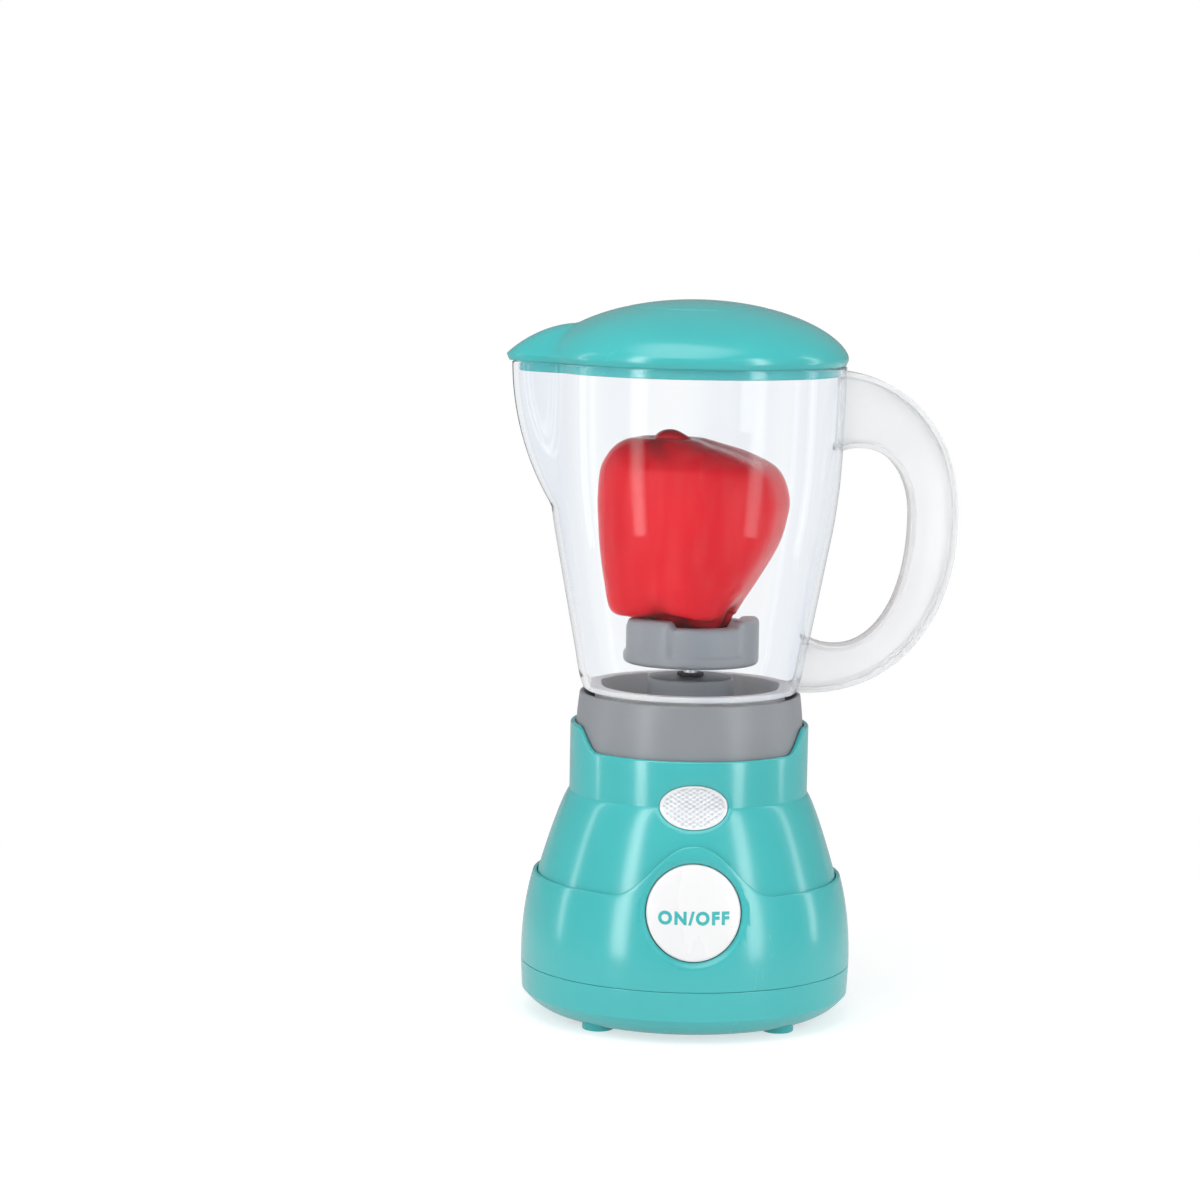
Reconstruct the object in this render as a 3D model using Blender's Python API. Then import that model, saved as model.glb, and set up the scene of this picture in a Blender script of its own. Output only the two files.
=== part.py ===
"""A toy blender: a clear lift-off jug with a lid and a play pepper, on a battery base with a gear train.

Metres, +Z up. The origin is on the floor under the middle of the base. The handle points to +X,
the spout to -X and the button to -Y.
"""

import math

import bmesh
import bpy
from mathutils import Matrix, Vector

# Driving sizes: clearances and walls
GAP = 0.0003
WALL = 0.002
NECK_WALL = 0.0017
OVERRUN = 0.004

# Driving sizes: the base, from the floor up
FOOT_HEIGHT = 0.0014
BASE_RADIUS = 0.0578
PAN_HEIGHT = 0.0173
SKIRT_HEIGHT = 0.0313
BELL_HEIGHT = 0.0289
NECK_HEIGHT = 0.016
COLLAR_RADIUS = 0.0397
COLLAR_HEIGHT = 0.0202

# Driving sizes: what stands on the base
ROTOR_RADIUS = 0.0237
ROTOR_HEIGHT = 0.0163
JUG_FOOT_RADIUS = 0.0373
JUG_TOP_RADIUS = 0.0521
JUG_HEIGHT = 0.1138
SPOUT_REACH = 0.0119
HANDLE_REACH = 0.0397
LID_RISE = 0.0197
BUTTON_RADIUS = 0.016
BUTTON_TRAVEL = 0.003
GEAR_MODULE = 0.0008

# Steps round the axis of turned pieces
SHELL_STEPS = 60
JUG_STEPS = 48
CUP_STEPS = 36
ROD_STEPS = 16
PIN_STEPS = 8

# Levels worked out from the driving sizes
UNDERSIDE = FOOT_HEIGHT
SEAM = UNDERSIDE + PAN_HEIGHT
SKIRT_TOP = SEAM + SKIRT_HEIGHT
CREASE = SKIRT_TOP + BELL_HEIGHT
NECK_TOP = CREASE + NECK_HEIGHT
DECK_DROP = 0.002
DECK_TOP = NECK_TOP - DECK_DROP
DECK_UNDER = DECK_TOP - WALL
COLLAR_BOTTOM = DECK_TOP + GAP
COLLAR_TOP = COLLAR_BOTTOM + COLLAR_HEIGHT
CUP_FLOOR_RISE = 0.0067
CUP_FLOOR = COLLAR_BOTTOM + CUP_FLOOR_RISE
BOSS_HEIGHT = 0.0192
BOSS_TOP = CUP_FLOOR + BOSS_HEIGHT
ROTOR_LIFT = 0.0049
ROTOR_BOTTOM = BOSS_TOP + ROTOR_LIFT
ROTOR_TOP = ROTOR_BOTTOM + ROTOR_HEIGHT
JUG_SEAT_RISE = 0.001
JUG_BOTTOM = COLLAR_TOP + JUG_SEAT_RISE
JUG_TOP = JUG_BOTTOM + JUG_HEIGHT
LID_SEAT = JUG_TOP + GAP

# The base's outline
SKIRT_TAPER = 0.0039
SKIRT_TAPER_SHARE = 2.3
SKIRT_PROUD = 0.0017
ARCH_HEIGHT = 0.0173
ARCH_HALF_WIDTH = 0.0277
ARCH_FULLNESS_SHARE = 1.15
BELL_CURVE_SHARE = 0.8
NECK_RADIUS = COLLAR_RADIUS + GAP + NECK_WALL
BELL_FLARE = BASE_RADIUS - SKIRT_TAPER - SKIRT_PROUD - NECK_RADIUS
BELL_OVERLAP = 0.0022
EAR_RISE = 0.008
EAR_FLAT_ANGLE = math.radians(17)
EAR_END_ANGLE = math.radians(36)
EAR_EDGE = 0.0006
SKIRT_LIP = 0.0006
SKIRT_LEVEL_SHARES = (0.4, 0.72)
BELL_LEVEL_SHARES = (0, 0.33, 0.67, 1)
BELL_PLAY = 0.0004
DECK_HOLE = 0.007

# The drive: gears, shaft and their places seen from above
OUTPUT_TEETH = 32
PINION_TEETH = 10
IDLER_TEETH = 30
SHAFT_RADIUS = 0.0024
SHAFT_BORE = SHAFT_RADIUS + GAP
IDLER_X = 0
IDLER_Y = GEAR_MODULE * (OUTPUT_TEETH + PINION_TEETH) / 2
MOTOR_X = -GEAR_MODULE * (IDLER_TEETH + PINION_TEETH) / 2
MOTOR_Y = IDLER_Y
ADDENDUM_SHARE = 0.65
DEDENDUM_SHARE = 0.95
BACKLASH_SHARE = 0.2
PRESSURE_ANGLE = math.radians(20)

COLOURS = {
    "teal": ((0.08, 0.503, 0.503, 1), 0.3, 0),
    "grey": ((0.31, 0.33, 0.35, 1), 0.35, 0),
    "clear": ((0.9, 0.93, 0.97, 0.3), 0.08, 0),
    "lens": ((0.82, 0.85, 0.88, 0.6), 0.1, 0),
    "white": ((0.9, 0.9, 0.9, 1), 0.3, 0),
    "red": ((0.78, 0.023, 0.038, 1), 0.3, 0),
    "black": ((0.03, 0.03, 0.035, 1), 0.45, 0),
    "steel": ((0.6, 0.6, 0.62, 1), 0.3, 1),
    "brass": ((0.75, 0.55, 0.25, 1), 0.35, 1),
    "board": ((0.05, 0.22, 0.1, 1), 0.5, 0),
    "cell": ((0.1, 0.12, 0.3, 1), 0.35, 0),
}


def smooth_step(share):
    """0 below 0, 1 above 1, and a smooth rise between."""
    share = min(max(share, 0), 1)
    return share * share * (3 - 2 * share)


def wave(angle):
    """Height of the skirt's top edge: level, with an arch over the button at -Y."""
    side = math.cos(angle) * (BASE_RADIUS - SKIRT_TAPER)
    share = abs(side) / ARCH_HALF_WIDTH
    if math.sin(angle) > 0 or share >= 1:
        return SKIRT_TOP
    bump = (1 + math.cos(math.pi * share**ARCH_FULLNESS_SHARE)) / 2
    return SKIRT_TOP + ARCH_HEIGHT * bump


def bell_radius(height):
    """Outer radius of the upper housing: a straight neck above the crease, a flaring bell below it."""
    drop = max(CREASE - height, 0) / BELL_HEIGHT
    return NECK_RADIUS + BELL_FLARE * drop**BELL_CURVE_SHARE


def skirt_radius(height):
    """Outer radius of the lower housing, which stands proud of the bell above the level edge."""
    if height >= SKIRT_TOP:
        return bell_radius(height) + SKIRT_PROUD
    rise = max(height - SEAM, 0) / SKIRT_HEIGHT
    return BASE_RADIUS - SKIRT_TAPER * rise**SKIRT_TAPER_SHARE


def ear_height(angle):
    """Height of the upper housing's edge: low at the front and back, with an ear on each side."""
    from_side = math.asin(min(abs(math.sin(angle)), 1))
    return NECK_TOP + EAR_RISE * smooth_step(
        (EAR_END_ANGLE - from_side) / (EAR_END_ANGLE - EAR_FLAT_ANGLE)
    )


def spread(low, high, count):
    """Evenly spaced values from low to high."""
    return [low + (high - low) * step / (count - 1) for step in range(count)]


def polar(radius, angle, height):
    return Vector((radius * math.cos(angle), radius * math.sin(angle), height))


def lofted(rings, closed=False):
    """A solid through rings of as many points each: joined end to end, or with a face at each end."""
    bm = bmesh.new()
    rows = [[bm.verts.new(point) for point in ring] for ring in rings]
    count = len(rows[0])
    for first, second in zip(rows, rows[1:] + rows[:1] if closed else rows[1:]):
        for here in range(count):
            there = (here + 1) % count
            bm.faces.new((first[here], first[there], second[there], second[here]))
    if not closed:
        bm.faces.new(rows[0])
        bm.faces.new(rows[-1])
    bmesh.ops.recalc_face_normals(bm, faces=bm.faces)
    return bm


def turned(outline_at, steps, closed=False):
    """A solid turned about Z. outline_at(angle) gives radius and height pairs, which may follow the angle."""
    angles = [2 * math.pi * step / steps for step in range(steps)]
    columns = [[polar(r, angle, z) for r, z in outline_at(angle)] for angle in angles]
    if closed:
        return lofted(columns, closed=True)
    return lofted([list(row) for row in zip(*columns)])


def lathed(outline, steps, at=(0, 0), closed=False):
    """A solid turned from one outline about the vertical line through the point at."""
    bm = turned(lambda angle: outline, steps, closed)
    bmesh.ops.translate(bm, vec=(at[0], at[1], 0), verts=bm.verts)
    return bm


def rod(radius, start, end, steps=ROD_STEPS, end_radius=None):
    """A cylinder or cone between two points."""
    start, end = Vector(start), Vector(end)
    run = end - start
    turn = run.to_track_quat("Z", "Y").to_matrix().to_4x4()
    bm = bmesh.new()
    bmesh.ops.create_cone(
        bm,
        cap_ends=True,
        segments=steps,
        radius1=radius,
        radius2=radius if end_radius is None else end_radius,
        depth=run.length,
        matrix=Matrix.Translation((start + end) / 2) @ turn,
    )
    return bm


def post(radius, x, y, low, high, steps=ROD_STEPS):
    """An upright cylinder."""
    return rod(radius, (x, y, low), (x, y, high), steps)


def block(low, high):
    """A box between two corners."""
    low, high = Vector(low), Vector(high)
    bm = bmesh.new()
    bmesh.ops.create_cube(bm, size=1)
    bmesh.ops.scale(bm, vec=high - low, verts=bm.verts)
    bmesh.ops.translate(bm, vec=(low + high) / 2, verts=bm.verts)
    return bm


def prism(outline, low, high):
    """An outline seen from above, extruded between two heights."""
    return lofted([[Vector((x, y, z)) for x, y in outline] for z in (low, high)])


def gathered(parts):
    """Several separate meshes in one."""
    whole = bmesh.new()
    for part in parts:
        mesh = bpy.data.meshes.new("part")
        part.to_mesh(mesh)
        part.free()
        whole.from_mesh(mesh)
        bpy.data.meshes.remove(mesh)
    return whole


def finish_of(colour):
    """The Principled material of that name, made once."""
    if colour in bpy.data.materials:
        return bpy.data.materials[colour]
    base, roughness, metallic = COLOURS[colour]
    material = bpy.data.materials.new(colour)
    material.use_nodes = True
    shader = material.node_tree.nodes["Principled BSDF"]
    shader.inputs["Base Color"].default_value = (*base[:3], 1)
    shader.inputs["Alpha"].default_value = base[3]
    shader.inputs["Roughness"].default_value = roughness
    shader.inputs["Metallic"].default_value = metallic
    return material


def place_of(frame):
    """Where a moving frame stands, through all the frames that carry it."""
    place = Vector((0, 0, 0))
    while frame:
        place += frame.location
        frame = frame.parent
    return place


def node(name, bm, colour, origin=(0, 0, 0), parent=None):
    """An object of this name with its origin on a joint's axis or at the part's own origin."""
    bmesh.ops.translate(bm, vec=-Vector(origin), verts=bm.verts)
    mesh = bpy.data.meshes.new(name)
    bm.to_mesh(mesh)
    bm.free()
    mesh.shade_smooth()
    mesh.set_sharp_from_angle(angle=math.radians(30))
    obj = bpy.data.objects.new(name, mesh)
    bpy.context.collection.objects.link(obj)
    mesh.materials.append(finish_of(colour))
    if parent:
        obj.parent = parent
        obj.location = Vector(origin) - place_of(parent)
    else:
        obj.location = origin
    return obj


def tool(obj, bm, operation, label):
    """Joins a hidden helper shape to an object, cuts it away, or keeps only what lies inside it."""
    helper = node(f"{obj.name}_{label}", bm, "grey")
    helper.hide_render = True
    helper.display_type = "WIRE"
    modifier = obj.modifiers.new(label, "BOOLEAN")
    modifier.operation = operation
    modifier.solver = "EXACT"
    modifier.object = helper
    return helper


def moving_frame(name, location, parent=None):
    """An empty that carries the pieces of one moving body, on its joint's axis."""
    empty = bpy.data.objects.new(name, None)
    bpy.context.collection.objects.link(empty)
    empty.location = location
    if parent:
        empty.parent = parent
        empty.location = Vector(location) - place_of(parent)
    return empty


# The pan, with its feet
PAN_FLAT_SHARE = 0.7094
PAN_FLAT_RADIUS = BASE_RADIUS * PAN_FLAT_SHARE
PAN_CORNER_RISE = 0.0072
PAN_CORNER_DRAFT = 0.0005
PAN_CORNER_CURVE_SHARE = 2.8
PAN_CORNER_SHARES = (0, 0.3, 0.55, 0.75, 0.9, 1)
FOOT_RADIUS = 0.0055
FOOT_ROOT = 0.0017
FOOT_OFFSET_SHARE = 0.53633
FOOT_OFFSET = BASE_RADIUS * FOOT_OFFSET_SHARE
FOOT_PLACES = [(side * FOOT_OFFSET, way * FOOT_OFFSET) for side in (-1, 1) for way in (-1, 1)]

# The screws that close the base, and the bosses that they run through
SCREW_RADIUS = 0.0014
SCREW_HOLE = SCREW_RADIUS + GAP
SCREW_HEAD_RADIUS = 0.0027
SCREW_HEAD_HEIGHT = 0.002
SCREW_SEAT_DROP = 0.006
SCREW_SEAT = SEAM - SCREW_SEAT_DROP
SCREW_BITE = 0.0095
PAN_BOSS_RADIUS = 0.0045
TAB_THICKNESS = 0.002
TAB_HALF_WIDTH = 0.0045
TAB_TOP = SEAM + GAP / 2 + TAB_THICKNESS
HOUSING_BOSS_RADIUS = 0.0038
HOUSING_BOSS_BOTTOM = TAB_TOP + GAP
HOUSING_BOSS_TOP_SHARE = 0.62
HOUSING_BOSS_TOP = SKIRT_TOP + BELL_HEIGHT * HOUSING_BOSS_TOP_SHARE
SCREW_TIP = HOUSING_BOSS_BOTTOM + SCREW_BITE
SCREW_WALL_ROOM = 0.0026
SCREW_ANGLE = math.radians(30)
SCREW_REACH = bell_radius(HOUSING_BOSS_TOP) - SCREW_WALL_ROOM
SCREW_X = SCREW_REACH * math.cos(SCREW_ANGLE)
SCREW_Y = SCREW_REACH * math.sin(SCREW_ANGLE)
SCREW_PLACES = [(side * SCREW_X, way * SCREW_Y) for side in (-1, 1) for way in (-1, 1)]

# The battery box: three cells side by side along X, with a door below
CELL_RADIUS = 0.0071
CELL_LENGTH = 0.05
CELL_EDGE = 0.0006
CELL_ROOM = 0.0006
CELL_PITCH = 2 * CELL_RADIUS + CELL_ROOM
CELL_NUB = 0.001
CELL_NUB_RADIUS = 0.0027
CONTACT_ROOM = 0.0036
CONTACT_THICKNESS = 0.0005
CONTACT_HALF_WIDTH = 0.0052
CONTACT_TAIL_HALF_WIDTH = 0.0016
CONTACT_TAIL = 0.003
CONTACT_LOW = 0.0012
SPRING_WIDE = 0.0042
SPRING_NARROW = 0.0028
BOX_WALL = 0.0015
BOX_HALF_LENGTH = CELL_LENGTH / 2 + CELL_NUB + CONTACT_ROOM
BOX_HALF_WIDTH = CELL_PITCH + CELL_RADIUS + CELL_ROOM
DOOR_THICKNESS = 0.0018
DOOR_LEDGE = 0.0014
DOOR_HALF_LENGTH = BOX_HALF_LENGTH + DOOR_LEDGE - GAP
DOOR_HALF_WIDTH = BOX_HALF_WIDTH + DOOR_LEDGE - GAP
DOOR_TOP = UNDERSIDE + DOOR_THICKNESS
DOOR_TONGUE = 0.008
DOOR_TONGUE_HALF_WIDTH = 0.005
DOOR_SCREW_Y = DOOR_HALF_WIDTH + DOOR_TONGUE / 2
DOOR_SCREW_RADIUS = 0.0011
DOOR_SCREW_HEAD_RADIUS = 0.0022
DOOR_SCREW_HEAD_HEIGHT = 0.0008
DOOR_SCREW_LENGTH = 0.006
DOOR_BOSS_RISE = 0.0068
CELL_HEIGHT = DOOR_TOP + GAP + CELL_RADIUS
BOX_CEILING = CELL_HEIGHT + CELL_RADIUS + CELL_ROOM
BOX_TOP = BOX_CEILING + BOX_WALL

# The collar: a grey cup with a hollow boss, which holds the jug's neck and the shaft's bush
COLLAR_TAPER = 0.0011
COLLAR_TAPER_START = 0.0107
COLLAR_WALL = 0.0016
COLLAR_EDGE = 0.0006
CUP_RADIUS = COLLAR_RADIUS - COLLAR_TAPER - COLLAR_WALL
BOSS_RADIUS = 0.0151
BOSS_EDGE = 0.001
BUSH_WALL = 0.001
BUSH_RADIUS = SHAFT_BORE + BUSH_WALL
BUSH_FLANGE = 0.001
BUSH_LENGTH = 0.008
NECK_PLAY = 0.0037
JUG_NECK_RADIUS = CUP_RADIUS - NECK_PLAY
JUG_NECK_BORE = JUG_NECK_RADIUS - WALL
RING_RADIUS = JUG_NECK_BORE - 2 * GAP
RING_WIDTH = 0.0018
RING_HEIGHT = 0.003

# The gearbox, which hangs under the deck, and the motor below it
GEAR_ROOM = 0.0009
CASE_WALL = 0.0015
CASE_SHIFT_SHARE = 0.25
CASE_X = MOTOR_X * CASE_SHIFT_SHARE
CASE_Y = IDLER_Y / 2
COVER_TOP = DECK_UNDER - GAP
COVER_BOTTOM = COVER_TOP - WALL
CASE_TOP = COVER_BOTTOM - GAP
GEAR_SPACE = 0.012
CASE_FLOOR = CASE_TOP - GEAR_SPACE
CASE_UNDER = CASE_FLOOR - WALL
GEAR_PLAY = 0.0004
BIG_IDLER_WIDTH = 0.0032
OUTPUT_GEAR_WIDTH = 0.004
OUTPUT_GEAR_LIFT = 0.0008
HUB_WALL = 0.001
MOTOR_PINION_WIDTH = 0.0038
EAR_RADIUS = 0.003
CASE_SCREW_RADIUS = 0.0012
CASE_SCREW_HEAD_RADIUS = 0.0024
CASE_SCREW_HEAD_HEIGHT = 0.0015
CASE_SCREW_BITE = 0.0042
CASE_SCREW_ANGLES = [math.radians(60), math.radians(180), math.radians(300)]
MOTOR_RADIUS = 0.01
MOTOR_FLAT = 0.0075
MOTOR_LENGTH = 0.025
MOTOR_TOP = CASE_UNDER - GAP
MOTOR_BOTTOM = MOTOR_TOP - MOTOR_LENGTH
MOTOR_NOSE_RADIUS = 0.003
MOTOR_NOSE = 0.0016
MOTOR_TAIL_RADIUS = 0.003
MOTOR_TAIL = 0.0018
MOTOR_SHAFT_RADIUS = 0.001
MOTOR_SHAFT_DEPTH = 0.005
MOTOR_WELL_DEPTH = 0.016
AXLE_RADIUS = 0.0012
AXLE_BORE = AXLE_RADIUS + GAP

# The rotor: a disc with three curved walls and a hub on the shaft
ROTOR_CHAMFER = 0.002
ROTOR_FLOOR = 0.0035
ROTOR_WALL = 0.007
ROTOR_WALL_EDGE = 0.0016
ROTOR_WALL_COUNT = 3
ROTOR_WALL_START = math.radians(-18.5)
ROTOR_WALL_FLAT_ANGLE = math.radians(17)
ROTOR_WALL_END_ANGLE = math.radians(30)
HUB_RADIUS = 0.009
HUB_HEIGHT = 0.0075
ROTOR_SCREW_RADIUS = 0.0012
ROTOR_SCREW_HEAD_RADIUS = 0.0036
ROTOR_SCREW_HEAD_HEIGHT = 0.0012
ROTOR_SCREW_LENGTH = 0.006
HUB_SEAT = ROTOR_BOTTOM + HUB_HEIGHT - ROTOR_SCREW_HEAD_HEIGHT - 2 * GAP

# The jug: its outline is given as shares of its height and of its widening
JUG_LEDGE = 0.002
JUG_FOOT_EDGE = 0.0006
JUG_SHARES = (
    (0.03, 0.08),
    (0.13, 0.23),
    (0.26, 0.42),
    (0.4, 0.62),
    (0.53, 0.8),
    (0.64, 0.9),
    (0.76, 0.955),
    (0.88, 0.985),
    (1.0, 1.0),
)
SPOUT_HEIGHT = 0.05
SPOUT_HALF_ANGLE = math.radians(25)
SPOUT_ANGLE = math.pi

# The handle: an I section between an outer and an inner curve
HANDLE_TOP_IN = 0.0061
HANDLE_FOOT_OUT = 0.0025
HANDLE_UPPER_X = JUG_TOP_RADIUS - HANDLE_TOP_IN
FINGER_UPPER_X = 0.057
FINGER_LOWER_X = 0.05
HANDLE_TOP_DROP = 0.0014
HANDLE_MIDDLE_SHARE = 0.54
HANDLE_THICKNESS = 0.0125
HANDLE_WEB = 0.0044
HANDLE_FLANGE = 0.0018
HANDLE_STATIONS = 22
HANDLE_CURVE_SHARE = 2.15
HANDLE_MIDDLE = JUG_BOTTOM + JUG_HEIGHT * HANDLE_MIDDLE_SHARE
HANDLE_WIDTH = 0.0166
FINGER_RISE = 0.0243
FINGER_DROP = 0.045
HANDLE_LOWER_X = JUG_FOOT_RADIUS + HANDLE_FOOT_OUT
HANDLE_OUTER_X = JUG_TOP_RADIUS + HANDLE_REACH
HANDLE_INNER_X = HANDLE_OUTER_X - HANDLE_WIDTH
HANDLE_ANGLES = (math.radians(92), math.radians(-95))
FINGER_ANGLES = (math.radians(116), math.radians(-118))

# The lid: a dome with a round cap, a cover over the spout and a plug in the jug's mouth
LID_OVERHANG = 0.0006
LID_RIM = 0.0022
LID_WALL = 0.0018
LID_CURVE_SHARE = 0.61
LID_PLAY = 0.0004
LID_PLUG_DEPTH = 0.0035
LID_PLUG_WALL = 0.0016
LID_COVER_START = 0.04
LID_COVER_RISE = 0.011
LID_COVER_CURVE_SHARE = 0.92
LID_COVER_SIDE_SHARE = 0.35
LID_SPOUT_OVERHANG = 0.0014
LID_SPOUT = SPOUT_REACH + LID_SPOUT_OVERHANG
LID_CAP_RADIUS = 0.0246
LID_CAP_GROOVE = 0.0005
LID_CAP_STEP = 0.0006
LID_OUTER_SHARES = (0.25, 0.5, 0.7, 0.84, 0.93, 0.975, 1.0)
LID_INNER_SHARES = (1.0, 0.92, 0.75, 0.45)
POLE_RADIUS = 0.0012
LID_RIM_TOP = LID_SEAT + LID_RIM

# The pepper: rings from its lowest lobe to its stalk, as height, left and right shares
PEPPER_ROOM = 0.0165
PEPPER_RADIUS = JUG_TOP_RADIUS - WALL - PEPPER_ROOM
PEPPER_DEPTH_SHARE = 0.92
PEPPER_SEAT = ROTOR_TOP + 2 * GAP
PEPPER_DIP = 0.0068
PEPPER_HEIGHT = 0.0643
PEPPER_DIP_SHARES = ((1.0, 0.0, 0.12), (0.9, -0.14, 0.27), (0.4, -0.33, 0.39), (0.0, -0.46, 0.44))
PEPPER_SHARES = (
    (0.014, -0.79, 0.46),
    (0.05, -0.86, 0.51),
    (0.195, -0.923, 0.693),
    (0.366, -0.97, 0.884),
    (0.5, -0.99, 0.97),
    (0.64, -1.0, 1.0),
    (0.788, -0.976, 0.884),
    (0.873, -0.893, 0.527),
    (0.93, -0.78, 0.18),
    (0.965, -0.62, 0.02),
    (0.95, -0.48, -0.05),
    (1.0, -0.38, -0.12),
)
PEPPER_STEPS = 28
PEPPER_LOBES = 4
PEPPER_LOBE_SHARE = 0.035
PEPPER_LOBE_ANGLE = math.radians(25)
PEPPER_WALL_SHARE = 0.07
PEPPER_VENT_RADIUS = 0.002

# The button and what is behind it, one behind the other along Y
BUTTON_DROP = 0.0048
BUTTON_HEIGHT = SKIRT_TOP - BUTTON_DROP
BUTTON_FRONT = -skirt_radius(BUTTON_HEIGHT)
BUTTON_PLAY = 0.00035
BUTTON_WALL = 0.0016
BUTTON_DOME = 0.0007
BUTTON_EDGE = 0.0008
BUTTON_FACE_WALL = 0.002
BUTTON_RING_SHARES = (0.4, 0.75)
STEM_RADIUS = 0.003
WELL_RADIUS = BUTTON_RADIUS + BUTTON_PLAY
WELL_WALL = 0.00125
TUBE_RADIUS = WELL_RADIUS + WELL_WALL
TUBE_LENGTH = 0.0132
TUBE_END = BUTTON_FRONT + TUBE_LENGTH
GUIDE_FRONT = TUBE_END + GAP
GUIDE_BACK = GUIDE_FRONT + WALL
GUIDE_EAR = 0.006
GUIDE_EAR_FLAT_ANGLE = math.radians(8)
GUIDE_EAR_END_ANGLE = math.radians(16)
GUIDE_SCREW_OUT = 0.0029
GUIDE_SCREW_X = TUBE_RADIUS + GUIDE_SCREW_OUT
GUIDE_BOSS_RADIUS = GUIDE_SCREW_OUT - GAP
GUIDE_SCREW_BITE = 0.0045
BUTTON_END = GUIDE_FRONT - BUTTON_TRAVEL - GAP
STEM_END = GUIDE_FRONT + WALL / 2
SPRING_RADIUS = 0.0062
SPRING_WIRE = 0.00035
SPRING_TURNS = 5
SPRING_CURL_POINTS = 9
SPRING_SIDES = 6
SPRING_FRONT = -skirt_radius(BUTTON_HEIGHT + SPRING_RADIUS) + BUTTON_FACE_WALL + SPRING_WIRE
SPRING_BACK = GUIDE_FRONT - GAP - SPRING_WIRE
PLUNGER_RADIUS = 0.0014
PLUNGER_LENGTH = 0.0054
PLUNGER_FRONT = STEM_END + GAP
SWITCH_HALF_SIDE = 0.006
SWITCH_LENGTH = 0.0084
SWITCH_SEAT_SHARE = 0.9
SWITCH_SEAT_RADIUS = SWITCH_HALF_SIDE * SWITCH_SEAT_SHARE
SWITCH_FRONT = STEM_END + BUTTON_TRAVEL + GAP
SWITCH_BACK = SWITCH_FRONT + SWITCH_LENGTH
BOARD_HALF_WIDTH = 0.013
BOARD_HALF_HEIGHT = 0.011
BOARD_THICKNESS = 0.0016
BOARD_FRONT = SWITCH_BACK + GAP

# The lamp: an oval lens in the housing's front, and a bulb in a holder behind it
LENS_RISE = 0.0005
LENS_HEIGHT = CREASE + LENS_RISE
LENS_HALF_WIDTH = 0.01165
LENS_HALF_HEIGHT = 0.00735
LENS_RECESS = 0.0005
LENS_EDGE = 0.0004
LENS_STEPS = 32
LENS_RING_SHARES = (0.08, 0.55)
LENS_FLANGE = 0.0015
LENS_FLANGE_THICKNESS = 0.0015
LENS_DEPTH = 0.0082
LENS_BACK = -(NECK_RADIUS - LENS_DEPTH)
POCKET_HALF_WIDTH = 0.009
POCKET_HALF_HEIGHT = 0.005
POCKET_DEPTH = 0.005
HOLDER_HALF_WIDTH = 0.019
HOLDER_HALF_HEIGHT = 0.0075
HOLDER_FRONT = LENS_BACK + GAP
HOLDER_BACK = HOLDER_FRONT + WALL
LAMP_SCREW_X = 0.0163
LAMP_BOSS_RADIUS = 0.0024
LAMP_SCREW_RADIUS = 0.001
LAMP_SCREW_BITE = 0.0024
BULB_RADIUS = 0.0025
BULB_LENGTH = 0.0064
BULB_FLANGE = 0.0005
BULB_FLANGE_THICKNESS = 0.0008


def pan_corner(inset=0):
    """Points of the pan's rounded corner, from the flat underside up to the wall, moved in by inset."""
    run = BASE_RADIUS - PAN_CORNER_DRAFT - PAN_FLAT_RADIUS
    return [
        (
            PAN_FLAT_RADIUS + run * share - inset * share,
            UNDERSIDE + PAN_CORNER_RISE * share**PAN_CORNER_CURVE_SHARE + inset * (1 - share),
        )
        for share in PAN_CORNER_SHARES
    ]


def stepped(radius, bore, seat, low, high):
    """Outline of a screw's hole: wide for the head up to its seat, then narrow."""
    return [(radius, low), (radius, seat), (bore, seat), (bore, high)]


def screw(name, seat, direction, length, shank, head_radius, head_height, parent=None):
    """A round-headed screw whose head lies under seat and whose shank runs along direction."""
    outline = [
        (head_radius / 2, -head_height),
        (head_radius, -head_height / 2),
        (head_radius, 0),
        (shank, 0),
        (shank, length - shank),
        (shank / 2, length),
    ]
    bm = lathed(outline, PIN_STEPS)
    turn = Vector(direction).to_track_quat("Z", "Y").to_matrix()
    bmesh.ops.rotate(bm, matrix=turn, verts=bm.verts)
    bmesh.ops.translate(bm, vec=seat, verts=bm.verts)
    return node(name, bm, "steel", seat, parent)


def trimmed(obj, parts, core, label):
    """Joins inner bosses and ribs to a shell, cut off at the middle of its wall."""
    helper = tool(obj, gathered(parts), "UNION", label)
    tool(helper, core, "INTERSECT", "core")


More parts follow.
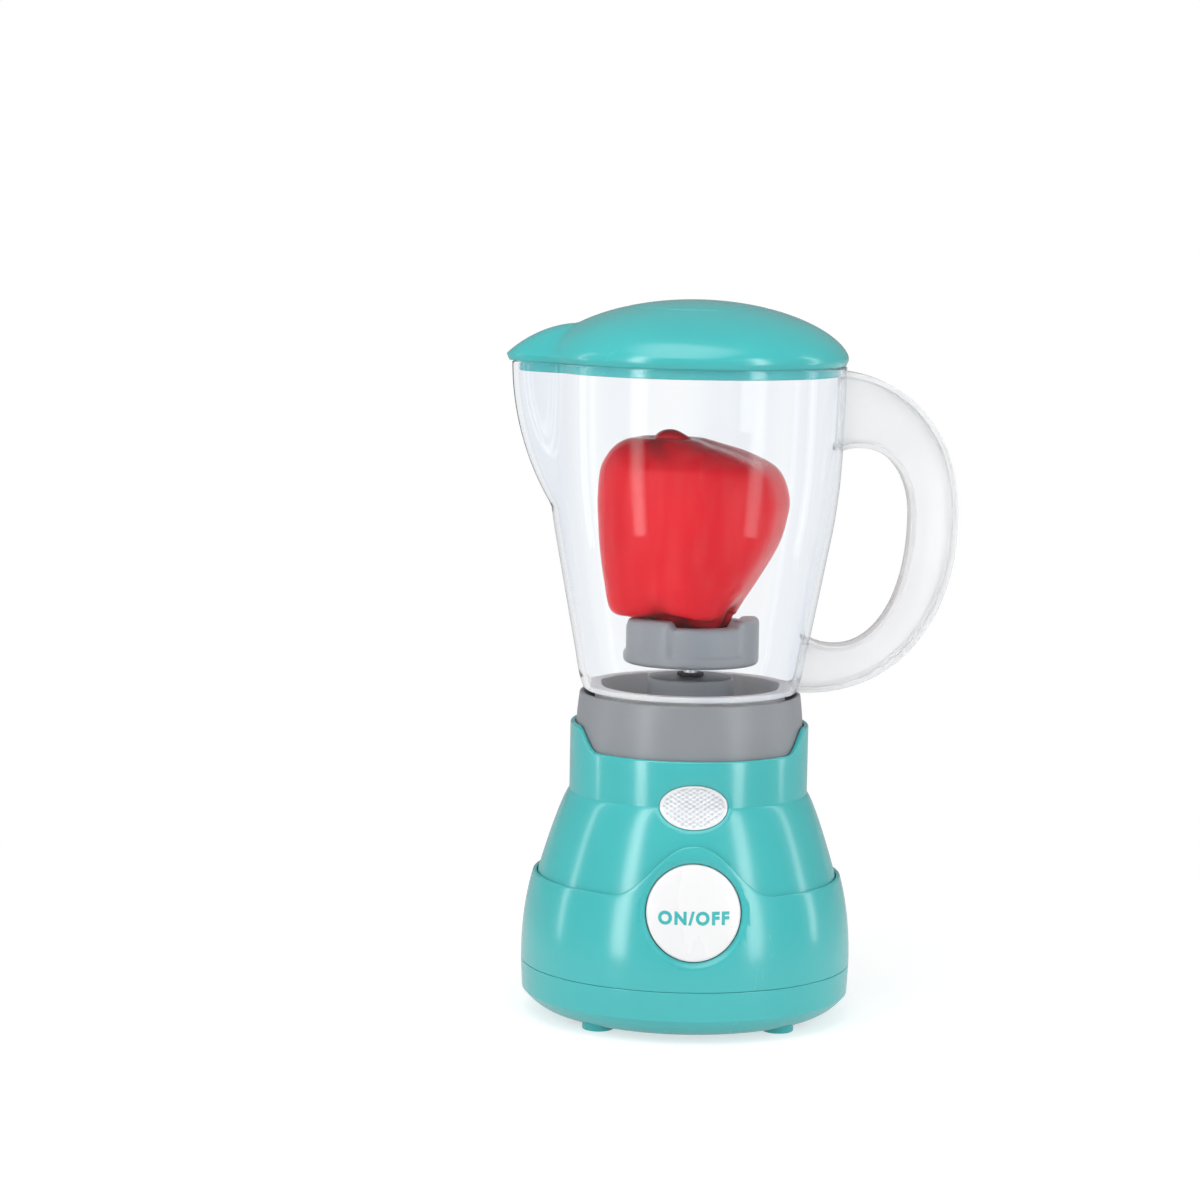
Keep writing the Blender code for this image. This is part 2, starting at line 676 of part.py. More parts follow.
def base_pan():
    """The bottom tray with its feet, screw bosses and battery box."""
    top = SEAM - GAP / 2
    outline = pan_corner() + [(BASE_RADIUS, top), (BASE_RADIUS - WALL, top)]
    pan = node("base_pan", lathed(outline + pan_corner(WALL)[::-1], CUP_STEPS), "teal")
    box_x = BOX_HALF_LENGTH + DOOR_LEDGE + BOX_WALL
    box_y = BOX_HALF_WIDTH + DOOR_LEDGE + BOX_WALL
    root = UNDERSIDE + WALL / 2
    tool(pan, block((-box_x, -box_y, root), (box_x, box_y, BOX_TOP)), "UNION", "battery_box")
    boss_x = DOOR_TONGUE_HALF_WIDTH + BOX_WALL
    boss_y = DOOR_HALF_WIDTH + DOOR_TONGUE + GAP + BOX_WALL
    boss_top = DOOR_TOP + DOOR_BOSS_RISE
    bosses = [block((-boss_x, box_y - BOX_WALL, root), (boss_x, boss_y, boss_top))]
    bosses += [post(FOOT_RADIUS, x, y, 0, UNDERSIDE + FOOT_ROOT) for x, y in FOOT_PLACES]
    bosses += [post(PAN_BOSS_RADIUS, x, y, root, top) for x, y in SCREW_PLACES]
    tool(pan, gathered(bosses), "UNION", "bosses")
    tool(pan, prism(door_outline(GAP), -OVERRUN, DOOR_TOP + GAP), "DIFFERENCE", "door_recess")
    head = SCREW_HEAD_RADIUS + GAP
    hole = stepped(head, SCREW_HOLE, SCREW_SEAT + GAP, -OVERRUN, SEAM + OVERRUN)
    cuts = [lathed(hole, ROD_STEPS, place) for place in SCREW_PLACES]
    cuts.append(
        post(
            DOOR_SCREW_RADIUS + GAP,
            0,
            DOOR_SCREW_Y,
            -OVERRUN,
            DOOR_TOP + DOOR_SCREW_LENGTH,
            PIN_STEPS,
        )
    )
    cuts.append(
        block(
            (-BOX_HALF_LENGTH, -BOX_HALF_WIDTH, -OVERRUN),
            (BOX_HALF_LENGTH, BOX_HALF_WIDTH, BOX_CEILING),
        )
    )
    tool(pan, gathered(cuts), "DIFFERENCE", "holes")
    slots = []
    for side, cell in ((1, 1), (-1, -1)):
        far = side * BOX_HALF_LENGTH
        near = far - side * (CONTACT_THICKNESS + 2 * GAP)
        y = cell * CELL_PITCH
        half = CONTACT_TAIL_HALF_WIDTH + GAP
        low = (min(near, far), y - half, BOX_CEILING - BOX_WALL)
        slots.append(block(low, (max(near, far), y + half, BOX_TOP + OVERRUN)))
    tool(pan, gathered(slots), "DIFFERENCE", "contact_slots")
    return pan


def door_outline(room=0):
    """The door seen from above: a rectangle with a tongue for its screw, wider all round by room."""
    x, y = DOOR_HALF_LENGTH + room, DOOR_HALF_WIDTH + room
    tongue_x, tongue_y = DOOR_TONGUE_HALF_WIDTH + room, DOOR_HALF_WIDTH + DOOR_TONGUE + room
    return [
        (-x, -y),
        (x, -y),
        (x, y),
        (tongue_x, y),
        (tongue_x, tongue_y),
        (-tongue_x, tongue_y),
        (-tongue_x, y),
        (-x, y),
    ]


def battery_door(frame):
    """The flat door of the battery box, with its captive screw."""
    door = node(
        "battery_door",
        prism(door_outline(), UNDERSIDE, DOOR_TOP),
        "teal",
        (0, 0, UNDERSIDE),
        frame,
    )
    seat = UNDERSIDE + DOOR_SCREW_HEAD_HEIGHT + GAP
    hole = stepped(
        DOOR_SCREW_HEAD_RADIUS + GAP,
        DOOR_SCREW_RADIUS + GAP,
        seat + GAP / 2,
        -OVERRUN,
        DOOR_TOP + OVERRUN,
    )
    tool(door, lathed(hole, ROD_STEPS, (0, DOOR_SCREW_Y)), "DIFFERENCE", "screw_hole")
    screw(
        "battery_door_screw",
        (0, DOOR_SCREW_Y, seat),
        (0, 0, 1),
        DOOR_SCREW_LENGTH,
        DOOR_SCREW_RADIUS,
        DOOR_SCREW_HEAD_RADIUS,
        DOOR_SCREW_HEAD_HEIGHT,
        frame,
    )


def battery_cells():
    """Three round cells along X, the middle one the other way round."""
    half = CELL_LENGTH / 2
    outline = [
        (CELL_RADIUS - CELL_EDGE, -half),
        (CELL_RADIUS, -half + CELL_EDGE),
        (CELL_RADIUS, half - CELL_EDGE),
        (CELL_RADIUS - CELL_EDGE, half),
        (CELL_NUB_RADIUS, half),
        (CELL_NUB_RADIUS, half + CELL_NUB),
    ]
    for number, (row, way) in enumerate(((-1, 1), (0, -1), (1, 1)), 1):
        bm = lathed(outline, ROD_STEPS)
        bmesh.ops.rotate(bm, matrix=Matrix.Rotation(way * math.pi / 2, 3, "Y"), verts=bm.verts)
        place = (0, row * CELL_PITCH, CELL_HEIGHT)
        bmesh.ops.translate(bm, vec=place, verts=bm.verts)
        node(f"battery_cell_{number}", bm, "cell", place)


def battery_contact(name, side, plus_row=None, minus_row=None, tail=False):
    """A sprung plate at one end of the cells: a dimple meets a nub, and a cone meets a flat end."""
    far = side * (BOX_HALF_LENGTH - GAP)
    near = far - side * CONTACT_THICKNESS
    rows = [row for row in (plus_row, minus_row) if row is not None]
    low = (min(near, far), min(rows) * CELL_PITCH - CONTACT_HALF_WIDTH, DOOR_TOP + CONTACT_LOW)
    high = (max(near, far), max(rows) * CELL_PITCH + CONTACT_HALF_WIDTH, BOX_CEILING - GAP)
    contact = node(name, block(low, high), "steel", ((near + far) / 2, 0, CELL_HEIGHT))
    middle = (near + far) / 2
    parts = []
    if minus_row is not None:
        y = minus_row * CELL_PITCH
        tip = side * (CELL_LENGTH / 2 + GAP)
        parts.append(
            rod(SPRING_WIDE, (middle, y, CELL_HEIGHT), (tip, y, CELL_HEIGHT), PIN_STEPS, SPRING_NARROW)
        )
    if plus_row is not None:
        y = plus_row * CELL_PITCH
        tip = side * (CELL_LENGTH / 2 + CELL_NUB + GAP)
        parts.append(rod(SPRING_NARROW, (middle, y, CELL_HEIGHT), (tip, y, CELL_HEIGHT), PIN_STEPS))
    tool(contact, gathered(parts), "UNION", "contact_points")
    if tail:
        y = rows[0] * CELL_PITCH
        half = CONTACT_TAIL_HALF_WIDTH
        strip = block(
            (low[0], y - half, CELL_HEIGHT),
            (high[0], y + half, BOX_TOP + CONTACT_TAIL),
        )
        tool(contact, strip, "UNION", "tail")


def skirt_outline(angle):
    """Section of the lower housing: outside, wavy lip, and inside with a step for the bell's edge."""
    low = SEAM + GAP / 2
    top = wave(angle)
    step = top - BELL_OVERLAP - GAP
    first = low + (SKIRT_TOP - low) * SKIRT_LEVEL_SHARES[0]
    second = low + (SKIRT_TOP - low) * SKIRT_LEVEL_SHARES[1]
    return [
        (skirt_radius(low), low),
        (skirt_radius(first), first),
        (skirt_radius(second), second),
        (skirt_radius(step), step),
        (skirt_radius(top - SKIRT_LIP), top - SKIRT_LIP),
        (skirt_radius(top) - SKIRT_LIP, top),
        (bell_radius(top) + BELL_PLAY, top - SKIRT_LIP / 2),
        (bell_radius(step) + BELL_PLAY, step),
        (skirt_radius(step - SKIRT_LIP) - WALL, step - SKIRT_LIP),
        (skirt_radius(second) - WALL, second),
        (skirt_radius(low) - WALL, low),
    ]


def skirt_core():
    """A solid out to the middle of the lower housing's wall."""
    levels = spread(SEAM, SKIRT_TOP + ARCH_HEIGHT, len(SKIRT_LEVEL_SHARES) * 4)
    return lathed([(skirt_radius(z) - WALL / 2, z) for z in levels], CUP_STEPS)


def lower_housing():
    """The proud skirt round the base, with the button's tube and the screw tabs."""
    skirt = node("lower_housing", turned(skirt_outline, SHELL_STEPS, closed=True), "teal")
    low = SEAM + GAP / 2
    parts = []
    for x, y in SCREW_PLACES:
        side = math.copysign(1, x)
        inner, outer = x - side * TAB_HALF_WIDTH, side * BASE_RADIUS
        parts.append(
            block(
                (min(inner, outer), y - TAB_HALF_WIDTH, low),
                (max(inner, outer), y + TAB_HALF_WIDTH, TAB_TOP),
            )
        )
    parts.append(
        rod(TUBE_RADIUS, (0, -BASE_RADIUS, BUTTON_HEIGHT), (0, TUBE_END, BUTTON_HEIGHT), CUP_STEPS)
    )
    for side in (-1, 1):
        x = side * GUIDE_SCREW_X
        parts.append(
            rod(
                GUIDE_BOSS_RADIUS,
                (x, -BASE_RADIUS, BUTTON_HEIGHT),
                (x, TUBE_END, BUTTON_HEIGHT),
                PIN_STEPS,
            )
        )
    trimmed(skirt, parts, skirt_core(), "bosses")
    front = -BASE_RADIUS - OVERRUN
    cuts = [
        rod(
            WELL_RADIUS,
            (0, front, BUTTON_HEIGHT),
            (0, TUBE_END + OVERRUN, BUTTON_HEIGHT),
            CUP_STEPS,
        )
    ]
    cuts += [post(SCREW_HOLE, x, y, SEAM - OVERRUN, TAB_TOP + OVERRUN, PIN_STEPS) for x, y in SCREW_PLACES]
    for side in (-1, 1):
        x = side * GUIDE_SCREW_X
        cuts.append(
            rod(
                DOOR_SCREW_RADIUS + GAP,
                (x, TUBE_END - GUIDE_SCREW_BITE - GAP, BUTTON_HEIGHT),
                (x, TUBE_END + OVERRUN, BUTTON_HEIGHT),
                PIN_STEPS,
            )
        )
    tool(skirt, gathered(cuts), "DIFFERENCE", "holes")


def bell_outline(angle):
    """Section of the upper housing: the bell, the neck with its ears, and the deck inside."""
    edge = wave(angle)
    top = ear_height(angle)
    bore = COLLAR_RADIUS + GAP
    levels = [edge - BELL_OVERLAP] + [edge + (CREASE - edge) * share for share in BELL_LEVEL_SHARES]
    outside = [(bell_radius(z), z) for z in levels]
    inside = [(bell_radius(z) - NECK_WALL, z) for z in levels]
    rim = [
        (NECK_RADIUS, DECK_UNDER),
        (NECK_RADIUS, top - EAR_EDGE),
        (NECK_RADIUS - EAR_EDGE, top),
        (bore, top),
        (bore, DECK_TOP),
        (DECK_HOLE, DECK_TOP),
        (DECK_HOLE, DECK_UNDER),
        (NECK_RADIUS - NECK_WALL, DECK_UNDER),
    ]
    return outside + rim + inside[::-1]


def bell_core():
    """A solid out to the middle of the upper housing's wall."""
    levels = spread(SEAM, DECK_UNDER, CUP_STEPS // 2)
    return lathed([(bell_radius(z) - NECK_WALL / 2, z) for z in levels], CUP_STEPS)


def lens_ring(share, y_at, half_width=LENS_HALF_WIDTH, half_height=LENS_HALF_HEIGHT):
    """An oval ring round the lens's middle. y_at gives its depth, as a number or from x and z."""
    ring = []
    for step in range(LENS_STEPS):
        turn = 2 * math.pi * step / LENS_STEPS
        x = share * half_width * math.cos(turn)
        z = LENS_HEIGHT + share * half_height * math.sin(turn)
        ring.append(Vector((x, y_at(x, z) if callable(y_at) else y_at, z)))
    return ring


def upper_housing():
    """The bell-shaped shell with the neck, the two ears and the deck that carries the drive."""
    bell = node("upper_housing", turned(bell_outline, SHELL_STEPS, closed=True), "teal")
    parts = [
        post(HOUSING_BOSS_RADIUS, x, y, HOUSING_BOSS_BOTTOM, HOUSING_BOSS_TOP, PIN_STEPS)
        for x, y in SCREW_PLACES
    ]
    for side in (-1, 1):
        x = side * LAMP_SCREW_X
        parts.append(
            rod(LAMP_BOSS_RADIUS, (x, -NECK_RADIUS, LENS_HEIGHT), (x, LENS_BACK, LENS_HEIGHT), PIN_STEPS)
        )
    trimmed(bell, parts, bell_core(), "bosses")
    hole_width, hole_height = LENS_HALF_WIDTH + GAP, LENS_HALF_HEIGHT + GAP
    ends = (-BASE_RADIUS, LENS_BACK - LENS_FLANGE_THICKNESS)
    cuts = [lofted([lens_ring(1, y, hole_width, hole_height) for y in ends])]
    cuts += [
        post(SCREW_HOLE, x, y, SEAM, SCREW_TIP + GAP, PIN_STEPS)
        for x, y in SCREW_PLACES
    ]
    cuts += [
        post(CASE_SCREW_RADIUS + GAP, x, y, DECK_UNDER - OVERRUN, DECK_TOP + OVERRUN, PIN_STEPS)
        for x, y in case_screw_places()
    ]
    for side in (-1, 1):
        x = side * LAMP_SCREW_X
        cuts.append(
            rod(
                LAMP_SCREW_RADIUS + GAP,
                (x, LENS_BACK - LAMP_SCREW_BITE - GAP, LENS_HEIGHT),
                (x, LENS_BACK + OVERRUN, LENS_HEIGHT),
                PIN_STEPS,
            )
        )
    tool(bell, gathered(cuts), "DIFFERENCE", "holes")


def collar():
    """The grey cup on the deck."""
    rim = COLLAR_RADIUS - COLLAR_TAPER
    under = CUP_FLOOR - WALL
    bush_hole = BUSH_RADIUS + GAP
    outline = [
        (COLLAR_RADIUS, COLLAR_BOTTOM),
        (COLLAR_RADIUS, COLLAR_BOTTOM + COLLAR_TAPER_START),
        (rim, COLLAR_TOP - COLLAR_EDGE),
        (rim - COLLAR_EDGE, COLLAR_TOP),
        (CUP_RADIUS, COLLAR_TOP),
        (CUP_RADIUS, CUP_FLOOR),
        (RING_RADIUS, CUP_FLOOR),
        (RING_RADIUS, CUP_FLOOR + RING_HEIGHT),
        (RING_RADIUS - RING_WIDTH, CUP_FLOOR + RING_HEIGHT),
        (RING_RADIUS - RING_WIDTH, CUP_FLOOR),
        (BOSS_RADIUS, CUP_FLOOR),
        (BOSS_RADIUS, BOSS_TOP - BOSS_EDGE),
        (BOSS_RADIUS - BOSS_EDGE, BOSS_TOP),
        (bush_hole, BOSS_TOP),
        (bush_hole, BOSS_TOP - WALL),
        (BOSS_RADIUS - WALL, BOSS_TOP - WALL),
        (BOSS_RADIUS - WALL, under),
        (COLLAR_RADIUS - WALL, under),
        (COLLAR_RADIUS - WALL, COLLAR_BOTTOM),
    ]
    cup = node("collar", lathed(outline, CUP_STEPS, closed=True), "grey", (0, 0, COLLAR_BOTTOM))
    places = case_screw_places()
    posts = [post(EAR_RADIUS, x, y, COLLAR_BOTTOM, CUP_FLOOR - WALL / 2) for x, y in places]
    tool(cup, gathered(posts), "UNION", "bosses")
    tip = COLLAR_BOTTOM + CASE_SCREW_BITE + GAP
    holes = [
        post(CASE_SCREW_RADIUS + GAP, x, y, COLLAR_BOTTOM - OVERRUN, tip, PIN_STEPS)
        for x, y in places
    ]
    tool(cup, gathered(holes), "DIFFERENCE", "holes")


def shaft_bush():
    """The flanged bush in the collar's boss."""
    seat = BOSS_TOP + GAP
    outline = [
        (BUSH_RADIUS + BUSH_FLANGE, seat),
        (BUSH_RADIUS + BUSH_FLANGE, seat + BUSH_FLANGE),
        (SHAFT_BORE, seat + BUSH_FLANGE),
        (SHAFT_BORE, seat - BUSH_LENGTH),
        (BUSH_RADIUS, seat - BUSH_LENGTH),
        (BUSH_RADIUS, seat),
    ]
    node("shaft_bush", lathed(outline, ROD_STEPS, closed=True), "black", (0, 0, seat))


def case_radius():
    """Inner radius of the gearbox, round all three gears."""
    tip = GEAR_MODULE * ADDENDUM_SHARE
    gears = (
        (0, 0, OUTPUT_TEETH),
        (IDLER_X, IDLER_Y, IDLER_TEETH),
        (MOTOR_X, MOTOR_Y, PINION_TEETH),
    )
    reaches = [
        math.hypot(x - CASE_X, y - CASE_Y) + GEAR_MODULE * teeth / 2 + tip for x, y, teeth in gears
    ]
    return max(reaches) + GEAR_ROOM


def case_screw_places():
    """The three ears of the gearbox, seen from above."""
    reach = case_radius() + CASE_WALL + EAR_RADIUS / 2
    return [
        (CASE_X + reach * math.cos(angle), CASE_Y + reach * math.sin(angle))
        for angle in CASE_SCREW_ANGLES
    ]


def gearbox_case():
    """The round cup that holds the gears, with three ears and a well for the motor."""
    outer = case_radius() + CASE_WALL
    case = node(
        "gearbox_case",
        post(outer, CASE_X, CASE_Y, CASE_UNDER, CASE_TOP, CUP_STEPS),
        "white",
        (CASE_X, CASE_Y, CASE_UNDER),
    )
    well = MOTOR_RADIUS + GAP
    parts = [post(EAR_RADIUS, x, y, CASE_UNDER, CASE_TOP) for x, y in case_screw_places()]
    low = MOTOR_TOP - MOTOR_WELL_DEPTH
    parts.append(post(well + CASE_WALL, MOTOR_X, MOTOR_Y, low, CASE_UNDER + WALL / 2))
    tool(case, gathered(parts), "UNION", "ears")
    hollows = [
        post(case_radius(), CASE_X, CASE_Y, CASE_FLOOR, CASE_TOP + OVERRUN, CUP_STEPS),
        post(well, MOTOR_X, MOTOR_Y, low - OVERRUN, CASE_UNDER),
    ]
    tool(case, gathered(hollows), "DIFFERENCE", "hollows")
    low, high = CASE_UNDER - OVERRUN, CASE_TOP + OVERRUN
    holes = [
        post(MOTOR_NOSE_RADIUS + GAP, MOTOR_X, MOTOR_Y, low, high),
        post(SHAFT_BORE, 0, 0, low, high),
        post(AXLE_BORE, IDLER_X, IDLER_Y, low, high, PIN_STEPS),
    ]
    holes += [
        post(CASE_SCREW_RADIUS + GAP, x, y, low, high, PIN_STEPS) for x, y in case_screw_places()
    ]
    tool(case, gathered(holes), "DIFFERENCE", "holes")


def gearbox_cover():
    """The plate over the gears, between the case and the deck."""
    outer = case_radius() + CASE_WALL
    cover = node(
        "gearbox_cover",
        post(outer, CASE_X, CASE_Y, COVER_BOTTOM, COVER_TOP, CUP_STEPS),
        "white",
        (CASE_X, CASE_Y, COVER_BOTTOM),
    )
    parts = [post(EAR_RADIUS, x, y, COVER_BOTTOM, COVER_TOP) for x, y in case_screw_places()]
    tool(cover, gathered(parts), "UNION", "ears")
    low, high = COVER_BOTTOM - OVERRUN, COVER_TOP + OVERRUN
    holes = [post(SHAFT_BORE, 0, 0, low, high), post(AXLE_BORE, IDLER_X, IDLER_Y, low, high, PIN_STEPS)]
    holes += [
        post(CASE_SCREW_RADIUS + GAP, x, y, low, high, PIN_STEPS) for x, y in case_screw_places()
    ]
    tool(cover, gathered(holes), "DIFFERENCE", "holes")


def gear_outline(teeth, phase, x, y):
    """An involute gear seen from above, with the middle of one tooth at the angle phase."""
    pitch = GEAR_MODULE * teeth / 2
    base = pitch * math.cos(PRESSURE_ANGLE)
    tip = pitch + GEAR_MODULE * ADDENDUM_SHARE
    root = pitch - GEAR_MODULE * DEDENDUM_SHARE

    def involute(radius):
        turn = math.acos(min(base / radius, 1))
        return math.tan(turn) - turn

    half = (math.pi / 2 - BACKLASH_SHARE / 2) / teeth + involute(pitch)
    flank = [(max(root, base), half)]
    flank += [(radius, half - involute(radius)) for radius in (pitch, tip)]
    if root < base:
        flank.insert(0, (root, half))
    points = []
    for tooth in range(teeth):
        middle = phase + 2 * math.pi * tooth / teeth
        points += [(radius, middle - lean) for radius, lean in flank]
        points += [(radius, middle + lean) for radius, lean in reversed(flank)]
    return [(x + r * math.cos(a), y + r * math.sin(a)) for r, a in points]


def gears(output_frame, idler_frame, motor_frame):
    """The motor's pinion, the idler's two gears in one piece, and the output gear, all in mesh."""
    low = CASE_FLOOR + GEAR_PLAY
    high = CASE_TOP
    idler_top = low + BIG_IDLER_WIDTH
    toward_idler = math.pi / 2
    toward_motor = math.pi
    output_low = idler_top + OUTPUT_GEAR_LIFT
    outline = gear_outline(OUTPUT_TEETH, toward_idler, 0, 0)
    output = node(
        "output_gear",
        prism(outline, output_low, output_low + OUTPUT_GEAR_WIDTH),
        "white",
        (0, 0, output_low),
        output_frame,
    )
    tool(output, post(SHAFT_BORE + HUB_WALL, 0, 0, low, high), "UNION", "hub")
    tool(output, post(SHAFT_BORE, 0, 0, low - OVERRUN, high + OVERRUN), "DIFFERENCE", "bore")

    outline = gear_outline(IDLER_TEETH, toward_motor, IDLER_X, IDLER_Y)
    idler = node(
        "idler_gear", prism(outline, low, idler_top), "white", (IDLER_X, IDLER_Y, low), idler_frame
    )
    half_pitch = math.pi / PINION_TEETH
    outline = gear_outline(PINION_TEETH, toward_idler + math.pi + half_pitch, IDLER_X, IDLER_Y)
    tool(idler, prism(outline, low + GEAR_PLAY, high), "UNION", "pinion")
    bore = post(AXLE_BORE, IDLER_X, IDLER_Y, low - OVERRUN, high + OVERRUN, PIN_STEPS)
    tool(idler, bore, "DIFFERENCE", "bore")

    outline = gear_outline(PINION_TEETH, toward_motor + math.pi + half_pitch, MOTOR_X, MOTOR_Y)
    pinion = node(
        "motor_pinion",
        prism(outline, low, low + MOTOR_PINION_WIDTH),
        "brass",
        (MOTOR_X, MOTOR_Y, low),
        motor_frame,
    )
    bore = post(MOTOR_SHAFT_RADIUS + GAP, MOTOR_X, MOTOR_Y, low - OVERRUN, high + OVERRUN, PIN_STEPS)
    tool(pinion, bore, "DIFFERENCE", "bore")


def motor(motor_frame):
    """The flat-sided can motor under the gearbox, with its shaft."""
    outline = []
    for step in range(ROD_STEPS * 2):
        turn = math.pi * step / ROD_STEPS
        y = max(-MOTOR_FLAT, min(MOTOR_FLAT, MOTOR_RADIUS * math.sin(turn)))
        outline.append((MOTOR_X + MOTOR_RADIUS * math.cos(turn), MOTOR_Y + y))
    can = node(
        "motor", prism(outline, MOTOR_BOTTOM, MOTOR_TOP), "steel", (MOTOR_X, MOTOR_Y, MOTOR_TOP)
    )
    ends = [
        post(MOTOR_NOSE_RADIUS, MOTOR_X, MOTOR_Y, MOTOR_TOP - WALL, MOTOR_TOP + MOTOR_NOSE),
        post(MOTOR_TAIL_RADIUS, MOTOR_X, MOTOR_Y, MOTOR_BOTTOM - MOTOR_TAIL, MOTOR_BOTTOM + WALL),
    ]
    tool(can, gathered(ends), "UNION", "ends")
    low = MOTOR_TOP - MOTOR_SHAFT_DEPTH
    bore = post(MOTOR_SHAFT_RADIUS + GAP, MOTOR_X, MOTOR_Y, low, CASE_TOP, PIN_STEPS)
    tool(can, bore, "DIFFERENCE", "bore")
    high = CASE_FLOOR + 2 * GEAR_PLAY + MOTOR_PINION_WIDTH
    node(
        "motor_shaft",
        post(MOTOR_SHAFT_RADIUS, MOTOR_X, MOTOR_Y, low + GAP, high, PIN_STEPS),
        "steel",
        (MOTOR_X, MOTOR_Y, MOTOR_TOP),
        motor_frame,
    )


def shafts(output_frame):
    """The long output shaft with a hole for the rotor's screw, and the idler's fixed axle."""
    low = CASE_UNDER + GAP
    bore = ROTOR_SCREW_RADIUS + GAP
    top = HUB_SEAT - GAP
    outline = [
        (SHAFT_RADIUS, low),
        (SHAFT_RADIUS, top),
        (bore, top),
        (bore, top - ROTOR_SCREW_LENGTH - GAP),
    ]
    node("output_shaft", lathed(outline, ROD_STEPS), "black", (0, 0, low), output_frame)
    high = COVER_TOP - GAP
    node(
        "idler_axle",
        post(AXLE_RADIUS, IDLER_X, IDLER_Y, low, high, PIN_STEPS),
        "steel",
        (IDLER_X, IDLER_Y, low),
    )


def rotor_outline(angle):
    """Section of the rotor: disc, hub, and a wall whose height follows the angle."""
    spacing = 2 * math.pi / ROTOR_WALL_COUNT
    off = abs((angle - ROTOR_WALL_START + spacing / 2) % spacing - spacing / 2)
    rise = smooth_step((ROTOR_WALL_END_ANGLE - off) / (ROTOR_WALL_END_ANGLE - ROTOR_WALL_FLAT_ANGLE))
    floor = ROTOR_BOTTOM + ROTOR_FLOOR
    low_wall = floor + ROTOR_WALL_EDGE + GAP
    top = low_wall + (ROTOR_TOP - low_wall) * rise
    inner = ROTOR_RADIUS - ROTOR_WALL
    head = ROTOR_SCREW_HEAD_RADIUS + GAP
    hub_top = ROTOR_BOTTOM + HUB_HEIGHT
    return [
        (SHAFT_BORE, ROTOR_BOTTOM),
        (ROTOR_RADIUS - ROTOR_CHAMFER, ROTOR_BOTTOM),
        (ROTOR_RADIUS, ROTOR_BOTTOM + ROTOR_CHAMFER),
        (ROTOR_RADIUS, top - ROTOR_WALL_EDGE),
        (ROTOR_RADIUS - ROTOR_WALL_EDGE, top),
        (inner + ROTOR_WALL_EDGE, top),
        (inner, top - ROTOR_WALL_EDGE),
        (inner, floor),
        (HUB_RADIUS, floor),
        (HUB_RADIUS, hub_top),
        (head, hub_top),
        (head, HUB_SEAT),
        (SHAFT_BORE, HUB_SEAT),
    ]


def rotor(frame):
    """The grey rotor, and the screw that holds it on the shaft."""
    bm = turned(rotor_outline, CUP_STEPS, closed=True)
    node("rotor", bm, "grey", (0, 0, ROTOR_BOTTOM), frame)
    screw(
        "rotor_screw",
        (0, 0, HUB_SEAT + GAP),
        (0, 0, -1),
        ROTOR_SCREW_LENGTH,
        ROTOR_SCREW_RADIUS,
        ROTOR_SCREW_HEAD_RADIUS,
        ROTOR_SCREW_HEAD_HEIGHT,
        frame,
    )


def spout_shape(angle):
    """1 at the middle of the spout, falling smoothly to 0 at its sides."""
    off = abs((angle - SPOUT_ANGLE + math.pi) % (2 * math.pi) - math.pi)
    if off >= SPOUT_HALF_ANGLE:
        return 0
    return math.cos(math.pi / 2 * off / SPOUT_HALF_ANGLE) ** 2


def jug_radius(height_share, widening_share, angle, inset=0):
    """Radius of the jug's wall, with the spout drawn out near the top."""
    radius = JUG_FOOT_RADIUS + (JUG_TOP_RADIUS - JUG_FOOT_RADIUS) * widening_share - inset
    below = JUG_HEIGHT * (1 - height_share)
    rise = min(max(1 - below / SPOUT_HEIGHT, 0), 1)
    return radius + SPOUT_REACH * (1 - (1 - rise) ** 2) * spout_shape(angle)


def jug_outside(angle):
    """Outline of the jug, filled solid: neck, foot and wall."""
    neck = CUP_FLOOR + GAP
    outline = [
        (JUG_NECK_RADIUS, neck),
        (JUG_NECK_RADIUS, JUG_BOTTOM),
        (JUG_FOOT_RADIUS - JUG_FOOT_EDGE, JUG_BOTTOM),
        (JUG_FOOT_RADIUS, JUG_BOTTOM + JUG_FOOT_EDGE),
    ]
    outline += [
        (jug_radius(up, out, angle), JUG_BOTTOM + JUG_HEIGHT * up) for up, out in JUG_SHARES
    ]
    return outline


def jug_hollow(angle):
    """Outline of what is cut out of the jug: from below the neck to above the rim."""
    floor = JUG_BOTTOM + JUG_LEDGE
    outline = [
        (JUG_NECK_BORE, CUP_FLOOR - OVERRUN),
        (JUG_NECK_BORE, floor),
        (JUG_FOOT_RADIUS - WALL, floor),
    ]
    outline += [
        (jug_radius(up, out, angle, WALL), JUG_BOTTOM + JUG_HEIGHT * up) for up, out in JUG_SHARES
    ]
    outline.append((jug_radius(1, 1, angle, WALL), JUG_TOP + OVERRUN))
    return outline


def squared_turn(turn, wide, tall, share):
    """A point on a rounded, slightly squared curve."""
    across, up = math.cos(turn), math.sin(turn)
    return (
        math.copysign(wide * abs(across) ** (2 / share), across),
        math.copysign(tall * abs(up) ** (2 / share), up),
    )


def handle_point(turn, upper_x, lower_x, far_x, rise, drop, share):
    """A point of one of the handle's edges in the XZ plane, from its own turn about the middle."""
    centre = upper_x if math.sin(turn) > 0 else lower_x
    tall = rise if math.sin(turn) > 0 else drop
    x, z = squared_turn(turn, far_x - centre, tall, share)
    return Vector((centre + x, 0, HANDLE_MIDDLE + z))


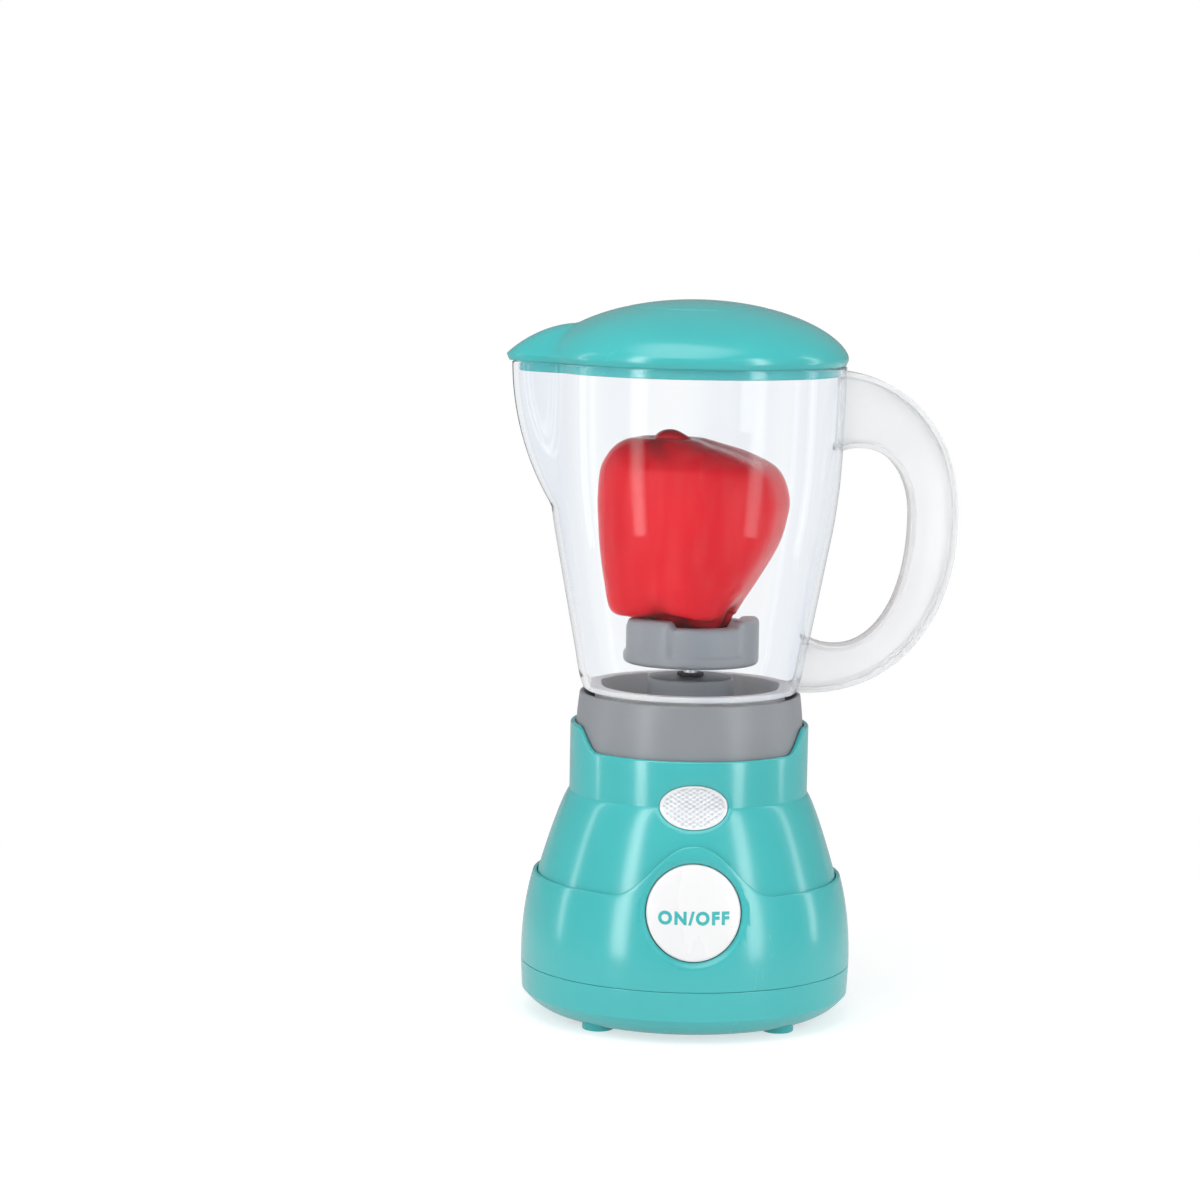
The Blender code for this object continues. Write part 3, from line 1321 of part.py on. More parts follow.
def handle():
    """The handle: an I section carried from the rim to the foot between its two edges."""
    outer_turns = spread(*HANDLE_ANGLES, HANDLE_STATIONS)
    inner_turns = spread(*FINGER_ANGLES, HANDLE_STATIONS)
    rise = JUG_TOP - HANDLE_TOP_DROP - HANDLE_MIDDLE
    drop = HANDLE_MIDDLE - JUG_BOTTOM
    half, web = HANDLE_THICKNESS / 2, HANDLE_WEB / 2
    rings = []
    for outer_turn, inner_turn in zip(outer_turns, inner_turns):
        outer = handle_point(
            outer_turn, HANDLE_UPPER_X, HANDLE_LOWER_X, HANDLE_OUTER_X, rise, drop, HANDLE_CURVE_SHARE
        )
        inner = handle_point(
            inner_turn,
            FINGER_UPPER_X,
            FINGER_LOWER_X,
            HANDLE_INNER_X,
            FINGER_RISE,
            FINGER_DROP,
            HANDLE_CURVE_SHARE,
        )
        flange = (outer - inner).normalized() * HANDLE_FLANGE
        across = [inner, inner, inner + flange, inner + flange, outer - flange, outer - flange]
        across += [outer, outer, outer - flange, outer - flange, inner + flange, inner + flange]
        sides = [-half, half, half, web, web, half, half, -half, -half, -web, -web, -half]
        rings.append([point + Vector((0, side, 0)) for point, side in zip(across, sides)])
    return lofted(rings)


def jug(frame):
    """The clear jug: neck, wall, spout and handle in one moulding, open at both ends."""
    body = node("jug", turned(jug_outside, JUG_STEPS), "clear", (0, 0, JUG_BOTTOM), frame)
    tool(body, handle(), "UNION", "handle")
    tool(body, turned(jug_hollow, JUG_STEPS), "DIFFERENCE", "hollow")


def lid_rim(angle):
    return JUG_TOP_RADIUS + LID_OVERHANG + LID_SPOUT * spout_shape(angle)


def lid_height(radius, angle):
    """Height of the lid's top: the round dome, or the spout's cover where that is higher."""
    share = min(radius / (JUG_TOP_RADIUS + LID_OVERHANG), 1)
    dome = LID_RISE * (1 - share**2) ** LID_CURVE_SHARE
    run = min(max((radius - LID_COVER_START) / (lid_rim(angle) - LID_COVER_START), 0), 1)
    cover = LID_COVER_RISE * (1 - run**2) ** LID_COVER_CURVE_SHARE
    return LID_RIM_TOP + max(dome, cover * spout_shape(angle) ** LID_COVER_SIDE_SHARE)


def lid_outline(angle):
    """Section of the lid: over the top from the middle to the rim, then back under."""
    rim = lid_rim(angle)
    start = LID_CAP_RADIUS + LID_CAP_STEP
    outline = [(r, lid_height(r, angle)) for r in (POLE_RADIUS, LID_CAP_RADIUS / 2)]
    outline.append((LID_CAP_RADIUS - LID_CAP_STEP, lid_height(LID_CAP_RADIUS, angle)))
    outline.append((LID_CAP_RADIUS, lid_height(LID_CAP_RADIUS, angle) - LID_CAP_GROOVE))
    outline.append((start, lid_height(start, angle)))
    outline += [
        (start + (rim - start) * share, lid_height(start + (rim - start) * share, angle))
        for share in LID_OUTER_SHARES
    ]
    plug = jug_radius(1, 1, angle, WALL) - LID_PLAY
    inner = plug - LID_PLUG_WALL
    bottom = LID_SEAT - LID_PLUG_DEPTH
    outline += [(rim, LID_SEAT), (plug, LID_SEAT), (plug, bottom), (inner, bottom)]
    outline += [
        (inner * share, lid_height(inner * share, angle) - LID_WALL) for share in LID_INNER_SHARES
    ]
    outline.append((POLE_RADIUS, lid_height(POLE_RADIUS, angle) - LID_WALL))
    return outline


def lid(frame):
    """The teal lid."""
    node("lid", turned(lid_outline, JUG_STEPS), "teal", (0, 0, LID_SEAT), frame)


def pepper_ring(height, left, right):
    """A ring of the pepper at this height between two edges, swelling in its lobes."""
    middle, half = (left + right) / 2, (right - left) / 2
    ring = []
    for step in range(PEPPER_STEPS):
        turn = 2 * math.pi * step / PEPPER_STEPS
        swell = 1 + PEPPER_LOBE_SHARE * math.cos(PEPPER_LOBES * (turn - PEPPER_LOBE_ANGLE))
        x = middle + half * swell * math.cos(turn)
        y = PEPPER_DEPTH_SHARE * half * swell * math.sin(turn)
        ring.append(Vector((x * PEPPER_RADIUS, y * PEPPER_RADIUS, height)))
    return ring


def play_pepper(frame):
    """The hollow red play pepper, which rests on the rotor's walls and dips between them."""
    rings = [
        pepper_ring(PEPPER_SEAT - PEPPER_DIP * down, left, right)
        for down, left, right in PEPPER_DIP_SHARES
    ]
    rings += [
        pepper_ring(PEPPER_SEAT + PEPPER_HEIGHT * up, left, right)
        for up, left, right in PEPPER_SHARES
    ]
    pepper = node("play_pepper", lofted(rings), "red", (0, 0, PEPPER_SEAT), frame)
    inner = PEPPER_SHARES[1:-4]
    rings = [
        pepper_ring(PEPPER_SEAT + PEPPER_HEIGHT * up, left + PEPPER_WALL_SHARE, right - PEPPER_WALL_SHARE)
        for up, left, right in inner
    ]
    tool(pepper, lofted(rings), "DIFFERENCE", "hollow")
    high = PEPPER_SEAT + PEPPER_HEIGHT * inner[1][0]
    vent = post(PEPPER_VENT_RADIUS, 0, 0, PEPPER_SEAT - PEPPER_DIP - OVERRUN, high, PIN_STEPS)
    tool(pepper, vent, "DIFFERENCE", "vent")


def button_ring(radius, y_at):
    """A ring round the button's axis. y_at gives its depth, as a number or from x and z."""
    ring = []
    for step in range(CUP_STEPS):
        turn = 2 * math.pi * step / CUP_STEPS
        x = radius * math.cos(turn)
        z = BUTTON_HEIGHT + radius * math.sin(turn)
        ring.append(Vector((x, y_at(x, z) if callable(y_at) else y_at, z)))
    return ring


def button_face(inset):
    """Depth of the button's face at x and z: the skirt's surface with a slight dome, moved in by inset."""

    def depth(x, z):
        bulge = 1 - (x**2 + (z - BUTTON_HEIGHT) ** 2) / BUTTON_RADIUS**2
        return -math.sqrt(skirt_radius(z) ** 2 - x**2) - BUTTON_DOME * bulge + inset

    return depth


def button_cap(frame):
    """The round white button: a cup with a stem, its face following the skirt."""
    inner = BUTTON_RADIUS - BUTTON_WALL
    rings = [button_ring(POLE_RADIUS, button_face(0))]
    rings += [button_ring(BUTTON_RADIUS * share, button_face(0)) for share in BUTTON_RING_SHARES]
    rings.append(button_ring(BUTTON_RADIUS - BUTTON_EDGE, button_face(0)))
    rings.append(button_ring(BUTTON_RADIUS, button_face(BUTTON_EDGE)))
    rings += [button_ring(radius, BUTTON_END) for radius in (BUTTON_RADIUS, inner)]
    rings += [button_ring(radius, button_face(BUTTON_FACE_WALL)) for radius in (inner, STEM_RADIUS)]
    rings.append(button_ring(STEM_RADIUS, STEM_END))
    place = (0, BUTTON_FRONT, BUTTON_HEIGHT)
    node("button_cap", lofted(rings), "white", place, frame)


def button_spring(frame):
    """The coil spring round the button's stem: one wire carried along a helix."""
    count = SPRING_TURNS * SPRING_CURL_POINTS + 1
    rings = []
    for step in range(count):
        turn = 2 * math.pi * step / SPRING_CURL_POINTS
        y = SPRING_FRONT + (SPRING_BACK - SPRING_FRONT) * step / (count - 1)
        out = Vector((math.cos(turn), 0, math.sin(turn)))
        ring = []
        for side in range(SPRING_SIDES):
            lean = 2 * math.pi * side / SPRING_SIDES
            across = out * (SPRING_RADIUS + SPRING_WIRE * math.cos(lean))
            ring.append(across + Vector((0, y + SPRING_WIRE * math.sin(lean), BUTTON_HEIGHT)))
        rings.append(ring)
    pitch = (SPRING_BACK - SPRING_FRONT) / SPRING_TURNS
    print(f"least gap between the spring's turns: {pitch - 2 * SPRING_WIRE:.5f} m")
    node("button_spring", lofted(rings), "steel", (0, SPRING_BACK, BUTTON_HEIGHT), frame)


def button_guide():
    """The plate behind the button, with two ears on the lower housing's bosses and a seat for the switch."""
    rings = []
    for y in (GUIDE_FRONT, GUIDE_BACK):
        ring = []
        for step in range(CUP_STEPS):
            turn = 2 * math.pi * step / CUP_STEPS
            off = math.asin(min(abs(math.sin(turn)), 1))
            run = GUIDE_EAR_END_ANGLE - GUIDE_EAR_FLAT_ANGLE
            reach = TUBE_RADIUS + GUIDE_EAR * smooth_step((GUIDE_EAR_END_ANGLE - off) / run)
            ring.append(Vector((reach * math.cos(turn), y, BUTTON_HEIGHT + reach * math.sin(turn))))
        rings.append(ring)
    guide = node("button_guide", lofted(rings), "white", (0, GUIDE_FRONT, BUTTON_HEIGHT))
    middle, seat_end = (GUIDE_FRONT + GUIDE_BACK) / 2, SWITCH_FRONT - GAP
    seat = rod(SWITCH_SEAT_RADIUS, (0, middle, BUTTON_HEIGHT), (0, seat_end, BUTTON_HEIGHT))
    tool(guide, seat, "UNION", "switch_seat")
    low, high = GUIDE_FRONT - OVERRUN, SWITCH_FRONT + OVERRUN
    holes = [rod(STEM_RADIUS + GAP, (0, low, BUTTON_HEIGHT), (0, high, BUTTON_HEIGHT))]
    for side in (-1, 1):
        x = side * GUIDE_SCREW_X
        holes.append(
            rod(DOOR_SCREW_RADIUS + GAP, (x, low, BUTTON_HEIGHT), (x, high, BUTTON_HEIGHT), PIN_STEPS)
        )
    tool(guide, gathered(holes), "DIFFERENCE", "holes")
    for side, name in ((-1, "left"), (1, "right")):
        screw(
            f"guide_screw_{name}",
            (side * GUIDE_SCREW_X, GUIDE_BACK + GAP / 2, BUTTON_HEIGHT),
            (0, -1, 0),
            WALL + GAP + GUIDE_SCREW_BITE,
            DOOR_SCREW_RADIUS,
            DOOR_SCREW_HEAD_RADIUS,
            DOOR_SCREW_HEAD_HEIGHT,
        )


def switch(frame):
    """The push switch behind the guide, its plunger and its circuit board."""
    half = SWITCH_HALF_SIDE
    body = node(
        "switch_body",
        block(
            (-half, SWITCH_FRONT, BUTTON_HEIGHT - half),
            (half, SWITCH_BACK, BUTTON_HEIGHT + half),
        ),
        "black",
        (0, SWITCH_FRONT, BUTTON_HEIGHT),
    )
    plunger_back = PLUNGER_FRONT + PLUNGER_LENGTH
    bore = rod(
        PLUNGER_RADIUS + GAP,
        (0, SWITCH_FRONT - OVERRUN, BUTTON_HEIGHT),
        (0, plunger_back + BUTTON_TRAVEL + GAP, BUTTON_HEIGHT),
        PIN_STEPS,
    )
    tool(body, bore, "DIFFERENCE", "bore")
    node(
        "switch_plunger",
        rod(
            PLUNGER_RADIUS, (0, PLUNGER_FRONT, BUTTON_HEIGHT), (0, plunger_back, BUTTON_HEIGHT), PIN_STEPS
        ),
        "red",
        (0, PLUNGER_FRONT, BUTTON_HEIGHT),
        frame,
    )
    node(
        "circuit_board",
        block(
            (-BOARD_HALF_WIDTH, BOARD_FRONT, BUTTON_HEIGHT - BOARD_HALF_HEIGHT),
            (BOARD_HALF_WIDTH, BOARD_FRONT + BOARD_THICKNESS, BUTTON_HEIGHT + BOARD_HALF_HEIGHT),
        ),
        "board",
        (0, BOARD_FRONT, BUTTON_HEIGHT),
    )


def lamp_lens():
    """The oval lens: a plug that fills the hole, a flange inside, and a pocket for the bulb."""

    def face(inset):
        return lambda x, z: -math.sqrt(bell_radius(z) ** 2 - x**2) + LENS_RECESS + inset

    edge = 1 - LENS_EDGE / LENS_HALF_HEIGHT
    wide, tall = LENS_HALF_WIDTH + LENS_FLANGE, LENS_HALF_HEIGHT + LENS_FLANGE
    flange_front = LENS_BACK - LENS_FLANGE_THICKNESS
    rings = [lens_ring(share, face(0)) for share in (*LENS_RING_SHARES, edge)]
    rings.append(lens_ring(1, face(LENS_EDGE)))
    rings.append(lens_ring(1, flange_front))
    rings += [lens_ring(1, y, wide, tall) for y in (flange_front, LENS_BACK)]
    rings += [
        lens_ring(1, y, POCKET_HALF_WIDTH, POCKET_HALF_HEIGHT)
        for y in (LENS_BACK, LENS_BACK - POCKET_DEPTH)
    ]
    node("lamp_lens", lofted(rings), "lens", (0, LENS_BACK, LENS_HEIGHT))


def lamp():
    """The bulb, the holder that clamps the lens, and the holder's two screws."""
    rings = [
        lens_ring(1, y, HOLDER_HALF_WIDTH, HOLDER_HALF_HEIGHT) for y in (HOLDER_FRONT, HOLDER_BACK)
    ]
    holder = node("lamp_holder", lofted(rings), "white", (0, HOLDER_FRONT, LENS_HEIGHT))
    low, high = HOLDER_FRONT - OVERRUN, HOLDER_BACK + OVERRUN
    holes = [rod(BULB_RADIUS + GAP, (0, low, LENS_HEIGHT), (0, high, LENS_HEIGHT))]
    for side in (-1, 1):
        x = side * LAMP_SCREW_X
        holes.append(
            rod(LAMP_SCREW_RADIUS + GAP, (x, low, LENS_HEIGHT), (x, high, LENS_HEIGHT), PIN_STEPS)
        )
    tool(holder, gathered(holes), "DIFFERENCE", "holes")
    for side, name in ((-1, "left"), (1, "right")):
        screw(
            f"lamp_screw_{name}",
            (side * LAMP_SCREW_X, HOLDER_BACK + GAP / 2, LENS_HEIGHT),
            (0, -1, 0),
            WALL + GAP + LAMP_SCREW_BITE,
            LAMP_SCREW_RADIUS,
            DOOR_SCREW_HEAD_RADIUS - GAP,
            DOOR_SCREW_HEAD_HEIGHT,
        )
    seat = HOLDER_BACK + GAP
    outline = [
        (BULB_RADIUS + BULB_FLANGE, -BULB_FLANGE_THICKNESS),
        (BULB_RADIUS + BULB_FLANGE, 0),
        (BULB_RADIUS, 0),
        (BULB_RADIUS, BULB_LENGTH - BULB_RADIUS),
    ]
    outline += [
        (BULB_RADIUS * math.cos(turn), BULB_LENGTH - BULB_RADIUS * (1 - math.sin(turn)))
        for turn in (math.radians(30), math.radians(60), math.radians(85))
    ]
    bm = lathed(outline, ROD_STEPS)
    bmesh.ops.rotate(bm, matrix=Matrix.Rotation(math.pi / 2, 3, "X"), verts=bm.verts)
    place = (0, seat, LENS_HEIGHT)
    bmesh.ops.translate(bm, vec=place, verts=bm.verts)
    node("lamp_bulb", bm, "lens", place)


def housing_screws():
    """Four screws that hold the pan and both housings together."""
    for number, (x, y) in enumerate(SCREW_PLACES, 1):
        screw(
            f"housing_screw_{number}",
            (x, y, SCREW_SEAT),
            (0, 0, 1),
            SCREW_TIP - SCREW_SEAT,
            SCREW_RADIUS,
            SCREW_HEAD_RADIUS,
            SCREW_HEAD_HEIGHT,
        )


def gearbox_screws():
    """Three long screws that clamp the gearbox, the deck and the collar together."""
    seat = CASE_UNDER - GAP / 2
    for number, (x, y) in enumerate(case_screw_places(), 1):
        screw(
            f"gearbox_screw_{number}",
            (x, y, seat),
            (0, 0, 1),
            COLLAR_BOTTOM + CASE_SCREW_BITE - seat,
            CASE_SCREW_RADIUS,
            CASE_SCREW_HEAD_RADIUS,
            CASE_SCREW_HEAD_HEIGHT,
        )


def main():
    for obj in list(bpy.data.objects):
        bpy.data.objects.remove(obj, do_unlink=True)

    base_pan()
    battery_door(moving_frame("door_axis", (0, 0, UNDERSIDE)))
    battery_cells()
    battery_contact("battery_contact_plus", 1, plus_row=1, tail=True)
    battery_contact("battery_contact_minus", -1, minus_row=-1, tail=True)
    battery_contact("battery_link_right", 1, plus_row=-1, minus_row=0)
    battery_contact("battery_link_left", -1, plus_row=0, minus_row=1)
    lower_housing()
    upper_housing()
    housing_screws()

    collar()
    shaft_bush()
    gearbox_case()
    gearbox_cover()
    gearbox_screws()
    rotor_axis = moving_frame("rotor_axis", (0, 0, ROTOR_BOTTOM))
    idler_axis = moving_frame("idler_axis", (IDLER_X, IDLER_Y, CASE_FLOOR))
    motor_axis = moving_frame("motor_axis", (MOTOR_X, MOTOR_Y, CASE_FLOOR))
    gears(rotor_axis, idler_axis, motor_axis)
    motor(motor_axis)
    shafts(rotor_axis)
    rotor(rotor_axis)

    button_axis = moving_frame("button_axis", (0, BUTTON_FRONT, BUTTON_HEIGHT))
    button_cap(button_axis)
    button_spring(button_axis)
    button_guide()
    switch(button_axis)
    lamp_lens()
    lamp()

    jug_axis = moving_frame("jug_axis", (0, 0, JUG_BOTTOM))
    jug(jug_axis)
    lid(moving_frame("lid_axis", (0, 0, LID_SEAT), jug_axis))
    play_pepper(moving_frame("pepper_axis", (0, 0, PEPPER_SEAT), jug_axis))


main()
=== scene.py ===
"""Looks of a toy blender: teal base, grey collar and rotor, clear jug, red play pepper and teal lid."""

import math

import bmesh
import bpy
import numpy as np
from mathutils import Matrix, Vector


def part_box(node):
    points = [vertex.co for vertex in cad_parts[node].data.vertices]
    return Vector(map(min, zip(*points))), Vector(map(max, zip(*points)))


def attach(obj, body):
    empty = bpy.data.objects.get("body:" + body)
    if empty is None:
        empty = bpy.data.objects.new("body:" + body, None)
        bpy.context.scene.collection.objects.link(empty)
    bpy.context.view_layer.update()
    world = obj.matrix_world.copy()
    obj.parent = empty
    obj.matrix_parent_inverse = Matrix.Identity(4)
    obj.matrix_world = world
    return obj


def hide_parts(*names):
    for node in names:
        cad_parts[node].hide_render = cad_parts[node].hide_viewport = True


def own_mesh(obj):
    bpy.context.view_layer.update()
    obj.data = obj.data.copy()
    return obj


bl_info = {
    "name": "Toy blender",
    "version": (1, 0, 0),
    "blender": (4, 5, 0),
    "location": "3D View > Sidebar > Toy blender",
    "description": "Builds the visible pieces of a toy blender on its fixed frame",
    "category": "Add Mesh",
}

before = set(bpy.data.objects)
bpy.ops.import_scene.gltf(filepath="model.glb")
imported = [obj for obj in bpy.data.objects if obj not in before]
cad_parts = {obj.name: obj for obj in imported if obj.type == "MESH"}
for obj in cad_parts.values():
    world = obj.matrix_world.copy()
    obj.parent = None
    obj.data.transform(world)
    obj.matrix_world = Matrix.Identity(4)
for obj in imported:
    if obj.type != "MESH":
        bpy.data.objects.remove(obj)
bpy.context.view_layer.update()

# Clearances and walls
GAP = 0.0003
WALL = 0.002
NECK_WALL = 0.0017
OVERRUN = 0.004

# The base
FOOT_HEIGHT = 0.0014
BASE_RADIUS = 0.0578
PAN_HEIGHT = 0.0173
SKIRT_HEIGHT = 0.0313
BELL_HEIGHT = 0.0289
NECK_HEIGHT = 0.016
COLLAR_RADIUS = 0.0397
COLLAR_HEIGHT = 0.0202

# What stands on the base
ROTOR_RADIUS = 0.0237
ROTOR_HEIGHT = 0.0163
JUG_FOOT_RADIUS = 0.0373
JUG_TOP_RADIUS = 0.0521
JUG_HEIGHT = 0.1138
SPOUT_REACH = 0.0119
HANDLE_REACH = 0.0397
LID_RISE = 0.0197
BUTTON_RADIUS = 0.016
BUTTON_TRAVEL = 0.003

# Levels
UNDERSIDE = FOOT_HEIGHT
SEAM = UNDERSIDE + PAN_HEIGHT
SKIRT_TOP = SEAM + SKIRT_HEIGHT
CREASE = SKIRT_TOP + BELL_HEIGHT
NECK_TOP = CREASE + NECK_HEIGHT
DECK_DROP = 0.002
DECK_TOP = NECK_TOP - DECK_DROP
DECK_UNDER = DECK_TOP - WALL
COLLAR_BOTTOM = DECK_TOP + GAP
COLLAR_TOP = COLLAR_BOTTOM + COLLAR_HEIGHT
CUP_FLOOR_RISE = 0.0067
CUP_FLOOR = COLLAR_BOTTOM + CUP_FLOOR_RISE
BOSS_HEIGHT = 0.0192
BOSS_TOP = CUP_FLOOR + BOSS_HEIGHT
ROTOR_LIFT = 0.0049
ROTOR_BOTTOM = BOSS_TOP + ROTOR_LIFT
ROTOR_TOP = ROTOR_BOTTOM + ROTOR_HEIGHT
JUG_SEAT_RISE = 0.001
JUG_BOTTOM = COLLAR_TOP + JUG_SEAT_RISE
JUG_TOP = JUG_BOTTOM + JUG_HEIGHT
LID_SEAT = JUG_TOP + GAP

# The base's outline
SKIRT_TAPER = 0.0039
SKIRT_TAPER_SHARE = 2.3
SKIRT_PROUD = 0.0017
ARCH_HEIGHT = 0.0173
ARCH_HALF_WIDTH = 0.0277
ARCH_FULLNESS_SHARE = 1.15
BELL_CURVE_SHARE = 0.8
NECK_RADIUS = COLLAR_RADIUS + GAP + NECK_WALL
BELL_FLARE = BASE_RADIUS - SKIRT_TAPER - SKIRT_PROUD - NECK_RADIUS
BELL_OVERLAP = 0.0022
BELL_PLAY = 0.0004
EAR_RISE = 0.008
EAR_FLAT_ANGLE = math.radians(17)
EAR_END_ANGLE = math.radians(36)
DECK_HOLE = 0.007
BELL_ROW_SHARE = 1.6
NECK_ROW_SHARES = (0.1, 0.4, 0.7)
PAN_FLAT_SHARE = 0.7094
PAN_FLAT_RADIUS = BASE_RADIUS * PAN_FLAT_SHARE
PAN_CORNER_RISE = 0.0072
PAN_CORNER_DRAFT = 0.0005
PAN_CORNER_CURVE_SHARE = 2.8
FOOT_RADIUS = 0.0055
FOOT_ROOT = 0.0017
FOOT_OFFSET_SHARE = 0.53633
FOOT_OFFSET = BASE_RADIUS * FOOT_OFFSET_SHARE
SIDES = (-1, 1)
FOOT_PLACES = [(side * FOOT_OFFSET, way * FOOT_OFFSET) for side in SIDES for way in SIDES]

# Roundings of moulded edges
FINE_EDGE = 0.0003
SOFT_EDGE = 0.0006
BROAD_EDGE = 0.0011

# The battery box and its door
CELL_RADIUS = 0.0071
CELL_LENGTH = 0.05
CELL_ROOM = 0.0006
CELL_PITCH = 2 * CELL_RADIUS + CELL_ROOM
CELL_NUB = 0.001
CELL_NUB_RADIUS = 0.0027
CELL_CRIMP = 0.0005
CELL_GROOVE = 0.0002
CONTACT_ROOM = 0.0036
BOX_WALL = 0.0015
BOX_HALF_LENGTH = CELL_LENGTH / 2 + CELL_NUB + CONTACT_ROOM
BOX_HALF_WIDTH = CELL_PITCH + CELL_RADIUS + CELL_ROOM
DOOR_THICKNESS = 0.0018
DOOR_LEDGE = 0.0014
DOOR_HALF_LENGTH = BOX_HALF_LENGTH + DOOR_LEDGE - GAP
DOOR_HALF_WIDTH = BOX_HALF_WIDTH + DOOR_LEDGE - GAP
DOOR_TOP = UNDERSIDE + DOOR_THICKNESS
DOOR_TONGUE = 0.008
DOOR_TONGUE_HALF_WIDTH = 0.005
DOOR_SCREW_Y = DOOR_HALF_WIDTH + DOOR_TONGUE / 2
DOOR_SCREW_RADIUS = 0.0011
DOOR_SCREW_HEAD_RADIUS = 0.0022
DOOR_SCREW_HEAD_HEIGHT = 0.0008
DOOR_SCREW_LENGTH = 0.006
DOOR_BOSS_RISE = 0.0068
DOOR_RIDGES = 7
DOOR_RIDGE_PITCH = 0.003
DOOR_RIDGE_HALF_WIDTH = 0.0006
DOOR_RIDGE_HALF_LENGTH = 0.012
DOOR_RIDGE_RISE = 0.0005
DOOR_RIDGE_SECTION_SHARES = (1.0, 1.4)
DOOR_SEAT_PLAY_SHARE = 1.5
CELL_HEIGHT = DOOR_TOP + GAP + CELL_RADIUS
BOX_CEILING = CELL_HEIGHT + CELL_RADIUS + CELL_ROOM
BOX_TOP = BOX_CEILING + BOX_WALL

# The screws that close the base
SCREW_RADIUS = 0.0014
SCREW_HEAD_RADIUS = 0.0027
SCREW_HEAD_HEIGHT = 0.002
SCREW_SEAT_DROP = 0.006
SCREW_SEAT = SEAM - SCREW_SEAT_DROP
SEAM_HALF_GAP = 0.00005
PAN_BOSS_RADIUS = 0.0045

# The collar and its boss
COLLAR_TAPER = 0.0011
COLLAR_TAPER_START = 0.0107
COLLAR_TAPER_EASE = 0.008
COLLAR_WALL = 0.0016
CUP_RADIUS = COLLAR_RADIUS - COLLAR_TAPER - COLLAR_WALL
BOSS_RADIUS = 0.0151
SHAFT_RADIUS = 0.0024
SHAFT_BORE = SHAFT_RADIUS + GAP
BUSH_WALL = 0.001
BUSH_RADIUS = SHAFT_BORE + BUSH_WALL
BUSH_FLANGE = 0.001
BUSH_LENGTH = 0.008
NECK_PLAY = 0.0037
JUG_NECK_RADIUS = CUP_RADIUS - NECK_PLAY
JUG_NECK_BORE = JUG_NECK_RADIUS - WALL
RING_RADIUS = JUG_NECK_BORE - 2 * GAP
RING_WIDTH = 0.0018
RING_HEIGHT = 0.003

# The rotor
ROTOR_CHAMFER = 0.002
ROTOR_FLOOR = 0.0035
ROTOR_WALL = 0.007
ROTOR_WALL_COUNT = 3
ROTOR_WALL_START = math.radians(-18.5)
ROTOR_WALL_FLAT_ANGLE = math.radians(17)
ROTOR_WALL_END_ANGLE = math.radians(30)
ROTOR_WALL_DIP = 0.0022
ROTOR_WALL_SET_IN = 0.0009
HUB_RADIUS = 0.009
HUB_HEIGHT = 0.0075
ROTOR_SCREW_HEAD_RADIUS = 0.0036
ROTOR_SCREW_HEAD_HEIGHT = 0.0012
HUB_SEAT = ROTOR_BOTTOM + HUB_HEIGHT - ROTOR_SCREW_HEAD_HEIGHT - 2 * GAP

# The jug
JUG_LEDGE = 0.002
FOOT_JOIN = 0.00005
JUG_RISE_SHARES = (0, 0.03, 0.13, 0.26, 0.4, 0.53, 0.64, 0.76, 0.88, 1)
JUG_WIDENING_SHARES = (0, 0.08, 0.23, 0.42, 0.62, 0.8, 0.9, 0.955, 0.985, 1)
JUG_ROW_SHARES = (0.012, 0.985)
JUG_FLOOR_SHARE = 0.03
SPOUT_HEIGHT = 0.05
SPOUT_HALF_ANGLE = math.radians(25)
HANDLE_TOP_IN = 0.0061
HANDLE_FOOT_OUT = 0.0025
HANDLE_UPPER_X = JUG_TOP_RADIUS - HANDLE_TOP_IN
HANDLE_LOWER_X = JUG_FOOT_RADIUS + HANDLE_FOOT_OUT
FINGER_UPPER_X = 0.057
FINGER_LOWER_X = 0.05
HANDLE_TOP_DROP = 0.0014
HANDLE_MIDDLE_SHARE = 0.54
HANDLE_MIDDLE = JUG_BOTTOM + JUG_HEIGHT * HANDLE_MIDDLE_SHARE
HANDLE_THICKNESS = 0.0125
HANDLE_WEB = 0.0044
HANDLE_FLANGE = 0.0018
HANDLE_CURVE_SHARE = 2.15
HANDLE_WIDTH = 0.0166
FINGER_RISE = 0.0243
FINGER_DROP = 0.045
HANDLE_OUTER_X = JUG_TOP_RADIUS + HANDLE_REACH
HANDLE_INNER_X = HANDLE_OUTER_X - HANDLE_WIDTH
HANDLE_ANGLES = (math.radians(92), math.radians(-95))
FINGER_ANGLES = (math.radians(116), math.radians(-118))

# The lid
LID_OVERHANG = 0.0006
LID_RIM = 0.0022
LID_RIM_TOP = LID_SEAT + LID_RIM
LID_BAND_IN = 0.0004
LID_BAND_DRAFT = 0.001
LID_WALL = 0.0018
LID_CURVE_SHARE = 0.61
LID_PLAY = 0.0004
LID_PLUG_DEPTH = 0.0035
LID_PLUG_WALL = 0.0016
LID_COVER_START = 0.04
LID_COVER_RISE = 0.011
LID_COVER_CURVE_SHARE = 0.92
LID_COVER_SIDE_SHARE = 0.35
LID_SPOUT_OVERHANG = 0.0014
LID_SPOUT = SPOUT_REACH + LID_SPOUT_OVERHANG
LID_CAP_RADIUS = 0.0246
LID_CAP_GROOVE = 0.0009
LID_CAP_STEP = 0.0009
LID_ROW_SHARE = 1.5
LID_UNDER_SHARES = (1, 0.01)
POLE_RADIUS = 0.0004

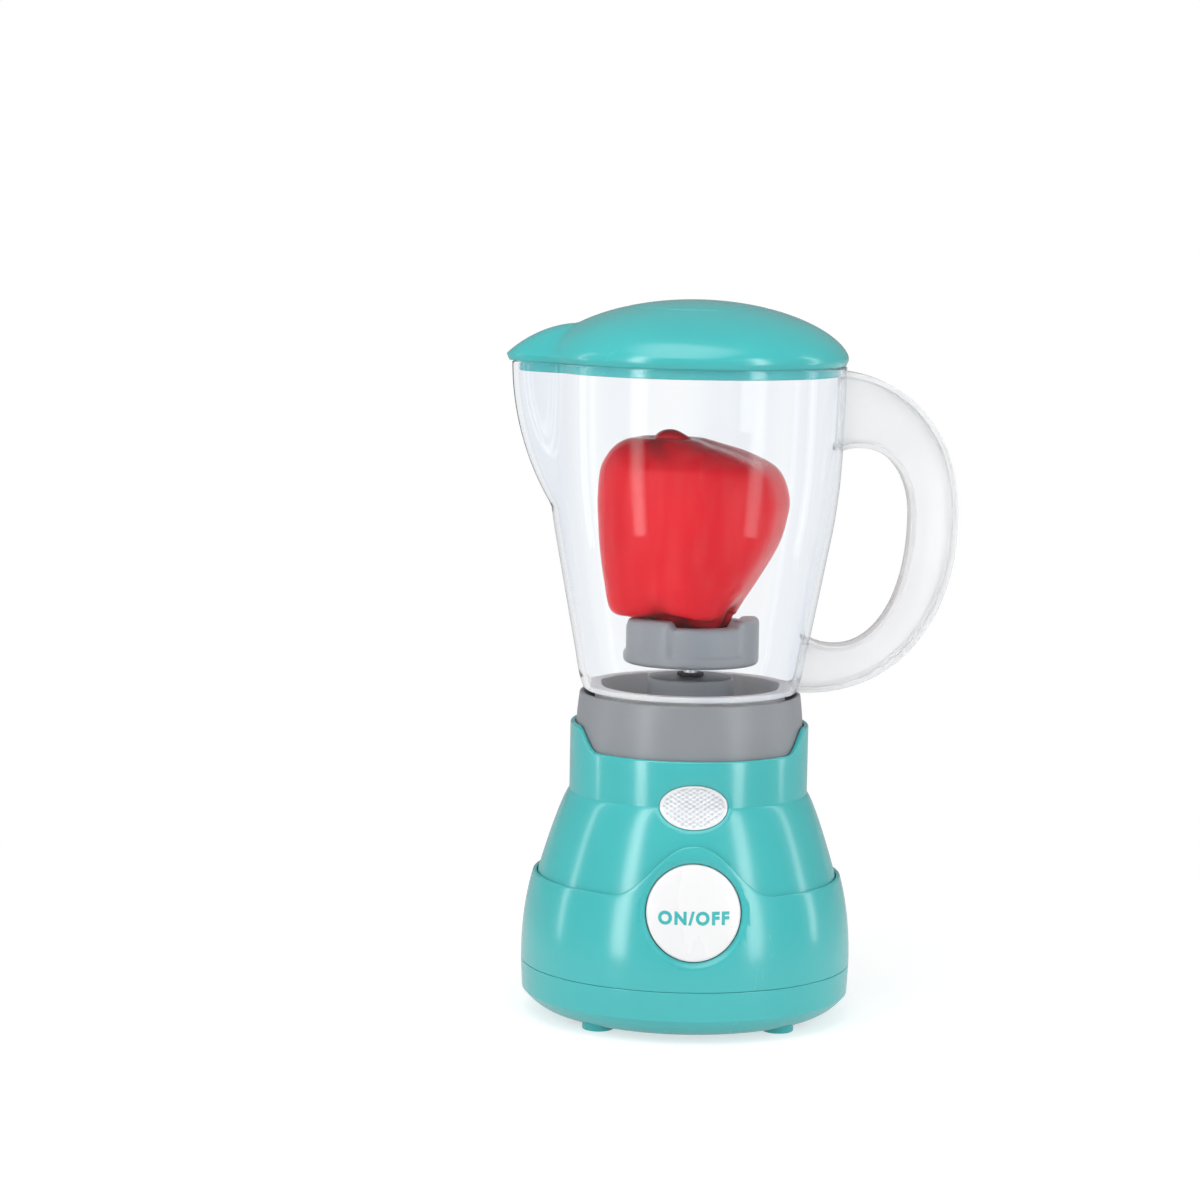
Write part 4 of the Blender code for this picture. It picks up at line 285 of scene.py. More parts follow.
# The pepper: rings from its lowest lobe to its stalk, as height, left and right shares
PEPPER_ROOM = 0.0165
PEPPER_RADIUS = JUG_TOP_RADIUS - WALL - PEPPER_ROOM
PEPPER_DEPTH_SHARE = 0.92
PEPPER_SEAT = ROTOR_TOP + 2 * GAP
PEPPER_HEIGHT = 0.0643
PEPPER_SHARES = (
    (-0.106, 0.0, 0.12),
    (-0.095, -0.14, 0.27),
    (-0.05, -0.36, 0.38),
    (0.0, -0.46, 0.43),
    (0.01, -0.68, 0.46),
    (0.04, -0.85, 0.5),
    (0.195, -0.923, 0.693),
    (0.366, -0.97, 0.884),
    (0.5, -0.99, 0.97),
    (0.64, -1.0, 1.0),
    (0.788, -0.976, 0.884),
    (0.873, -0.893, 0.6),
    (0.93, -0.78, 0.25),
    (0.957, -0.64, 0.05),
    (0.945, -0.5, -0.1),
    (0.93, -0.42, -0.2),
)
PEPPER_LOBES = 4
PEPPER_LOBE_SHARE = 0.035
PEPPER_LOBE_ANGLE = math.radians(25)
PEPPER_CREASE_SHARE = 0.03
PEPPER_CREASE_SIDE_SHARE = 0.5
PEPPER_CREASE_END_SHARE = 2
PEPPER_CREASE_WIDTH_SHARE = 5
PEPPER_LEAST_SHARE = 0.004
PEPPER_FOOT_SHARE = 0.16
PEPPER_FOOT_RUN_SHARE = 0.2
PEPPER_SHOULDER_SHARE = 0.8
PEPPER_SHOULDER_RUN_SHARE = 0.14
PEPPER_SAG_SHARE = 0.018
PEPPER_SAG_START_SHARE = 0.1
PEPPER_SAG_RUN_SHARE = 0.12
PEPPER_SAG_WIDTH_SHARE = 0.5
PEPPER_DENT_SHARE = 0.93
PEPPER_DENT_RUN_SHARE = 0.05
# How dark the painted shade is in the pepper's folds, more near its ends, in the dent round its stalk
# and at its two poles
FOLD_SHADE_SIDE_SHARE = 0.25
FOLD_SHADE_END_SHARE = 0.6
FOLD_SHADE_DENT_SHARE = 0.5
FOLD_SHADE_POLE_SHARES = (0.3, 0.9)
PEPPER_SHARP_ANGLE = math.radians(70)
CURL_SHARES = (
    (-0.42, 0.925, 0.05),
    (-0.36, 0.985, 0.055),
    (-0.25, 1.0, 0.065),
    (-0.12, 0.97, 0.06),
    (0.02, 0.925, 0.05),
    (0.14, 0.88, 0.03),
)
CURL_DEPTH_SHARE = 1.9
CURL_FRONT_SHARE = 0.16
CURL_THICKNESS_SHARE = 0.62
CURL_FADE_SHARE = 4
CURL_TIP_SHARE = 0.02
# Painted shade over the whole curl
CURL_SHADE_SHARE = 0.75

# The button and its spring
BUTTON_DROP = 0.0048
BUTTON_HEIGHT = SKIRT_TOP - BUTTON_DROP
BUTTON_PLAY = 0.00035
BUTTON_WALL = 0.0016
BUTTON_DOME = 0.0007
BUTTON_EDGE = 0.0009
BUTTON_FACE_WALL = 0.002
STEM_RADIUS = 0.003
WELL_RADIUS = BUTTON_RADIUS + BUTTON_PLAY
WELL_WALL = 0.00125
TUBE_RADIUS = WELL_RADIUS + WELL_WALL
WELL_LIP = 0.0017
WELL_LIP_DEPTH = 0.0011
WELL_LIP_SHARES = (1.15, 0.97, 0.7, 0.35, 0)
SPRING_RADIUS = 0.0062
SPRING_WIRE = 0.00035
SPRING_TURNS = 5
LEGEND_HEIGHT = 0.0046
LEGEND_WIDTH = 0.0241
LEGEND_BOLD = 0.00023
LEGEND_SPACING_SHARE = 1.25
LEGEND_RISE = 0.00006
LEGEND_DROP = 0.0012
LEGEND_SLICES = 48
LEGEND_MERGE = 1e-6

# The lens
LENS_RISE = 0.0005
LENS_HEIGHT = CREASE + LENS_RISE
LENS_HALF_WIDTH = 0.01165
LENS_HALF_HEIGHT = 0.00735
LENS_RECESS = 0.0005
LENS_FLANGE = 0.0015
LENS_FLANGE_THICKNESS = 0.0015
LENS_DEPTH = 0.0082
LENS_BACK = -(NECK_RADIUS - LENS_DEPTH)
LENS_LIP = 0.0011
LENS_LIP_DEPTH = 0.0006
LENS_LIP_ANGLES = (math.radians(20), math.radians(90))
LENS_LIP_START_SHARE = 0.25
LENS_EDGE = 0.0004
LENS_FACE_SHARES = (0.01, 0.955)
LENS_EDGE_SHARE = 0.965
LENS_AXIS_SHARE = 0.05
LENS_HOLE_AXIS_SHARE = 0.02
LENS_SHARP_ANGLE = math.radians(12)
POCKET_HALF_WIDTH = 0.009
POCKET_HALF_HEIGHT = 0.005
POCKET_DEPTH = 0.005
PRISM_PITCH = 0.0016
PRISM_DEPTH = 0.0004
PRISM_RIM_SHARE = 0.9
PRISM_FADE_SHARE = 0.03
PRISM_LEAN_SHARE = 0.62

# The camera and the ground
CAMERA_AZIMUTH = math.radians(-3)
CAMERA_DISTANCE = 1.25
CAMERA_HEIGHT = 0.287
CAMERA_PITCH = math.radians(6.48)
CAMERA_ROLL = math.radians(-1.2)
CAMERA_LENS = 108
CAMERA_SENSOR = 36
PHOTO_WIDTH = 1200
PHOTO_MIDDLE = 691.9
FLOOR_RINGS = (0.01, 0.1, 0.3, 1.0, 9)
FLOOR_CLEAR_START = 0.14
FLOOR_CLEAR_END = 0.42
FLOOR_GLOW_SHARE = 0.5

# Textures: each noise is a scale and a detail, with its stretch and the range it is read over
BUMP_DISTANCE = 0.0002
PEEL_NOISE = (700, 2)
DRIFT_NOISE = (22, 3)
DRIFT_RANGE = (0.3, 0.7)
SPECK_NOISE = (2600, 1)
MARK_NOISE = (45, 6)
MARK_STRETCH = (1, 1, 0.12)
MARK_RANGE = (0.35, 0.75)
SCRATCH_SCALE = 130
SCRATCH_DETAIL = 2
SCRATCH_TURNS = ((0.3, 0.5, 0.1), (1.2, 0.2, 0.9))
SCRATCH_STRETCH = (1, 14, 1)
SCRATCH_RANGE = (0.66, 0.72)
SCRATCH_AMOUNT = 0.05
PATCH_NOISE = (16, 2)
PATCH_RANGE = (0.45, 0.7)
FLOW_NOISE = (42, 1)
FLOW_STRETCH = (1, 1, 0.04)
FLOW_RANGE = (0.42, 0.66)
CLEAR_FLOW_SHARES = (0.93, 0.945, 0.965)
# Painted shade on the clear jug at glancing angles: blend and power of the facing weight
GLANCE_BLEND = 0.35
GLANCE_POWER = 2.4
FROST_REACH = (0.054, 0.062)
FROST_ROUGHNESSES = (0.006, 0.05)
RIPPLE_NOISE = (60, 2)
RIPPLE_STRENGTH = 0.015
RIPPLE_DISTANCE = 0.001
BRUSH_NOISE = (120, 4)
BRUSH_STRETCH = (1, 1, 30)
BRUSH_RANGE = (0.3, 0.7)
BRUSH_ROUGHNESS = 0.12
BRUSH_BUMP = 0.1
METAL_DARK_SHARES = (0.8, 0.8, 0.8)
STREAK_NOISE = (190, 3)
STREAK_STRETCH = (1, 1, 0.1)
STREAK_RANGE = (0.4, 0.75)
STREAK_SHARE = 0.14
# Painted shade in the pepper's folds: the range over which its mark darkens the skin
FOLD_SHADE_RANGE = (0.25, 1.0)
# Painted sheen on the pepper: it turns lighter at glancing angles by this blend, range and share
SKIN_SHEEN_BLEND = 0.3
SKIN_SHEEN_RANGE = (0.35, 0.95)
SKIN_SHEEN_SHARE = 0.6
# Painted shade in the lens's prism grooves: the range of their depth and the darker colour's shares
LENS_GROOVE_SHADE_RANGE = (0.3, 0.85)
LENS_GROOVE_SHADE_SHARES = (0.76, 0.79, 0.83)
CELL_BAND_SHARES = (0.70, 0.704)
CELL_END_SHARES = ((0.975, 0.978), (0.025, 0.022))
COPPER_METALLIC = 0.8
TRACK_SCALE = 170
TRACK_WIDTH_SHARE = 0.06
TRACK_BUMP = 0.2
PAD_SCALE = 260
PAD_RANDOMNESS = 0.25
PAD_RANGE = (0.24, 0.2)

# Colours and gloss that the sidebar leaves out
PLASTIC_IOR = 1.5
CLEAR_IOR = 1.2
FROSTED_IOR = 1.3
COAT_ROUGHNESS = 0.12
BLACK = (0.03, 0.03, 0.034)
CELL_BLUE = (0.02, 0.04, 0.16, 1)
CELL_COPPER = (0.75, 0.36, 0.12, 1)
CELL_STEEL = (0.6, 0.6, 0.62, 1)
BOARD_GREENS = ((0.012, 0.12, 0.04, 1), (0.014, 0.14, 0.05, 1), (0.03, 0.24, 0.09, 1))
BOARD_TIN = (0.7, 0.68, 0.62, 1)
WHITE = (1, 1, 1, 1)

# What the node groups take: names, kinds and values
MOULDED_INPUTS = (
    ("Colour", "Color", (0.5, 0.5, 0.5, 1)),
    ("Drift", "Float", 0.05),
    ("Roughness", "Float", 0.3),
    ("Unevenness", "Float", 0.08),
    ("Grain", "Float", 0.3),
)
SCRATCHED_INPUTS = (
    ("Roughness", "Float", 0.05),
    ("Amount", "Float", 0.1),
    ("Spread", "Float", SCRATCH_SCALE),
)

# Roughness, drift of colour, unevenness of gloss and orange peel; the milky ones bring their roughness
LENS_MOULD = (0.1, 0.08, 0.1, 0)
SKIN_MOULD = (0.24, 0.06, 0.1, 0.1)
CELL_MOULD = (0.28, 0.04, 0.08, 0.06)
MILKY_MOULD = (0.03, 0.12, 0.1)
LENS_GLOSS = {"Transmission Weight": 0.1, "IOR": PLASTIC_IOR, "Coat Weight": 0.5}
SKIN_GLOSS = {"Coat Weight": 0.3, "Coat Roughness": 0.42, "Specular IOR Level": 0.18, "IOR": 1.3}
BOARD_GLOSS = {"Roughness": 0.35}

# Moulded plastics: roughness, drift, unevenness, orange peel and coat
PLASTICS = {
    "teal": (0.2, 0.03, 0.07, 0.08, 0.35),
    "grey": (0.34, 0.05, 0.08, 0.14, 0.0),
    "white": (0.26, 0.02, 0.06, 0.08, 0.2),
    "black": (0.42, 0.08, 0.1, 0.15, 0.0),
}

# Milky plastics: how much shines through, and roughness
FROSTED_PLASTICS = {"frosted": (0.12, 0.3), "milky": (0.64, 0.14)}

# Metals: colour and roughness
METALS = {
    "steel": ((0.62, 0.62, 0.64), 0.24),
    "can": ((0.52, 0.53, 0.55), 0.32),
    "brass": ((0.78, 0.56, 0.24), 0.28),
}

# Softboxes: name, place, the point it faces, width and height, and its share of the level
SOFTBOX_STEPS = 25
SOFTBOX_FADE_SHARES = (0.25, 0.85)
SOFTBOXES = (
    ("left_strip", (-0.33, -0.31, 0.25), (0, 0, 0.25), (0.13, 0.76), 1.0),
    ("right_strip", (0.32, -0.33, 0.25), (0, 0, 0.25), (0.14, 0.76), 0.9),
    ("left_edge", (-0.5, 0.06, 0.25), (0, 0, 0.25), (0.06, 0.7), 0.7),
    ("right_edge", (0.5, 0.04, 0.25), (0, 0, 0.25), (0.09, 0.7), 0.6),
    ("overhead", (-0.15, -0.35, 0.95), (0, 0, 0.1), (1.2, 0.9), 0.36),
)

# How finely surfaces are drawn: steps round them, rows along them and sides of their tubes
ROUND_STEPS = 192
POST_STEPS = 48
CORNER_STEPS = 6
BEVEL_STEPS = 3
ARC_STEPS = 5
PAN_CORNER_STEPS = 14
RIDGE_ROWS = 9
RIDGE_SIDES = 12
CELL_STEPS = 64
SKIRT_ROWS = 26
SKIRT_INNER_ROWS = 14
PLUG_ROWS = 8
PLUG_STEPS = 96
WELL_STEPS = 128
BELL_ROWS = 22
LENS_HOLE_STEPS = 160
BUSH_STEPS = 96
ROTOR_STEPS = 288
SHAFT_STEPS = 64
HANDLE_ROWS = 110
WALL_STEPS = 60
CORE_ROWS = 40
LID_STEPS = 240
LID_CAP_ROWS = 20
LID_ROWS = 34
LID_UNDER_ROWS = 26
PEPPER_STEPS = 168
PEPPER_ROWS = 132
CURL_ROWS = 40
CURL_SIDES = 28
BUTTON_STEPS = 128
BUTTON_ROWS = 22
BUTTON_EDGE_STEPS = 7
LEGEND_CURVE_STEPS = 8
SPRING_TURN_STEPS = 28
SPRING_SIDES = 10
LENS_STEPS = 288
LENS_ROWS = 84
SCREW_STEPS = 48
SCREW_HEAD_ROWS = 18
SCREW_ROWS = 70
FLOOR_STEPS = 64

# A length that no divisor falls below, a line that no tube follows, and the angle of a sharp edge
LEAST_LENGTH = 1e-12
TUBE_SIDE = (0.0, 1.0, 0.02)
SHARP_ANGLE = math.radians(38)


# Shapes as functions of angle and height
def smooth_step(share):
    """0 below 0, 1 above 1, and a smooth rise between."""
    share = np.clip(share, 0, 1)
    return share * share * (3 - 2 * share)


def wave(angle):
    """Height of the skirt's top edge: level, plus a cosine arch over the button at -Y."""
    share = np.abs(np.cos(angle)) * (BASE_RADIUS - SKIRT_TAPER) / ARCH_HALF_WIDTH
    bump = (1 + np.cos(math.pi * np.minimum(share, 1) ** ARCH_FULLNESS_SHARE)) / 2
    return SKIRT_TOP + ARCH_HEIGHT * np.where(np.sin(angle) > 0, 0, bump)


def bell_radius(height):
    """Outer radius of the upper housing: straight above the crease, a power of the drop below it."""
    drop = np.maximum(CREASE - height, 0) / BELL_HEIGHT
    return NECK_RADIUS + BELL_FLARE * drop**BELL_CURVE_SHARE


def skirt_radius(height):
    """Outer radius of the lower housing: tapering up to the level edge, proud of the bell above it."""
    rise = np.maximum(height - SEAM, 0) / SKIRT_HEIGHT
    low = BASE_RADIUS - SKIRT_TAPER * rise**SKIRT_TAPER_SHARE
    return np.where(height >= SKIRT_TOP, bell_radius(height) + SKIRT_PROUD, low)


def ear_height(angle):
    """Height of the upper housing's edge: low at front and back, with a smooth ear on each side."""
    from_side = np.arcsin(np.minimum(np.abs(np.sin(angle)), 1))
    run = EAR_END_ANGLE - EAR_FLAT_ANGLE
    return NECK_TOP + EAR_RISE * smooth_step((EAR_END_ANGLE - from_side) / run)


def spout_shape(angle):
    """1 at the middle of the spout at -X, falling as a squared cosine to 0 at its sides."""
    off = np.abs((angle + 2 * math.pi) % (2 * math.pi) - math.pi)
    share = np.minimum(off / SPOUT_HALF_ANGLE, 1)
    return np.cos(math.pi / 2 * share) ** 2


def eased(keys, values, at):
    """Values between a table's points, on cubics that share their slopes where they meet."""
    keys, values, at = np.asarray(keys, float), np.asarray(values, float), np.asarray(at, float)
    slopes = np.gradient(values, keys)
    index = np.clip(np.searchsorted(keys, at, side="right") - 1, 0, len(keys) - 2)
    width = keys[index + 1] - keys[index]
    share = (at - keys[index]) / width
    rise = smooth_step(share)
    first = share * (1 - share) ** 2 * slopes[index]
    second = share * share * (share - 1) * slopes[index + 1]
    return values[index] + (values[index + 1] - values[index]) * rise + width * (first + second)


def jug_radius(share, angle, inset=0):
    """Radius of the jug's wall: an eased widening, plus the spout, a parabola near the top."""
    widening = eased(JUG_RISE_SHARES, JUG_WIDENING_SHARES, share)
    radius = JUG_FOOT_RADIUS + (JUG_TOP_RADIUS - JUG_FOOT_RADIUS) * widening - inset
    rise = np.clip(1 - JUG_HEIGHT * (1 - share) / SPOUT_HEIGHT, 0, 1)
    return radius + SPOUT_REACH * (1 - (1 - rise) ** 2) * spout_shape(angle)


def lid_rim(angle):
    """Radius of the lid's edge: round, drawn out over the spout."""
    return JUG_TOP_RADIUS + LID_OVERHANG + LID_SPOUT * spout_shape(angle)


def lid_height(radius, angle):
    """Height of the lid's top: a power of a circle's height, or the spout's cover if higher."""
    share = np.minimum(radius / (JUG_TOP_RADIUS + LID_OVERHANG), 1)
    dome = LID_RISE * (1 - share**2) ** LID_CURVE_SHARE
    run = np.clip((radius - LID_COVER_START) / (lid_rim(angle) - LID_COVER_START), 0, 1)
    cover = LID_COVER_RISE * (1 - run**2) ** LID_COVER_CURVE_SHARE
    return LID_RIM_TOP + np.maximum(dome, cover * spout_shape(angle) ** LID_COVER_SIDE_SHARE)


def forward(radius_at, shift=0.0):
    """Depth of a turned surface's front at x and z: a circle's height over its chord, plus a shift."""
    return lambda x, z: -np.sqrt(radius_at(z) ** 2 - x**2) + shift


# Surfaces on a grid of two parameters
def unit(vectors):
    """Vectors of length one."""
    return vectors / np.maximum(np.linalg.norm(vectors, axis=-1, keepdims=True), LEAST_LENGTH)


def full_turn(steps):
    """Even angles round a circle."""
    return np.linspace(0, 2 * math.pi, steps, endpoint=False)


def rounded(points, cuts, closed=True):
    """Rows of points along an outline whose corners become parabolas, each as long as its cut."""
    rows = []
    last = len(points) - 1
    for index, cut in enumerate(cuts):
        here = points[index]
        if not cut or (not closed and index in (0, last)):
            rows.append(here)
            continue
        before = points[index - 1] - here
        after = points[(index + 1) % len(points)] - here
        room = np.minimum(np.linalg.norm(before, axis=-1), np.linalg.norm(after, axis=-1)) / 2
        reach = np.minimum(cut, room)[..., None]
        start, end = here + unit(before) * reach, here + unit(after) * reach
        shares = np.linspace(0, 1, CORNER_STEPS)[:, None, None]
        rows.extend((1 - shares) ** 2 * start + 2 * shares * (1 - shares) * here + shares**2 * end)
    return np.array(rows)


def turned(outline, closed=True, steps=ROUND_STEPS, at=(0, 0)):
    """A surface turned about an upright line: each entry is a radius, a height and a rounding."""
    angle = full_turn(steps)
    entries = [entry(angle) if callable(entry) else entry for entry in outline]
    pairs = [
        np.stack((np.broadcast_to(entry[0], angle.shape), np.broadcast_to(entry[1], angle.shape)), -1)
        for entry in entries
    ]
    cuts = [entry[2] if len(entry) > 2 else 0 for entry in entries]
    rows = rounded(np.array(pairs), cuts, closed)
    x = rows[..., 0] * np.cos(angle) + at[0]
    y = rows[..., 0] * np.sin(angle) + at[1]
    return surface(np.stack((x, y, rows[..., 1]), -1), closed)


def surface(grid, along=False):
    """Points and faces over a grid of closed rows, joined end to end or with a fan at each end."""
    rows, columns = grid.shape[:2]
    index = np.arange(rows * columns).reshape(rows, columns)
    low = index if along else index[:-1]
    high = np.roll(index, -1, 0) if along else index[1:]
    faces = np.stack((low, np.roll(low, -1, 1), np.roll(high, -1, 1), high), -1).reshape(-1, 4).tolist()
    points = grid.reshape(-1, 3)
    if not along:
        for row, pole, way in ((0, rows * columns, -1), (rows - 1, rows * columns + 1, 1)):
            fan = (index[row], np.roll(index[row], -way), np.full(columns, pole))
            faces += np.stack(fan, -1).tolist()
        points = np.vstack((points, grid[0].mean(0), grid[-1].mean(0)))
    return outward(points, faces)


def outward(points, faces):
    """The same points and faces, turned round if they enclose a negative volume."""
    volume = 0
    for size in {len(face) for face in faces}:
        loops = np.array([face for face in faces if len(face) == size])
        corners = points[loops]
        for step in range(1, size - 1):
            cross = np.cross(corners[:, step], corners[:, step + 1])
            volume += np.einsum("ij,ij->", corners[:, 0], cross)
    return (points, faces) if volume > 0 else (points, [face[::-1] for face in faces])


def axial(rings, height, steps, wide=1.0, tall=1.0):
    """Rings round a line along Y at this height: each is a radius and a depth, plain or of x and z."""
    turn = full_turn(steps)
    rows = []
    for radius, depth in rings:
        x = radius * wide * np.cos(turn)
        z = height + radius * tall * np.sin(turn)
        y = depth(x, z) if callable(depth) else np.full(steps, float(depth))
        rows.append(np.stack((x, y, z), -1))
    return surface(np.array(rows))


def prism(outline, low, high):
    """An outline seen from above, between two heights."""
    flat = np.array([(x, y, 0) for x, y in outline], float)
    return surface(np.stack((flat + (0, 0, low), flat + (0, 0, high))))


def block(low, high):
    """A box between two corners."""
    outline = [(low[0], low[1]), (high[0], low[1]), (high[0], high[1]), (low[0], high[1])]
    return prism(outline, low[2], high[2])


def stacked(levels, at=(0, 0), steps=POST_STEPS):
    """An upright solid of round steps, from the bottom up: a radius, a height and a rounding each."""
    ends = [(POLE_RADIUS, level[1]) for level in (levels[0], levels[-1])]
    return turned([ends[0], *levels, ends[1]], closed=False, steps=steps, at=at)


def post(radius, at, low, high, edge=0.0, steps=POST_STEPS):
    """An upright round post with rounded ends."""
    return stacked([(radius, low, edge), (radius, high, edge)], at, steps)


def following(height_at, radius_at, inset):
    """An outline entry whose height follows the angle and whose radius follows the height."""

    def entry(angle):
        height = height_at(angle)
        return radius_at(height) - inset, height

    return entry


def tube(path, radius, sides, flatten=(1.0, 1.0)):
    """A round wire along a path: each station's ring lies across the path's direction."""
    path = np.asarray(path, float)
    ahead = unit(np.gradient(path, axis=0))
    across = unit(np.cross(ahead, np.array(TUBE_SIDE)))
    up = np.cross(across, ahead)
    turn = full_turn(sides)
    radius = np.broadcast_to(radius, len(path))[:, None, None]
    ring = np.cos(turn)[None, :, None] * across[:, None] * flatten[0]
    ring = ring + np.sin(turn)[None, :, None] * up[:, None] * flatten[1]
    return surface(path[:, None] + radius * ring)


def moved(solid, matrix):
    """A solid's points through a matrix."""
    points, faces = solid
    turn, shift = np.array(matrix.to_3x3()), np.array(matrix.translation)
    return points @ turn.T + shift, faces


def gathered(solids):
    """Several solids as one list of points and faces."""
    points, faces, start = [], [], 0
    for part, loops in solids:
        points.append(part)
        faces += [[corner + start for corner in face] for face in loops]
        start += len(part)
    return np.vstack(points), faces


# Objects
def placed(name, data):
    """An object at the origin of the scene that holds this mesh, text or camera."""
    obj = bpy.data.objects.new(name, data)
    bpy.context.scene.collection.objects.link(obj)
    return obj


def make_object(name, solid):
    """An object that holds these points and faces."""
    points, faces = solid
    mesh = bpy.data.meshes.new(name)
    mesh.from_pydata(points.tolist(), [], faces)
    mesh.update()
    return placed(name, mesh)


def worked_out(obj):
    """A new mesh of an object as its modifiers or its text make it."""
    bpy.context.view_layer.update()
    view = bpy.context.evaluated_depsgraph_get()
    return bpy.data.meshes.new_from_object(obj.evaluated_get(view))


def settled(obj):
    """The object with its modifiers worked into its mesh."""
    old = obj.data
    mesh = worked_out(obj)
    obj.modifiers.clear()
    obj.data = mesh
    bpy.data.meshes.remove(old)
    return obj


def carve(obj, solids, operation="DIFFERENCE"):
    """Cuts solids out of an object, joins them to it, or keeps only what they share."""
    helper = make_object("helper", gathered(solids))
    modifier = obj.modifiers.new("carve", "BOOLEAN")
    modifier.operation = operation
    modifier.solver = "EXACT"
    modifier.object = helper
    settled(obj)
    bpy.data.objects.remove(helper)
    if not len(obj.data.polygons):
        raise RuntimeError(f"nothing is left of {obj.name}")
    return obj


def dress(obj, material, body, nodes=(), slot=None, sharp=SHARP_ANGLE):
    """Finishes a piece: smooth shading, material, body, and the frame's nodes that it stands for."""
    obj.data.shade_smooth()
    obj.data.set_sharp_from_angle(angle=sharp)
    obj.data.materials.clear()
    obj.data.materials.append(material)
    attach(obj, body)
    if nodes:
        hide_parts(*nodes)
    slot or material.name
    return obj


def bevelled(obj, width):
    """The object with a rounded bevel on its sharp edges."""
    modifier = obj.modifiers.new("edges", "BEVEL")
    modifier.width = width
    modifier.segments = BEVEL_STEPS
    modifier.limit_method = "ANGLE"
    modifier.angle_limit = SHARP_ANGLE
    return settled(obj)


def mark(obj, label, values):
    """A value on each point, under a name that the piece's material reads."""
    obj.data.attributes.new(label, "FLOAT", "POINT").data.foreach_set("value", values)


def points_of(mesh):
    """A mesh's points as rows."""
    points = np.empty(len(mesh.vertices) * 3)
    mesh.vertices.foreach_get("co", points)
    return points.reshape(-1, 3)


# Shader nodes
def add_node(tree, kind, inputs=None, **settings):
    """A shader node with its settings, and its inputs set to values or joined to other sockets."""
    made = tree.nodes.new(kind)
    for key, value in settings.items():
        setattr(made, key, value)
    for key, value in (inputs or {}).items():
        if isinstance(value, bpy.types.NodeSocket):
            tree.links.new(value, made.inputs[key])
        else:
            made.inputs[key].default_value = value
    return made


def add_math(tree, operation, first, second):
    """The result of one sum on numbers or sockets."""
    return add_node(tree, "ShaderNodeMath", {0: first, 1: second}, operation=operation).outputs[0]


def add_range(tree, value, low, high, start=0.0, end=1.0):
    """A value carried smoothly from one range to another, and held at its ends."""
    inputs = {"Value": value, "From Min": low, "From Max": high, "To Min": start, "To Max": end}
    made = add_node(tree, "ShaderNodeMapRange", inputs, interpolation_type="SMOOTHSTEP", clamp=True)
    return made.outputs["Result"]


def add_mix(tree, factor, first, second):
    """A colour between two colours or sockets."""
    inputs = {0: factor, 6: first, 7: second}
    return add_node(tree, "ShaderNodeMix", inputs, data_type="RGBA").outputs[2]


def add_place(tree):
    """The place on the piece, in its own coordinates."""
    return add_node(tree, "ShaderNodeTexCoord").outputs["Object"]


def add_mapping(tree, place, stretch=(1, 1, 1), turn=(0, 0, 0)):
    """A place turned and stretched."""
    inputs = {"Vector": place, "Scale": stretch, "Rotation": turn}
    return add_node(tree, "ShaderNodeMapping", inputs).outputs[0]


def add_noise(tree, place, scale, detail):
    """Smooth noise over a place."""
    inputs = {"Vector": place, "Scale": scale, "Detail": detail}
    return add_node(tree, "ShaderNodeTexNoise", inputs).outputs["Fac"]


def add_mark(tree, label):
    """The value that a piece's points carry under this name."""
    return add_node(tree, "ShaderNodeAttribute", attribute_name=label).outputs["Fac"]


def add_group(tree, group, inputs):
    """A group placed in a material's tree with its own values."""
    return add_node(tree, "ShaderNodeGroup", inputs, node_tree=group).outputs


def set_inputs(node, values):
    """Values on a shader's own sockets."""
    for key, value in values.items():
        node.inputs[key].default_value = value


def bump_into(tree, shader, height, strength, distance=BUMP_DISTANCE):
    """A bump that tilts a shader's surface."""
    inputs = {"Height": height, "Strength": strength, "Distance": distance}
    bump = add_node(tree, "ShaderNodeBump", inputs)
    tree.links.new(bump.outputs[0], shader.inputs["Normal"])


def dimmed(colour, shares):
    """A colour with each part multiplied by its own share."""
    return (*(part * share for part, share in zip(colour, shares)), 1)


def effect_group(name, inputs, outputs):
    """An empty node group with named sockets: its tree, and what starts and ends inside it."""
    tree = bpy.data.node_groups.new(name, "ShaderNodeTree")
    for label, kind, value in inputs:
        socket = tree.interface.new_socket(label, in_out="INPUT", socket_type=f"NodeSocket{kind}")
        socket.default_value = value
    for label, kind in outputs:
        tree.interface.new_socket(label, in_out="OUTPUT", socket_type=f"NodeSocket{kind}")
    start = tree.nodes.new("NodeGroupInput")
    end = tree.nodes.new("NodeGroupOutput")
    return tree, start.outputs, end.inputs


def moulded_plastic():
    """Colour drift, uneven gloss and a fine orange peel, as on moulded plastic."""
    name = "moulded_plastic"
    if name in bpy.data.node_groups:
        return bpy.data.node_groups[name]
    outputs = (("Colour", "Color"), ("Roughness", "Float"), ("Height", "Float"))
    tree, start, end = effect_group(name, MOULDED_INPUTS, outputs)
    place = add_place(tree)
    low = add_math(tree, "SUBTRACT", 1.0, start["Drift"])
    high = add_math(tree, "ADD", 1.0, start["Drift"])
    level = add_range(tree, add_noise(tree, place, *DRIFT_NOISE), *DRIFT_RANGE, low, high)
    hue = add_node(tree, "ShaderNodeHueSaturation", {"Color": start["Colour"], "Value": level})
    tree.links.new(hue.outputs[0], end["Colour"])
    marks = add_noise(tree, add_mapping(tree, place, MARK_STRETCH), *MARK_NOISE)
    uneven = add_math(tree, "MULTIPLY", start["Unevenness"], add_range(tree, marks, *MARK_RANGE))
    tree.links.new(add_math(tree, "ADD", start["Roughness"], uneven), end["Roughness"])
    fine = add_math(tree, "MULTIPLY", add_noise(tree, place, *SPECK_NOISE), start["Grain"])
    tree.links.new(add_math(tree, "ADD", add_noise(tree, place, *PEEL_NOISE), fine), end["Height"])
    return tree


